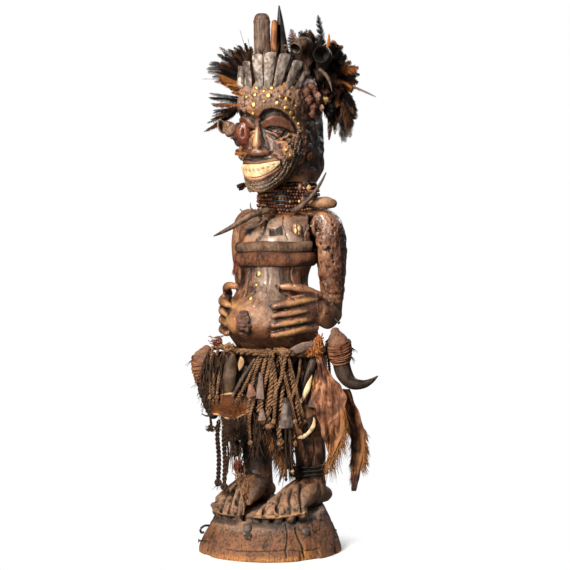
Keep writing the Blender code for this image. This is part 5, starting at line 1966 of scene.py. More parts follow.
OVAL_PLACE = np.array((-31, -44, 853))
OVAL_ACROSS = np.array((0.95, 0.31, 0.0))
OVAL_OUT = np.array((0.31, -0.95, 0.0))


def oval_plate():
    angles = 2.0 * math.pi * np.arange(36) / 36
    points = []
    for scale, out in ((0.1, -1.2), (0.96, -1.2), (1.0, -0.6), (1.0, 0.7), (0.94, 1.4), (0.6, 1.7),
                       (0.25, 1.2), (0.1, 1.0)):
        ring = np.outer(np.cos(angles), OVAL_ACROSS) * 11 * scale
        ring[:, 2] = np.sin(angles) * 12 * scale
        points.append(OVAL_PLACE + ring + OVAL_OUT * out)
    return np.concatenate(points) * MM, skin(len(points), 36)


make_piece("oval_brow_plate", one_shape(oval_plate()), IRON, ["brow_iron_plate"])
nail_spot = frame_on(OVAL_PLACE * MM + OVAL_OUT * 0.001, OVAL_OUT)
make_piece("oval_plate_nail", one_shape(turned(nail_spot, dome_rows(0.0028, 0.0018))), BRASS)
EYELET = np.array(picked(285.5, 47.6, 16)) * MM
eyelet_turns = np.linspace(0, 2 * math.pi, 22)[:, None]
eyelet_round = np.cos(eyelet_turns) * np.array(ACROSS) + np.sin(eyelet_turns) * np.array(UP)
eyelet_ring = EYELET + 0.0042 * eyelet_round
eyelet = Shape()
eyelet.add(*thread(eyelet_ring, 0.0016, 8))
eyelet.add(*thread(np.linspace(EYELET - np.array(UP) * 0.004, EYELET - np.array(UP) * 0.022, 5), 0.0018, 8))
make_piece("crown_eyelet", eyelet, BROWN_HORN)
ORANGE = crusty_finish("orange_charge", "red_resin", (0.28, 0.085, 0.02), (0.62, 0.26, 0.07),
                       size=0.006, height=0.0012)
set_on_wood("orange_ear_plug", 308.5, 156,
            [(6.6, -3), (7.6, 0), (7.2, 2.5), (5.2, 4.2), (1.8, 3.6)], ORANGE, wobble=0.22)
set_on_wood("orange_chip_1", 286, 85, [(6, -2), (6, 0.5), (4.4, 2.6), (1.5, 3.4)], ORANGE, wobble=0.2)
set_on_wood("orange_chip_2", 241, 92, [(5, -2), (5.6, 0.5), (4, 2.2), (1.5, 3.0)], ORANGE, wobble=0.25)
strip_back = [(*picked(274.5, 22, -8), 5.0, 4.0), (*picked(274, 34, -6), 6.0, 4.5),
              (*picked(274, 50, -4), 6.0, 4.5)]
make_piece("orange_wood_strip",
           one_shape(swept(strip_back, side=tuple(ACROSS), around=16, steps=6)), ORANGE_HORN)
DARK_FIBRE_PLACES = [(262, 52), (276, 52), (284, 54), (298, 60), (308, 66), (246, 58), (318, 74)]
fibres = Shape()
for number, (u, v) in enumerate(DARK_FIBRE_PLACES):
    fray_shape(fibres, behind_pixel(u, v + 6, 0.03), (0, 0, 1), 0.026, 16, 0.0009, 200 + number)
make_piece("dark_crown_fibres", fibres, DARK_CORD)
crown_pad = [(0, 45, 860, 46, 62), (0, 46, 876, 44, 60), (2, 47, 888, 34, 46), (2, 48, 896, 20, 28)]
make_piece("crown_pad",
           one_shape(lump(crown_pad, 77, rough=4.0, finer=2.0, spacing=0.014, around=72, steps=12)),
           DARK_RESIN)
# %% [markdown]
# Many rows of small beads are wound around the neck. Each bead is a little barrel of its own on the
# collar's surface, turned a touch at random, because a row of perfect beads reads as a machine part.

# %% The bead collar
def bead_finish():
    bead = Finish("small_beads", "red_beads", roughness=0.32)
    tint = bead.painted("tint")
    dirt = bead.cloud(0.004, detail=3)
    stops = [(0.05, (0.010, 0.006, 0.005)), (0.40, (0.075, 0.020, 0.010)), (0.72, (0.23, 0.075, 0.030)),
             (0.95, (0.60, 0.36, 0.14))]
    colour = tint.node("ShaderNodeValToRGB", {"stops": stops}, {"Fac": tint + (dirt - 0.5) * 0.3})
    return bead.use(colour, 0.22 + 0.4 * dirt)


BEAD = bead_finish()
COLLAR_ROWS = [(0, 64, 614, 55, 53), (0, 64, 626, 58, 58), (0, 64, 646, 58, 58), (0, 64, 662, 56, 57),
               (0, 64, 671, 52, 53)]


def barrel(centre, along, radius, length, around=7):
    wide = unit(np.cross(along, (0.1, 0.3, 1.0)))
    deep = np.cross(along, wide)
    angles = 2.0 * math.pi * np.arange(around) / around
    points = []
    for share, scale in ((-0.5, 0.55), (-0.2, 1.02), (0.2, 1.02), (0.5, 0.55)):
        ring = np.outer(np.cos(angles), wide) + np.outer(np.sin(angles), deep)
        points.append(centre + along * (length * share) + ring * radius * scale)
    return np.concatenate(points), skin(len(points), around)


def bead_collar():
    draw = random.Random(14)
    path = smooth_rows(COLLAR_ROWS, 12)
    shape = Shape()
    tints = []
    rows = 9
    for row in range(rows):
        z = 617.5 + 54.0 * row / (rows - 1)
        half_wide = np.interp(z, path[:, 2], path[:, 3]) - 1.5
        half_deep = np.interp(z, path[:, 2], path[:, 4]) - 1.5
        count = 62 + (row % 3)
        for i in range(count):
            turn = 2.0 * math.pi * (i + 0.5 * (row % 2)) / count
            wave = 1.6 * math.sin(3 * turn + row) + draw.uniform(-0.6, 0.6)
            centre = np.array((half_wide * math.cos(turn), 64 + half_deep * math.sin(turn), z + wave)) * MM
            along = unit(np.array((-half_wide * math.sin(turn), half_deep * math.cos(turn),
                                   draw.uniform(-6, 6))))
            size = draw.uniform(2.2, 3.2) * MM
            points, faces = barrel(centre, along, size, draw.uniform(4.2, 5.4) * MM)
            shape.add(points, faces)
            lucky = draw.random()
            tint = 0.95 if lucky > 0.95 else draw.uniform(0.35,
                0.80) if lucky > 0.35 else draw.uniform(0.0, 0.35)
            tints.append(np.full(len(points), tint))
    core = [(x, y, z, a - 4.5, b - 4.5) for x, y, z, a, b in COLLAR_ROWS]
    points, faces = swept(core, around=64, steps=6, domes=(), level=True)
    shape.add(points, faces)
    tints.append(np.zeros(len(points)))
    make_piece("wound_bead_collar", shape, BEAD, ["bead_collar"], paints={"tint": np.concatenate(tints)})
    print("collar", len(shape.faces), "faces")


bead_collar()

# %% [markdown]
# Two small horns, a gourd and some roots are tied at the foot of the collar.

# %% Horns and gourd at the neck
COLLAR_LEFT = [(46, 8, 622, 5), (56, 7, 626, 5), (66, 6, 632, 4.6), (78, 9, 643, 4.0),
               (88, 14, 656, 3.4), (97, 22, 675, 2.4),
               (102, 28, 690, 1.2)]
COLLAR_RIGHT = [(4, -16, 622, 6), (-4, -30, 618, 6), (-12, -42, 614, 6), (-26, -52, 604, 5.4),
                (-44, -60, 592, 4.4),
                (-62, -67, 582, 3.0), (-76, -70, 576, 1.2)]
make_piece("neck_horn_left",
           one_shape(ringed(COLLAR_LEFT, 14, 0.05, around=20, steps=8, until=0.7)), BROWN_HORN,
           ["collar_horn_left"])
make_piece("neck_horn_right",
           one_shape(ringed(COLLAR_RIGHT, 14, 0.05, around=20, steps=8, until=0.7)), BROWN_HORN,
           ["collar_horn_right"])
GOURD_ROWS = [(58, 24, 635, 2.6, 3), (66, 26, 636, 4.4, 4.6), (74, 29, 636, 7.4, 7.6),
              (84, 34, 636, 10.2, 10.6),
              (97, 40, 636, 11.4, 11.6), (106, 45, 635, 8.5, 8.8)]
make_piece("neck_gourd", one_shape(swept(GOURD_ROWS, side=UPRIGHT, around=32, steps=8)),
           GOURD, ["collar_gourd"])
twigs = Shape()
twig_lines = [
    [picked(266, 219, 18), picked(257, 226, 23), picked(248, 228.5, 25), picked(241, 227, 22)],
    [picked(261, 216, 18), picked(254, 214, 16), picked(248, 211.5, 10)],
    [picked(256, 212, 10), picked(251, 208, 6), picked(250.5, 203, 2)],
    [picked(248, 213, 12), picked(243, 212, 6), picked(240, 209, 2)],
    [(2, -14, 622), (8, -2, 622), (12, 12, 624)],
    [(46, 10, 622), (44, 20, 620), (42, 34, 620)],
    [(60, 25, 635), (52, 29, 634), (43, 35, 632)],
]
for line in twig_lines:
    fine = smooth_line(np.array(line) * MM, 0.0015)
    twigs.add(*thread(fine, np.linspace(0.0021, 0.0008, len(fine)), 8))
make_piece("neck_twigs", twigs, BROWN_HORN)
red_fluff = Shape()
for number, (u, v) in enumerate(((252, 212), (248, 214), (256, 209), (262, 214), (300, 212), (292, 214))):
    fray_shape(red_fluff, behind_pixel(u, v, 0.012 if u < 280 else 0.004), (0, -0.3, -0.3), 0.012, 14,
               0.0006, 300 + number)
make_piece("neck_fluff", red_fluff, RED_CORD)
for number, (u, v,
             size) in enumerate(((305, 184, 5.5), (309, 188, 4.6), (300, 187, 4.2),
                                 (307, 194, 5.0), (312, 196, 4.0),
                                       (303, 199, 4.2)), start=1):
    place = behind_pixel(u, v, 0.026)
    make_piece(f"collar_nut_{number}", one_shape(pebble(place, size, 60 + number)),
               (CLAY, DARK_RESIN, NUT)[number % 3])

# %% [markdown]
# The band around the chest is a folded strip of hide in two tiers, cinched tight. It is a soft sheet
# pressed on the body, so it is a swept ring with a rolled edge and fine creases, cut to its real length.

# %% The chest band
def band_finish(name, dark, light, weave):
    band = Finish(name, "woven_band", roughness=0.6, specular=0.4)
    patches = band.cloud(0.02, detail=4, rough=0.6)
    creases = band.cloud(0.0016, detail=3, stretch=(1.6, 1.6, 0.12))
    nap = band.cells(weave)
    colour = (patches * 0.45 + creases * 0.55).between(0.41, 0.59).blend(dark, light)
    # Painted shade where a piece paints it, along a band's edges
    colour = (band.painted("hollow") * 0.85).blend(colour, (0.012, 0.006, 0.004))
    band.bump(creases, 0.0034)
    band.bump(nap, 0.0005)
    return band.use(colour, 0.45 + 0.4 * patches)


LOWER_BAND = band_finish("red_hide_band", (0.028, 0.008, 0.004), (0.25, 0.090, 0.040), 0.0016)
UPPER_BAND = band_finish("grey_woven_band", (0.055, 0.024, 0.014), (0.26, 0.15, 0.095), 0.0022)


# A ring of hide on the body: rows of (height, bulge), closed by its inner side
def chest_ring(rows, start, stop, steps, body, thickness, droop):
    turns = np.linspace(math.radians(start), math.radians(stop), steps)
    closed = stop - start >= 360
    if closed:
        turns = turns[:-1]
    profile = smooth_rows([(0, 0, 0, z, bulge) for z, bulge in rows], 4)[:, 3:]
    points = []
    for turn in turns:
        out = np.array((math.cos(turn), math.sin(turn), 0.0))
        fold = 0.9 * math.sin(23 * turn + 2 * math.sin(5 * turn)) + 0.9 * math.sin(61 * turn + 1)
        ring = []
        for z, bulge in profile:
            centre, half_wide, half_deep = body(z)
            grow = bulge + 0.25 * fold * (bulge > 0.5)
            x = (half_wide + grow) * out[0]
            y = centre + (half_deep + grow) * out[1]
            ring.append((x, y, z + droop(turn)))
        for z, bulge in profile[::-1]:
            centre, half_wide, half_deep = body(z)
            ring.append(((half_wide - thickness) * out[0],
                         centre + (half_deep - thickness) * out[1], z + droop(turn)))
        points.append(ring)
    points = np.array(points)
    around = points.shape[1]
    return points.reshape(-1, 3) * MM, skin(len(points), around, closed=closed), profile


def chest_at(z):
    rows = np.array(TRUNK, float)
    return (np.interp(z, rows[:, 2], rows[:, 1]), np.interp(z, rows[:, 2], rows[:, 3]),
            np.interp(z, rows[:, 2], rows[:, 4]))


def band_droop(turn):
    return 0.9 * math.cos(turn) + 0.8 * math.sin(4 * turn + 1)


LOWER_ROWS = [(520, 0.2), (521, 4.6), (527, 8.0), (536, 8.6), (543, 6.6), (546, 3.0)]
UPPER_ROWS = [(546.5, 2.0), (548, 5.0), (555, 7.2), (562, 5.6), (566, 0.6)]
lower_points, lower_faces, lower_profile = chest_ring(LOWER_ROWS, 0, 360, 181, chest_at, 0.6, band_droop)
upper_points, upper_faces, upper_profile = chest_ring(UPPER_ROWS, 185, 355, 121, chest_at, 0.4, band_droop)


# Painted shade along the top and bottom of a band, where it meets the body and the other tier
def band_edge_shade(points, low, high):
    z = points[:, 2] * 1000
    return np.clip(1.0 - ease(z, low, low + 3.5) + ease(z, high - 2.0, high), 0, 1)


lower_band = make_piece("lower_band", one_shape((lower_points, lower_faces)), LOWER_BAND,
                        ["chest_band_lower"],
                        paints={"hollow": band_edge_shade(lower_points, 520, 548)})
upper_band = make_piece("upper_band", one_shape((upper_points, upper_faces)), UPPER_BAND,
                        ["chest_band_upper"],
                        paints={"hollow": band_edge_shade(upper_points, 546, 568)})


def band_length(start, stop):
    turns = np.radians(np.linspace(start, stop, 400))
    centre, half_wide, half_deep = chest_at(540)
    line = np.stack([(half_wide + 5) * np.cos(turns), (half_deep + 5) * np.sin(turns)], axis=1)
    return float(np.linalg.norm(np.diff(line, axis=0), axis=1).sum()) * MM


print("band lengths", round(band_length(0, 360), 3), round(band_length(185, 355), 3))


# %% [markdown]
# A money cowrie is stuck to the left breast: an egg of shell whose slit mouth is toothed. The dark
# charge in the belly and the fringe under the band are soft, rough stuff, so they are lumps and threads.

# %% Cowrie, navel charge, fringe
COWRIE = crusty_finish("worn_cowrie", "cowrie_shell", (0.25, 0.12, 0.045), (0.72, 0.50, 0.27),
                       size=0.010, height=0.0004,
                       roughness=0.38)


def cowrie():
    place, normal = on_wood(297, 229.7)
    spot = np.array(place) + np.array(normal) * 0.0005
    out = unit(np.array(normal, float))
    up = unit(np.array((0.0, 0.0, 1.0)) - out * out[2])
    wide = np.cross(up, out)
    rings, around = 22, 36
    points, paint = [], []
    for i in range(rings):
        a = math.pi * (i + 0.5) / rings
        height = math.cos(a) * 0.0118
        reach = math.sin(a) ** 0.8
        for k in range(around):
            b = 2 * math.pi * k / around
            x = math.cos(b) * reach * (0.0075 + 0.0010 * math.cos(a))
            z = math.sin(b) * reach * 0.0050
            slit = math.exp(-(x / 0.0011) ** 2) * (z > 0) * min(1.0, 1.6 * reach)
            ridges = 0.5 + 0.5 * math.sin(height * 4200)
            teeth = 0.25 * math.exp(-(abs(x) - 0.0022) ** 2 / 1e-6) * (z > 0) * ridges
            depth = z - 0.0026 * slit + 0.0012 * teeth
            points.append(spot + wide * x + up * height + out * depth)
            # The slit also gets painted shade
            paint.append(min(1.0, 1.2 * slit))
    return one_shape((np.array(points), skin(rings, around))), np.array(paint)


cowrie_shape, cowrie_slit_shade = cowrie()
make_piece("chest_cowrie_shell", cowrie_shape, COWRIE, ["chest_cowrie"], paints={"hollow": cowrie_slit_shade})
cowrie_place, cowrie_normal = on_wood(297, 229.7)
bed = frame_on(cowrie_place, cowrie_normal)
make_piece("cowrie_resin_bed",
           one_shape(turned(bed,
                            [(0.011, -0.002), (0.0115, 0.0), (0.0095, 0.0018), (0.006, 0.0024)], 24, 0.10)),
           RESIN)
NAVEL_ROWS = [(0, -83, 402, 9, 5), (0, -87, 412, 13, 7), (0, -88, 422, 13, 8),
              (0, -86, 432, 10, 7), (0, -84, 438, 6, 5)]
navel_points, navel_faces = lump(NAVEL_ROWS, 31, rough=4.2, finer=2.2, spacing=0.008)
NAVEL = crusty_finish("navel_clay", "red_resin", (0.012, 0.006, 0.004), (0.17, 0.075, 0.045),
                      size=0.007, cracked=False)
make_piece("belly_charge", one_shape((navel_points, navel_faces)), NAVEL, ["navel_charge"])
fringe = Shape()
for number, (u, v) in enumerate(((236, 258), (235, 264), (236.5, 270), (238, 262), (234.5, 268))):
    fray_shape(fringe, behind_pixel(u, v, 0.035), (-0.2, 0, -1), 0.015, 16, 0.0008, 400 + number)
for number, (u, v) in enumerate(((312, 252), (313, 258), (311, 262))):
    place, normal = on_wood(u, v)
    fray_shape(fringe, place + normal * 0.001, (0.1, -0.2, -1), 0.010, 10, 0.0007, 410 + number)
make_piece("band_fringe", fringe, RED_CORD)
cord_end = smooth_line(np.array([picked(238, 268, 34), picked(237.5, 276, 36), picked(238, 284, 38)]) * MM,
                       0.002)
make_piece("band_dark_thread", one_shape(thread(cord_end, 0.0012, 8)), DARK_CORD)


# %% Nails in the arms and the base
def nail(place, way, length, thick, head):
    line = np.linspace(np.array(place), np.array(place) + unit(np.array(way, float)) * length, 8)
    shape = Shape()
    shape.add(*thread(line, thick * np.array([0.8, 1, 1, 1, 1, 1, 1, 0.9]), 8))
    out = unit(np.array(way, float))
    spot = frame_on(line[-1] - out * 0.0004, out)
    shape.add(*turned(spot,
                      [(0.6 * head, 0), (head, 0.0003), (head, 0.0011), (0.55 * head, 0.0020)], 12, 0.08))
    return shape


elbow, elbow_normal = on_wood(334.5, 318)
make_piece("elbow_nail",
           nail(elbow - elbow_normal * 0.003, elbow_normal + Vector((0, 0, -0.6)), 0.015, 0.0013, 0.0032),
           DARK_RESIN)
# %% [markdown]
# Everything on the hips hangs from one thick belt of twisted fibre. The belt is three plies around
# the waist, a closed ring on the body and not a free cord.

# %% The belt
BELT_CENTRE = np.array((0.0, 36.0, 364.0))
BELT_WIDE, BELT_DEEP, BELT_THICK = 91.0, 76.0, 13.0


def twisted_belt():
    turns = np.linspace(0, 2 * math.pi, 240, endpoint=False)
    line = BELT_CENTRE + np.stack([BELT_WIDE * np.cos(turns), BELT_DEEP * np.sin(turns),
                                   0.6 * np.sin(3 * turns)], axis=1)
    out = unit(np.stack([BELT_DEEP * np.cos(turns), BELT_WIDE * np.sin(turns), 0 * turns], axis=1))
    shape = Shape()
    plies, twists = 3, 11
    angles = 2 * math.pi * np.arange(9) / 9
    for k in range(plies):
        phase = twists * turns + 2 * math.pi * k / plies
        middle = line + (np.cos(phase)[:, None] * out + np.sin(phase)[:,
            None] * np.array((0, 0, 1))) * 0.25 * BELT_THICK
        ring = np.cos(angles)[None, :, None] * out[:, None] + np.sin(angles)[None, :,
            None] * np.array((0, 0, 1))
        ridges = 0.26 * BELT_THICK * (1.0 + 0.07 * np.sin(4 * angles[None, :] + 40 * turns[:, None]))[:, :,
            None]
        shape.add((middle[:, None] + ring * ridges).reshape(-1, 3) * MM, skin(len(turns), 9, closed=True))
    make_piece("twisted_belt", shape, CORD, ["waist_belt"])


twisted_belt()

# %% [markdown]
# Each hip horn is plugged with charge, and its mouth is bound with cord and strips of hide. The
# windings lie on each other, so they are many turns of a helix over a dark core.


# %% Bindings
def bound_bundle(rows, core_finish, wrap_finish, name, node, turns, thick, top_share, seed, tilt=0.25):
    rows = np.array([row if len(row) > 4 else (*row, row[3]) for row in rows], float)
    core = [tuple(row[:3]) + (row[3] - 1.6, row[4] - 1.6) for row in rows]
    make_piece(name + "_core",
               one_shape(lump(core, seed, rough=1.6, finer=0.8, spacing=0.010, around=36, steps=10)),
               core_finish,
               [node])
    path = smooth_rows(rows, 16)
    along = unit(np.gradient(path[:, :3], axis=0))
    draw = random.Random(seed)
    for layer, (share, wide, colour) in enumerate(wrap_finish):
        shape = Shape()
        steps = 26 * turns
        places = np.linspace(top_share, 0.98, steps)
        spot = places * (len(path) - 1)
        centre = np.stack([np.interp(spot, np.arange(len(path)), path[:, k]) for k in range(3)], axis=1)
        sizes = np.stack([np.interp(spot, np.arange(len(path)), path[:, k]) for k in (3, 4)], axis=1)
        heading = np.stack([np.interp(spot, np.arange(len(path)), along[:, k]) for k in range(3)], axis=1)
        side = unit(np.cross(heading, (0.1, 1.0, 0.2)))
        deep = np.cross(heading, side)
        angle = 2 * math.pi * turns * np.linspace(0, 1, steps) + 2.1 * layer
        wander = 1.2 * np.sin(angle * 0.37 + layer) + 0.6 * np.sin(angle * 0.61)
        lean = heading * ((tilt * sizes[:, 0] * np.sin(angle + 0.8 * layer) + wander) * share)[:, None]
        swell = (1.0 + 0.02 * np.sin(1.7 * angle))[:, None]
        line = centre + (side * (np.cos(angle) * sizes[:, 0])[:,
            None] + deep * (np.sin(angle) * sizes[:, 1])[:, None]) * swell + lean
        shape.add(*thread(line * MM, thick * wide * MM * (1 + 0.10 * np.sin(np.arange(steps) * 0.9)), 7))
        make_piece(f"{name}_wrap_{layer + 1}", shape, colour)
    ends = Shape()
    for k in range(5):
        row = path[int((0.35 + 0.13 * k) * (len(path) - 1))]
        angle = draw.uniform(0, 2 * math.pi)
        start = row[:3] + np.array((math.cos(angle) * row[3], math.sin(angle) * row[4], 0))
        fray_shape(ends, start * MM, (math.cos(angle), math.sin(angle), -1.2), 0.016, 5,
                   0.0007, seed + 10 + k)
    make_piece(name + "_threads", ends, RED_CORD)


WRAP_RED = fibre_finish("red_brown_wrap", "bound_cord", (0.045, 0.014, 0.008),
                        (0.22, 0.075, 0.038), fleck=0.0013)
WRAP_TAN = fibre_finish("tan_wrap", "bound_cord", (0.085, 0.032, 0.014), (0.36, 0.165, 0.080), fleck=0.0015)
WRAP_CORE = crusty_finish("bound_hide", "bound_cord", (0.045, 0.018, 0.010), (0.26, 0.12, 0.062),
                          size=0.012, height=0.0016,
                          roughness=0.7, cracked=False)
RIGHT_BINDING = [(-112, -42, 366, 10, 10), (-115, -45, 356, 18, 17), (-116, -46, 346, 22, 21),
                 (-115, -47, 330, 21, 20),
                 (-112, -48, 308, 16, 16)]
LEFT_BINDING = [(118, 34, 402, 10, 10), (120, 36, 392, 18, 18), (122, 38, 380, 22, 22),
                (124, 40, 366, 22, 22),
                (126, 42, 350, 17, 17)]
bound_bundle(RIGHT_BINDING, WRAP_CORE, [(1.0, 1.0, WRAP_TAN), (1.4, 0.8, WRAP_RED)], "right_bundle",
             "right_hip_binding", 9, 1.9,
             0.42, 71, tilt=0.30)
bound_bundle(LEFT_BINDING, WRAP_CORE, [(1.0, 1.0, WRAP_RED), (1.4, 0.8, WRAP_TAN)], "left_bundle",
             "left_hip_binding", 8, 1.9,
             0.45, 83, tilt=0.22)

# %% [markdown]
# The right horn is short and deeply ribbed, the left one is smooth and sweeps out to a point.


# %% Hip horns
RIGHT_HORN = [(-112, -48, 308, 15, 14), (-109, -48, 292, 14.5, 14), (-105, -48, 280, 13.5, 13),
              (-98, -47, 258, 11.5, 11),
              (-94, -46, 247, 9, 8.5)]
LEFT_HORN = [(126, 42, 350, 15.5, 15.5), (128, 43, 338, 15.5, 15.5), (132, 44, 326, 15, 15),
             (140, 46, 314, 13, 13),
             (151, 49, 308, 10.6, 10.6), (166, 56, 308, 7.6, 7.6), (178, 63, 314, 4.6, 4.6),
             (186.5, 69, 322, 1.4, 1.4)]
make_piece("ribbed_hip_horn", one_shape(ringed(RIGHT_HORN, 10, 0.16, around=32, steps=12)),
           GREY_HORN, ["right_hip_horn"])
make_piece("curved_hip_horn",
           one_shape(ringed(LEFT_HORN, 22, 0.018, side=(0, 1, 0), around=32, steps=10, until=0.6)), GREY_HORN,
           ["left_hip_horn"])
spike = smooth_line(np.array([picked(210.5, 415.4, 92), picked(206, 415.8, 94),
                              picked(201.6, 413.6, 95)]) * MM, 0.0015)
make_piece("horn_spike", one_shape(thread(spike, np.linspace(0.0021, 0.0007, len(spike)), 8)), GREY_HORN)
tie = smooth_line(np.array([(-76, -8, 366), (-84, -18, 368), (-94, -28, 371), (-104, -38, 368)]) * MM, 0.0015)
tie_shape = Shape()
twist_plies(tie_shape, tie, 0.011, 3, 0.024)
make_piece("right_hip_twist", tie_shape, CORD, ["right_hip_tie"])

# %% [markdown]
# Knots and tangles of fibre fill the places where the hanging things are tied in. A tangle is a
# loose scribble of thread inside an egg, which reads as fibre from every side.


# %% Tangles and knots
def tangle(name, centre, size, count, thick, finish, seed):
    draw = random.Random(seed)
    shape = Shape()
    middle = np.array(centre)
    size = np.array(size) * MM
    for _ in range(count):
        walk = [np.array([draw.uniform(-1, 1) for _ in range(3)])]
        for _ in range(5):
            step = walk[-1] + np.array([draw.uniform(-0.9, 0.9) for _ in range(3)])
            walk.append(step / max(1.0, np.linalg.norm(step)))
        walk[0] = walk[0] * draw.uniform(0.8, 1.5)
        walk[-1] = walk[-1] * draw.uniform(0.9, 1.7)
        line = smooth_rows([tuple(middle + spot * size) for spot in walk], 4)
        shape.add(*thread(line, thick * MM * draw.uniform(0.7, 1.1), 4))
    make_piece(name, shape, finish)


tangle("right_hip_tangle", behind_pixel(216.5, 341, 0.070), (12, 7, 8), 26, 0.75, RED_CORD, 501)
tangle("belt_knot_right", behind_pixel(229, 348, 0.078), (9, 8, 8), 26, 1.3, CORD, 502)
tangle("belt_knot_front", behind_pixel(266, 353, 0.066), (17, 6, 6), 34, 1.3, CORD, 503)
tangle("belt_knot_middle", behind_pixel(282, 352, 0.066), (20, 6, 6), 40, 1.4, CORD, 504)
ORANGE_CORD = fibre_finish("orange_fibre", "bound_cord", (0.14, 0.035, 0.012), (0.50, 0.19, 0.06))
tangle("belt_knot_left", behind_pixel(318, 344, 0.055), (8, 8, 14), 26, 1.6, ORANGE_CORD, 505)
tangle("belt_knot_left_low", behind_pixel(314, 352, 0.052), (15, 7, 6), 26, 1.6, ORANGE_CORD, 506)
tangle("belt_knot_left_inner", behind_pixel(309, 352, 0.058), (9, 7, 8), 26, 1.3, ORANGE_CORD, 513)
tangle("leg_fibres_1", behind_pixel(231, 430, 0.082), (15, 10, 20), 70, 0.55, DARK_CORD, 507)
tangle("leg_fibres_2", behind_pixel(236, 447, 0.074), (10, 9, 16), 30, 0.9, DARK_CORD, 508)
tangle("leg_fibres_3", behind_pixel(240, 473, 0.070), (9, 8, 22), 34, 0.8, CORD, 509)
tangle("leg_fibres_4", behind_pixel(245, 490, 0.070), (7, 7, 18), 18, 0.8, WRAP_TAN, 510)
tangle("string_knots", behind_pixel(212, 428.5, 0.088), (7, 7, 5), 18, 1.1, DARK_CORD, 511)
tangle("red_knot", behind_pixel(237, 466, 0.078), (7, 5, 10), 16, 0.9, RED_CORD, 512)
string = smooth_line(np.array([picked(209, 415, 92), picked(211, 420, 92), picked(212, 427, 88)]) * MM,
                     0.0015)
make_piece("hip_string", one_shape(thread(string, 0.0016, 8)), DARK_CORD)
# Dark fibre behind the ropes, which also stands in for the shade in the gaps between them
fibre_and_shade_fill = Shape()
FILL_PLACES = ((26, 238, 296, 372, 420, 0.034), (44, 203, 234, 348, 386, 0.004),
               (22, 232, 262, 404, 446, 0.050),
               (20, 296, 322, 350, 384, 0.030))
for round_number, (count, left_u, right_u, top_v, low_v, depth) in enumerate(FILL_PLACES):
    for number in range(count):
        seed = 700 + 100 * round_number + number
        draw = random.Random(seed)
        u, v = draw.uniform(left_u, right_u), draw.uniform(top_v, low_v)
        fray_shape(fibre_and_shade_fill, behind_pixel(u, v, depth), (0, -0.1, -1), 0.05, 9, 0.0011, seed + 30)
make_piece("dark_fibre_shade_fill", fibre_and_shade_fill, DARK_CORD)

# %% [markdown]
# Pouches, plates and horns hang in front of the ropes: a leather lozenge, a scooped cup of old
# gourd-like hide, an iron plate like a small bell, tags of hide and slivers of horn and bone.


# %% Leather finishes
def leather_finish(name, slot, dark, light, roughness=0.5, gloss=0.35):
    hide = Finish(name, slot, roughness=roughness, specular=gloss)
    patches = hide.cloud(0.018, detail=5, rough=0.62)
    grain = hide.cells(0.0022, feature='DISTANCE_TO_EDGE')
    creases = hide.cloud(0.004, detail=4, rough=0.65, twist=1.0)
    colour = (patches * 0.6 + creases * 0.4).between(0.33, 0.67).blend(dark, light)
    colour = (hide.painted("hollow") * 0.9).blend(colour, (0.010, 0.006, 0.004))
    hide.bump(creases, 0.0012)
    hide.bump(grain, 0.0003)
    return hide.use(colour, 0.35 + 0.4 * patches)


OLD_LEATHER = leather_finish("olive_leather", "old_leather", (0.030, 0.016, 0.009),
                             (0.15, 0.085, 0.045), gloss=0.5)
AMBER = leather_finish("amber_hide", "old_leather", (0.022, 0.005, 0.001), (0.15, 0.042, 0.004), gloss=0.2)
PALE_EDGE = leather_finish("pale_edge", "old_leather", (0.24, 0.12, 0.045), (0.60, 0.40, 0.21))
TAG_RED = leather_finish("red_tag_hide", "old_leather", (0.10, 0.040, 0.026), (0.32, 0.15, 0.10))
TAG_GREY = leather_finish("grey_tag_hide", "old_leather", (0.09, 0.055, 0.045), (0.30, 0.20, 0.17))
OVAL_ROWS = [(-45, -54, 358, 5, 4), (-46, -56, 350, 8.5, 5.4), (-47, -57, 338, 10.5, 6.2),
             (-49, -58, 318, 11, 6.2),
             (-51, -57, 302, 9.6, 5.4), (-53, -56, 286, 5, 3.4)]
make_piece("leather_lozenge", one_shape(lump(OVAL_ROWS, 91, side=tuple(ACROSS), rough=0.6, finer=0.3)),
           OLD_LEATHER, ["leather_oval"])
leaf = [(*picked(241, 357, 84), 1.6, 1.2), (*picked(241.5, 361, 86), 5.0, 1.5),
        (*picked(240.5, 366, 86), 4.4, 1.5),
        (*picked(239.5, 370, 85), 1.2, 1.0)]
make_piece("tan_leaf", one_shape(swept(leaf, side=tuple(ACROSS), around=20, steps=8)), PALE_EDGE)


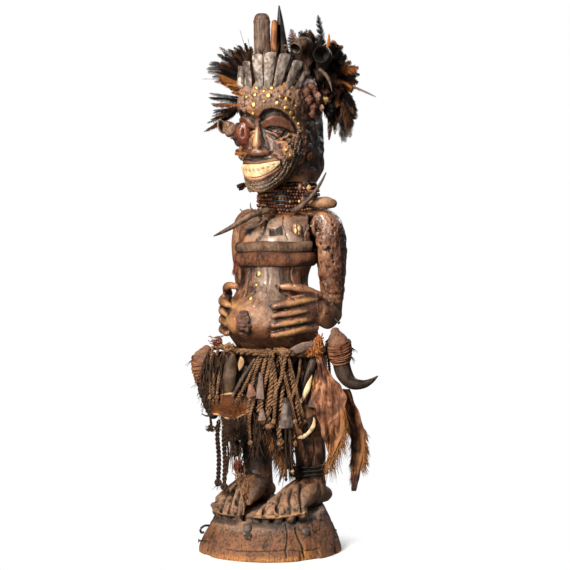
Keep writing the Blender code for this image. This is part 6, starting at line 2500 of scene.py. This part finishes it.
# The cup is a shallow half pipe of hide: its top edge is thick and pale, its foot curls forward
def amber_cup():
    columns, rows = 40, 18
    left = np.array((-84, -64, 268.0))
    right_end = np.array((-6, -50, 272.0))
    grid = np.zeros((rows, columns, 3))
    for k in range(columns):
        share = k / (columns - 1)
        base = left + (right_end - left) * share
        top = 8 + 7.5 * math.sin(math.pi * min(1, share * 1.25)) ** 0.7 + 8 * share
        low = -17 - 7 * math.sin(math.pi * share) ** 0.8 + 3 * math.sin(9 * share)
        for i in range(rows):
            up = i / (rows - 1)
            z = low + (top - low) * up
            bulge = 7.5 * math.sin(math.pi * (0.15 + 0.75 * up)) + 3.0 * math.sin(math.pi * share)
            curl = 4.0 * (1.0 - ease(np.array(up), 0.0, 0.18)) + 1.6 * ease(np.array(up), 0.9, 1.0)
            ripple = 0.8 * math.sin(8 * share + 3 * up) + 0.4 * math.sin(21 * share)
            grid[i, k] = base + np.array((0.10, -1.0,
                                          0)) * (bulge + curl + ripple - 5.0) + np.array((0, 0, z))
    normals = unit(np.cross(np.gradient(grid, axis=1), np.gradient(grid, axis=0)))
    points, faces = sheet_block(grid * MM, normals, 0.0034)
    make_piece("amber_hide_cup", one_shape((points, faces)), AMBER, ["amber_cup"])
    for name, row in (("cup_top_edge", -1), ("cup_curled_foot", 0)):
        line = smooth_line(grid[row, 2:-2] * MM, 0.002)
        make_piece(name,
                   one_shape(thread(line, 0.0019 + 0.0006 * np.sin(np.arange(len(line)) * 0.5), 8)),
                   PALE_EDGE)


amber_cup()


# %% Plates, tags and slivers
def flat_piece(name, outline, place, across, up, thickness, finish, replaced=(), curl=0.0, cells=14):
    across, up = unit(np.array(across, float)), unit(np.array(up, float))
    out = np.cross(across, up)
    low = smooth_edge([point for point in outline[0]], cells)
    high = smooth_edge([point for point in outline[1]], cells)
    grid = np.zeros((cells, 9, 3))
    for i in range(cells):
        for k in range(9):
            share = k / 8
            u, v = low[i] + (high[i] - low[i]) * share
            bend = curl * (1 - (2 * share - 1) ** 2) + 0.35 * math.sin(0.35 * v + 5 * share)
            grid[i, k] = np.array(place) + across * u + up * v + out * bend
    normals = unit(np.cross(np.gradient(grid, axis=1), np.gradient(grid, axis=0)))
    make_piece(name, one_shape(sheet_block(grid * MM, normals, thickness * MM)), finish, replaced)


def smooth_edge(points, count):
    line = np.array(points, float)
    run = np.concatenate([[0], np.cumsum(np.linalg.norm(np.diff(line, axis=0), axis=1))])
    wanted = np.linspace(0, run[-1], count)
    return np.stack([np.interp(wanted, run, line[:, k]) for k in range(2)], axis=1)


BELL_PLACE = (66, -50, 232)
flat_piece("bell_plate", [[(-13, 0), (-3.8, 55)], [(13, 1), (3.8, 55)]], BELL_PLACE, ACROSS,
           UPRIGHT, 2.6, MAUVE_IRON,
           ["iron_bell_plate"], curl=3.0)
rod = smooth_line(np.array([picked(290.2, 428, 74), picked(291, 450, 74), picked(292.6, 470, 72)]) * MM,
                  0.003)
rod_shape = one_shape(thread(rod, 0.0020, 10))
make_piece("bell_rod", rod_shape, DARK_CORD)
make_piece("bell_rod_bulb",
           one_shape(pebble(behind_pixel(292.8, 471.5, 0.072), 3.8, 91, (1, 1, 0.9))), PALE_EDGE)
flat_piece("red_tag", [[(-9, -11), (-4, 13)], [(9, -8), (1, 13)]], picked(251.5, 391, 74), ACROSS, UPRIGHT,
           1.8, TAG_RED, curl=1.5)
flat_piece("grey_tag", [[(-7, -22), (-3, 24)], [(7, -24), (2, 24)]], picked(260.5, 386, 76), ACROSS,
           (0.05, 0, 1), 1.8, TAG_GREY,
           curl=1.5)
flat_piece("small_tag", [[(-7, -10), (-2, 11)], [(7, -9), (2, 11)]], picked(262, 415, 74), ACROSS, UPRIGHT,
           1.8, TAG_GREY, curl=1.2)
flat_piece("grey_flake", [[(-12, -6), (-5, 9)], [(13, -9), (9, 8)]], picked(313, 403, 48), ACROSS, UPRIGHT,
           2.6, BROWN_HORN, curl=2.0)
strap = [(*picked(288, 353, 66), 3.0, 1.6), (*picked(293, 351, 68), 6.4, 2.0),
         (*picked(302, 347.5, 66), 8.4, 2.2),
         (*picked(310, 345, 60), 6.6, 2.0), (*picked(316.5, 343, 56), 3.0, 1.6)]
make_piece("grey_blade_strap", one_shape(swept(strap, side=UPRIGHT, around=24, steps=8)), TAG_GREY)
STICK = [(-37, -67, 286, 2.6, 2.6), (-34, -66, 292, 3.2, 3.2), (-26, -63, 307, 3.7, 3.7),
         (-18, -60, 322, 4, 4), (0, -52, 352, 3.4, 3.4)]
make_piece("hip_stick", one_shape(ringed(STICK, 9, 0.06, around=20, steps=10)), BROWN_HORN, ["waist_stick"])
DARK_PIECE = [(93, 2, 356, 6, 6), (92, 0, 350, 7.4, 7.4), (90, -4, 338, 8.2, 8.2), (87, -9, 328, 7.6, 7.6),
              (78, -18, 298, 4.0, 4.0),
              (76, -20, 292, 2.4, 2.4)]
make_piece("dark_belt_horn", one_shape(ringed(DARK_PIECE, 12, 0.04, around=24, steps=8)),
           GREY_HORN, ["dark_horn_piece"])
CREAM = [(93, -7, 326, 2, 1.6), (91, -10, 316, 4.0, 2.4), (88, -14, 300, 5.2, 3), (84, -18, 288, 4.0, 2.4),
         (79, -23, 274, 1.4, 1.2)]
make_piece("cream_sliver", one_shape(swept(CREAM, side=tuple(ACROSS), around=20, steps=8)), BONE,
           ["cream_horn_strip"])
RIM = [(95, -2, 248, 1.0, 1.0), (97, -4, 240, 1.5, 2.6), (96, -9, 230, 1.9, 3.6), (90, -15, 220, 1.7, 3.0),
       (82, -19, 214.5, 1.5, 3.4),
       (71, -23, 212, 0.8, 1.0)]
make_piece("cream_shell_rim",
           one_shape(lump(RIM, 97, side=tuple(TOWARDS), rough=0.9, finer=0.5, spacing=0.006, around=20)),
           BONE, ["cream_rim"])
pod = [(*picked(308.5, 412, 36), 9, 5), (*picked(310, 420, 38), 13, 6.5), (*picked(309, 428, 38), 11, 6),
       (*picked(306, 435, 36), 6, 4)]
make_piece("dark_red_pod", one_shape(lump(pod, 101, side=tuple(ACROSS), rough=1.4, finer=0.8)), DARK_RESIN)
# %% [markdown]
# Strips of hide hang from the belt, stiff and curled, with hair left along their edges. Each is a
# sheet with folds made in code, held by its top edge, and its hair is real threads set along it.

# %% Hide finish
def hide_finish(name, dark, middle, light):
    hide = Finish(name, "hide_with_hair", roughness=0.5, specular=0.45)
    patches = hide.cloud(0.034, detail=5, rough=0.55, twist=0.8)
    fibres = hide.cloud(0.0028, detail=4, stretch=(1, 1, 0.16), twist=0.4)
    creases = hide.cloud(0.006, detail=4, rough=0.65, twist=1.2)
    shade = patches * 0.75 + fibres * 0.25
    colour = shade.node("ShaderNodeValToRGB",
                        {"stops": [(0.40, dark), (0.50, middle), (0.60, light)]}, {"Fac": shade})
    colour = (hide.painted("hair") * 0.85).blend(colour,
                                                 fibres.blend((0.10, 0.032, 0.009), (0.46, 0.20, 0.055)))
    colour = (hide.painted("hollow") * 0.85).blend(colour, (0.012, 0.006, 0.004))
    hide.bump(creases, 0.0018)
    hide.bump(fibres, 0.0008)
    return hide.use(colour, 0.45 + 0.35 * patches)


PINK_HIDE = hide_finish("pink_brown_hide", (0.045, 0.014, 0.007), (0.22, 0.080, 0.038), (0.50, 0.240, 0.130))
TAWNY_HIDE = hide_finish("tawny_hide", (0.016, 0.005, 0.003), (0.10, 0.032, 0.011), (0.36, 0.140, 0.042))
SOOTY_HIDE = hide_finish("sooty_hide", (0.008, 0.005, 0.004), (0.030, 0.014, 0.008), (0.085, 0.036, 0.018))
TAWNY_HAIR = fibre_finish("tawny_hair", "hide_with_hair", (0.09, 0.030, 0.009),
                          (0.42, 0.185, 0.055), roughness=0.5)
DARK_HAIR = fibre_finish("dark_hair", "hide_with_hair", (0.006, 0.004, 0.003),
                         (0.050, 0.020, 0.010), roughness=0.5)


# Rows of (x, y, z, half width); the sheet's folds run down it and grow towards the foot
def hide_grid(rows, side, folds, depth, columns=26, steps=10, seed=0):
    path = smooth_rows([(*row, 0.0) for row in rows], steps)
    side = unit(np.array(side, float))
    out = np.cross(side, (0, 0, 1))
    grid = np.zeros((len(path), columns, 3))
    for i, row in enumerate(path):
        share = i / (len(path) - 1)
        for k in range(columns):
            place = 2.0 * k / (columns - 1) - 1.0
            ragged = 1.0 + 0.08 * math.sin(17 * share + seed) + 0.06 * math.sin(41 * share + 2 * seed)
            bend = depth * (0.35 + 0.65 * share) * math.sin(folds * place + 5 * share + seed)
            bend += (0.5 * depth * math.sin(2.3 * folds * place - 9 * share)
                     + 0.25 * depth * math.sin(5 * folds * place + 14 * share))
            edge = ragged if abs(place) > 0.6 else 1.0
            grid[i, k] = row[:3] + side * (row[3] * place * edge) + out * bend
    return grid


def add_hide(name, rows, side, finish, node, folds, depth, thickness=1.4, seed=0, hair=None):
    grid = hide_grid(rows, side, folds, depth, seed=seed)
    normals = unit(np.cross(np.gradient(grid, axis=1), np.gradient(grid, axis=0)))
    points, faces = sheet_block(grid * MM, normals, thickness * MM)
    place = np.linspace(-1, 1, grid.shape[1])
    share = np.linspace(0, 1, grid.shape[0])[:, None]
    paint = (hair or (lambda side, down: 0 * side * down))(place[None, :], share)
    paint = np.broadcast_to(paint, grid.shape[:2]).reshape(-1)
    paints = {"hair": np.concatenate([paint, paint]), "hollow": np.zeros(len(points))}
    piece = make_piece(name, one_shape((points, faces)), finish, [node] if node else (), paints=paints)
    widths = np.linalg.norm(np.diff(grid, axis=1), axis=2).sum(axis=1)
    length = float(np.linalg.norm(np.diff(grid[:, grid.shape[1] // 2], axis=0), axis=1).sum())
    steps = np.linalg.norm(np.diff(grid[:, grid.shape[1] // 2], axis=0), axis=1)
    area = float((0.5 * (widths[1:] + widths[:-1]) * steps).sum()) * MM * MM
    return piece, grid * MM, float(widths.max()) * MM, length * MM, area


def hair_along(shape, line, way, length, count, thick, seed):
    draw = random.Random(seed)
    for _ in range(count):
        spot = draw.uniform(0, len(line) - 1.001)
        low = int(spot)
        start = line[low] + (line[low + 1] - line[low]) * (spot - low)
        heading = unit(np.array(way, float) + 0.45 * np.array([draw.uniform(-1, 1) for _ in range(3)]))
        reach = length * draw.uniform(0.4, 1.0)
        t = np.linspace(0, 1, 4)[:, None]
        strand = start + heading * reach * t + np.array((0, 0, -0.35)) * reach * t * t
        shape.add(*thread(strand, thick * np.array([1.0, 0.85, 0.6, 0.2]), 3))


def declare_hide(piece, width, length, area):
    share = min(1.0, max(0.3, area / (width * length)))
    round(share * round(width, 3) * round(length, 3), 6)
    print(piece.name, "cut", round(width * 1000), "x", round(length * 1000), "mm, area",
          round(area * 1e4, 1), "cm2")


# %% The big hide on the left hip
HIDE_ROWS = [(104, 0, 360, 5), (109, 5, 338, 8), (114, 8, 320, 15), (117, 10, 304, 24),
             (119, 11, 286, 29), (122, 12, 262, 29),
             (125, 14, 236, 24), (126, 15, 212, 17), (124, 15, 192, 10), (121, 15, 176, 3)]
big, grid, width, length, area = add_hide("left_hip_hide", HIDE_ROWS, ACROSS, PINK_HIDE,
                                          "left_hide", 2.6, 5.0, seed=1,
                                          hair=lambda side,
                                          down: ease(side + down * 0.4, 0.55, 0.95) * ease(down, 0.45, 0.7))
fringe = Shape()
hair_along(fringe, grid[48:, -1], (0.2, -0.2, -1.0), 0.030, 170, 0.0006, 601)
hair_along(fringe, grid[56:, 13], (0.0, -0.4, -1.0), 0.026, 120, 0.0006, 602)
hair_along(fringe, grid[-8:, 4], (0.0, 0.0, -1.0), 0.040, 60, 0.0006, 603)
big_hair = make_piece("left_hip_hair", fringe, TAWNY_HAIR)
declare_hide(big, width, length, area)

# %% The tail that hangs behind it
TAIL_ROWS = [(131, 46, 298, 9), (134, 50, 276, 14), (139, 54, 252, 16), (146, 58, 226, 15),
             (151, 60, 204, 13), (152, 61, 184, 12),
             (150, 60, 162, 10), (148, 58, 140, 7), (146, 57, 124, 5.5), (145, 56, 112, 3)]
tail, grid, width, length, area = add_hide("left_tail_hide", TAIL_ROWS, ACROSS, TAWNY_HIDE, "left_tail_strip",
                                           2.0, 2.6, 2.0, seed=3,
                                           hair=lambda side,
                                           down: ease(side, 0.0, 0.8) * ease(down, 0.3,
                                               0.45) * (1 - ease(down, 0.7, 0.8)))
fringe = Shape()
hair_along(fringe, grid[30:66, -1], (0.5, 0.3, -1.0), 0.016, 240, 0.0006, 611)
hair_along(fringe, grid[40:78, 0], (-0.4, -0.2, -1.0), 0.010, 120, 0.0005, 612)
tail_hair = make_piece("left_tail_hair", fringe, TAWNY_HAIR)
declare_hide(tail, width, length, area)

# %% The dark hide between the legs
DARK_ROWS = [(24, -35, 334, 13), (28, -34, 300, 20), (31, -33, 268, 24), (34, -30, 236, 25),
             (40, -27, 206, 17), (47, -23, 178, 9),
             (52, -21, 154, 3)]
dark_hide, grid, width, length, area = add_hide("dark_middle_hide", DARK_ROWS, ACROSS, SOOTY_HIDE,
                                                "fur_strip", 3.6, 3.4, 2.0, seed=5,
                                                hair=lambda side,
                                                down: (1 - ease(side, -0.95, -0.55)) * ease(down, 0.4, 0.55))
fringe = Shape()
hair_along(fringe, grid[24:, 0], (-0.5, -0.3, -1.0), 0.017, 300, 0.0006, 621)
hair_along(fringe, grid[34:54, 3], (0.0, -0.6, -1.0), 0.018, 160, 0.0006, 623)
orange_hair = make_piece("middle_orange_hair", fringe, TAWNY_HAIR)
fringe = Shape()
hair_along(fringe, grid[40:, 2], (-0.6, -0.1, -1.0), 0.030, 180, 0.0006, 624)
hair_along(fringe, grid[40:, -1], (0.2, 0.2, -1.0), 0.026, 240, 0.0006, 625)
for row in (20, 30, 40):
    hair_along(fringe, grid[row], (0, -0.25, -1.0), 0.040, 90, 0.0007, 630 + row)
dark_hair = make_piece("middle_dark_hair", fringe, DARK_HAIR)
declare_hide(dark_hide, width, length, area)

# %% [markdown]
# Smaller flaps of hide close the gaps of the skirt: under the amber cup, behind the left horn and
# around the back, where the picture shows nothing and a plainer fringe of cord and hide goes on.

# %% Flaps at the sides and the back
FLAPS = {
    "right_dark_flap": ([(-92, -14, 362, 10), (-94, -17, 335, 16), (-93, -20, 300, 17), (-90, -20, 262, 10),
                         (-88, -20, 240, 4)], ACROSS, SOOTY_HIDE),
    "right_flap": ([(-70, -34, 356, 8), (-74, -44, 330, 14), (-72, -50, 300, 17), (-70, -52, 268, 13),
                    (-66, -52, 240, 5)], (0.85, -0.5, 0), OLD_LEATHER),
    "cup_under_flap": ([(-46, -50, 268, 16), (-46, -52, 244, 15), (-48, -54, 222, 11), (-50, -54, 202, 5)],
                       ACROSS, SOOTY_HIDE),
    "left_red_flap": ([(94, 6, 352, 6), (98, 4, 334, 10), (100, 2, 314, 11), (100, 0, 298, 5)], ACROSS,
                      TAWNY_HIDE),
    "back_flap_1": ([(-40, 110, 356, 12), (-42, 116, 330, 18), (-42, 118, 298, 19), (-40, 116, 268, 12),
                     (-38, 114, 248, 5)], (1, 0.1, 0), PINK_HIDE),
    "back_flap_2": ([(20, 114, 356, 14), (22, 119, 326, 20), (24, 120, 290, 22), (24, 118, 254, 16),
                     (22, 115, 226, 6)], (1, -0.1, 0), TAWNY_HIDE),
    "side_flap": ([(-96, 34, 356, 12), (-103, 34, 330, 18), (-104, 34, 296, 18), (-100, 32, 262, 12),
                   (-98, 30, 240, 5)], (0, 1, 0), SOOTY_HIDE),
}
for number, (name, (rows, side, finish)) in enumerate(FLAPS.items()):
    piece, grid, width, length, area = add_hide(name, rows, side, finish, None, 2.6, 2.4,
                                                1.8, seed=10 + number)
    fringe = Shape()
    hair_along(fringe, grid[-14:, grid.shape[1] // 2], (0, 0, -1.0), 0.020, 60, 0.0006, 650 + number)
    hair_along(fringe, grid[8:, 0], (0, 0, -1.0), 0.014, 60, 0.0006, 660 + number)
    flap_hair = make_piece(name + "_hair", fringe, DARK_HAIR if finish is SOOTY_HIDE else TAWNY_HAIR)
    declare_hide(piece, width, length, area)

# %% [markdown]
# Around the back the belt carries more ropes, a little apart. They are short cords hung from the belt, spaced
# by a rule with small seeded changes, so that no two are alike.

# %% Ropes around the back
def back_ropes():
    draw = random.Random(91)
    for number, turn in enumerate((52, 68, 84, 100, 116, 132, 152, 172)):
        angle = math.radians(turn)
        out = np.array((math.cos(angle), math.sin(angle), 0.0))
        start = np.array((0, 36, 0)) + out * np.array((BELT_WIDE + 9, BELT_DEEP + 9, 0))
        drop = draw.uniform(70, 130)
        route = []
        for k in range(5):
            share = k / 4
            sway = out * (3.0 * math.sin(3 * share)) + np.array((draw.uniform(-2, 2),
                draw.uniform(-2, 2), 0)) * share
            route.append(tuple(start + sway + np.array((0, 0, 362 - drop * share))))
        hang_rope(f"back_rope_{number + 1}", route, draw.choice((0.005, 0.006)), CORD,
                  number % 3 == 0, 120 + number)
    print("8 ropes at the back")


back_ropes()
# %% [markdown]
# Three iron-dark rings lie around the left ankle, and a few nails and plugs are set in the base.

# %% Ankle rings
RING_HEIGHT, RING_PITCH, RING_TILT = 137.0, 7.192, 0.12


def ankle_ring(number):
    turns = np.linspace(0, 2 * math.pi, 72, endpoint=False)
    middle = np.stack([58 + 30.5 * np.cos(turns), 48 + 31.5 * np.sin(turns),
                       RING_HEIGHT + RING_PITCH * number + 0 * turns], axis=1)
    middle[:, 2] += math.tan(RING_TILT) * (middle[:, 0] - 58) + 0.35 * np.sin(5 * turns + number)
    out = np.stack([np.cos(turns), np.sin(turns), 0 * turns], axis=1)
    angles = 2 * math.pi * np.arange(12) / 12
    thick = 3.0 * (1.0 + 0.05 * np.sin(3 * turns + 2 * number))
    ring = np.cos(angles)[None, :, None] * out[:, None] + np.sin(angles)[None, :, None] * np.array((0, 0, 1))
    points = (middle[:, None] + ring * thick[:, None, None]).reshape(-1, 3) * MM
    make_piece(f"ankle_band_{number + 1}", one_shape((points, skin(len(turns), 12, closed=True))), BLACK_HORN,
               [f"ankle_ring_{number + 1}"])


for number in range(3):
    ankle_ring(number)

# %% Plugs and nails in the base
GREY_PLUG = crusty_finish("grey_plug", "forged_iron", (0.035, 0.024, 0.020), (0.15, 0.110, 0.090),
                          size=0.008, height=0.0010,
                          cracked=False)
set_on_wood("base_plug", 247.4, 529, [(6, -4), (8.2, -1), (8.6, 2.0), (6.8, 4.8), (3.0, 6.0)], GREY_PLUG,
            around=28, wobble=0.05)
set_on_wood("base_plug_pebble", 306, 532, [(6, -3), (8, -0.6), (7.6, 1.8), (5, 4.0), (2, 4.6)], GREY_PLUG,
            around=24, wobble=0.08)
plug_hole, plug_normal = on_wood(248, 536.5)
make_piece("base_plug_hole",
           one_shape(turned(frame_on(plug_hole, plug_normal),
                            [(0.0070, -0.002), (0.0080, 0.0004), (0.006, 0.0009)], 20, 0.08)),
           DARK_RESIN)
left_nail, left_normal = on_wood(208.4, 540.4)
make_piece("base_nail_left",
           nail(left_nail - left_normal * 0.004, ACROSS * -1.0 + UP * 0.05, 0.020, 0.0016, 0.0040),
           DARK_RESIN)
curl_line = smooth_line(np.array([picked(209, 525.5, 62), picked(204.5, 525.8, 72), picked(200.6, 529, 74),
                                  picked(201.4, 532.6, 74),
                                  picked(204.2, 532.0, 74)]) * MM, 0.0015)
make_piece("base_bent_nail", one_shape(thread(curl_line, 0.0021, 8)), DARK_RESIN)
right_nail, right_normal = on_wood(334.0, 530.4)
make_piece("base_nail_right",
           nail(right_nail - right_normal * 0.004, right_normal, 0.008, 0.0016, 0.0034), BRASS)
toe_string = smooth_line(np.array([picked(238, 478, 66), picked(241, 492, 76), picked(244, 506, 86),
                                   picked(243, 515, 92)]) * MM, 0.0015)
make_piece("toe_string", one_shape(thread(toe_string, 0.0012, 8)), CORD)
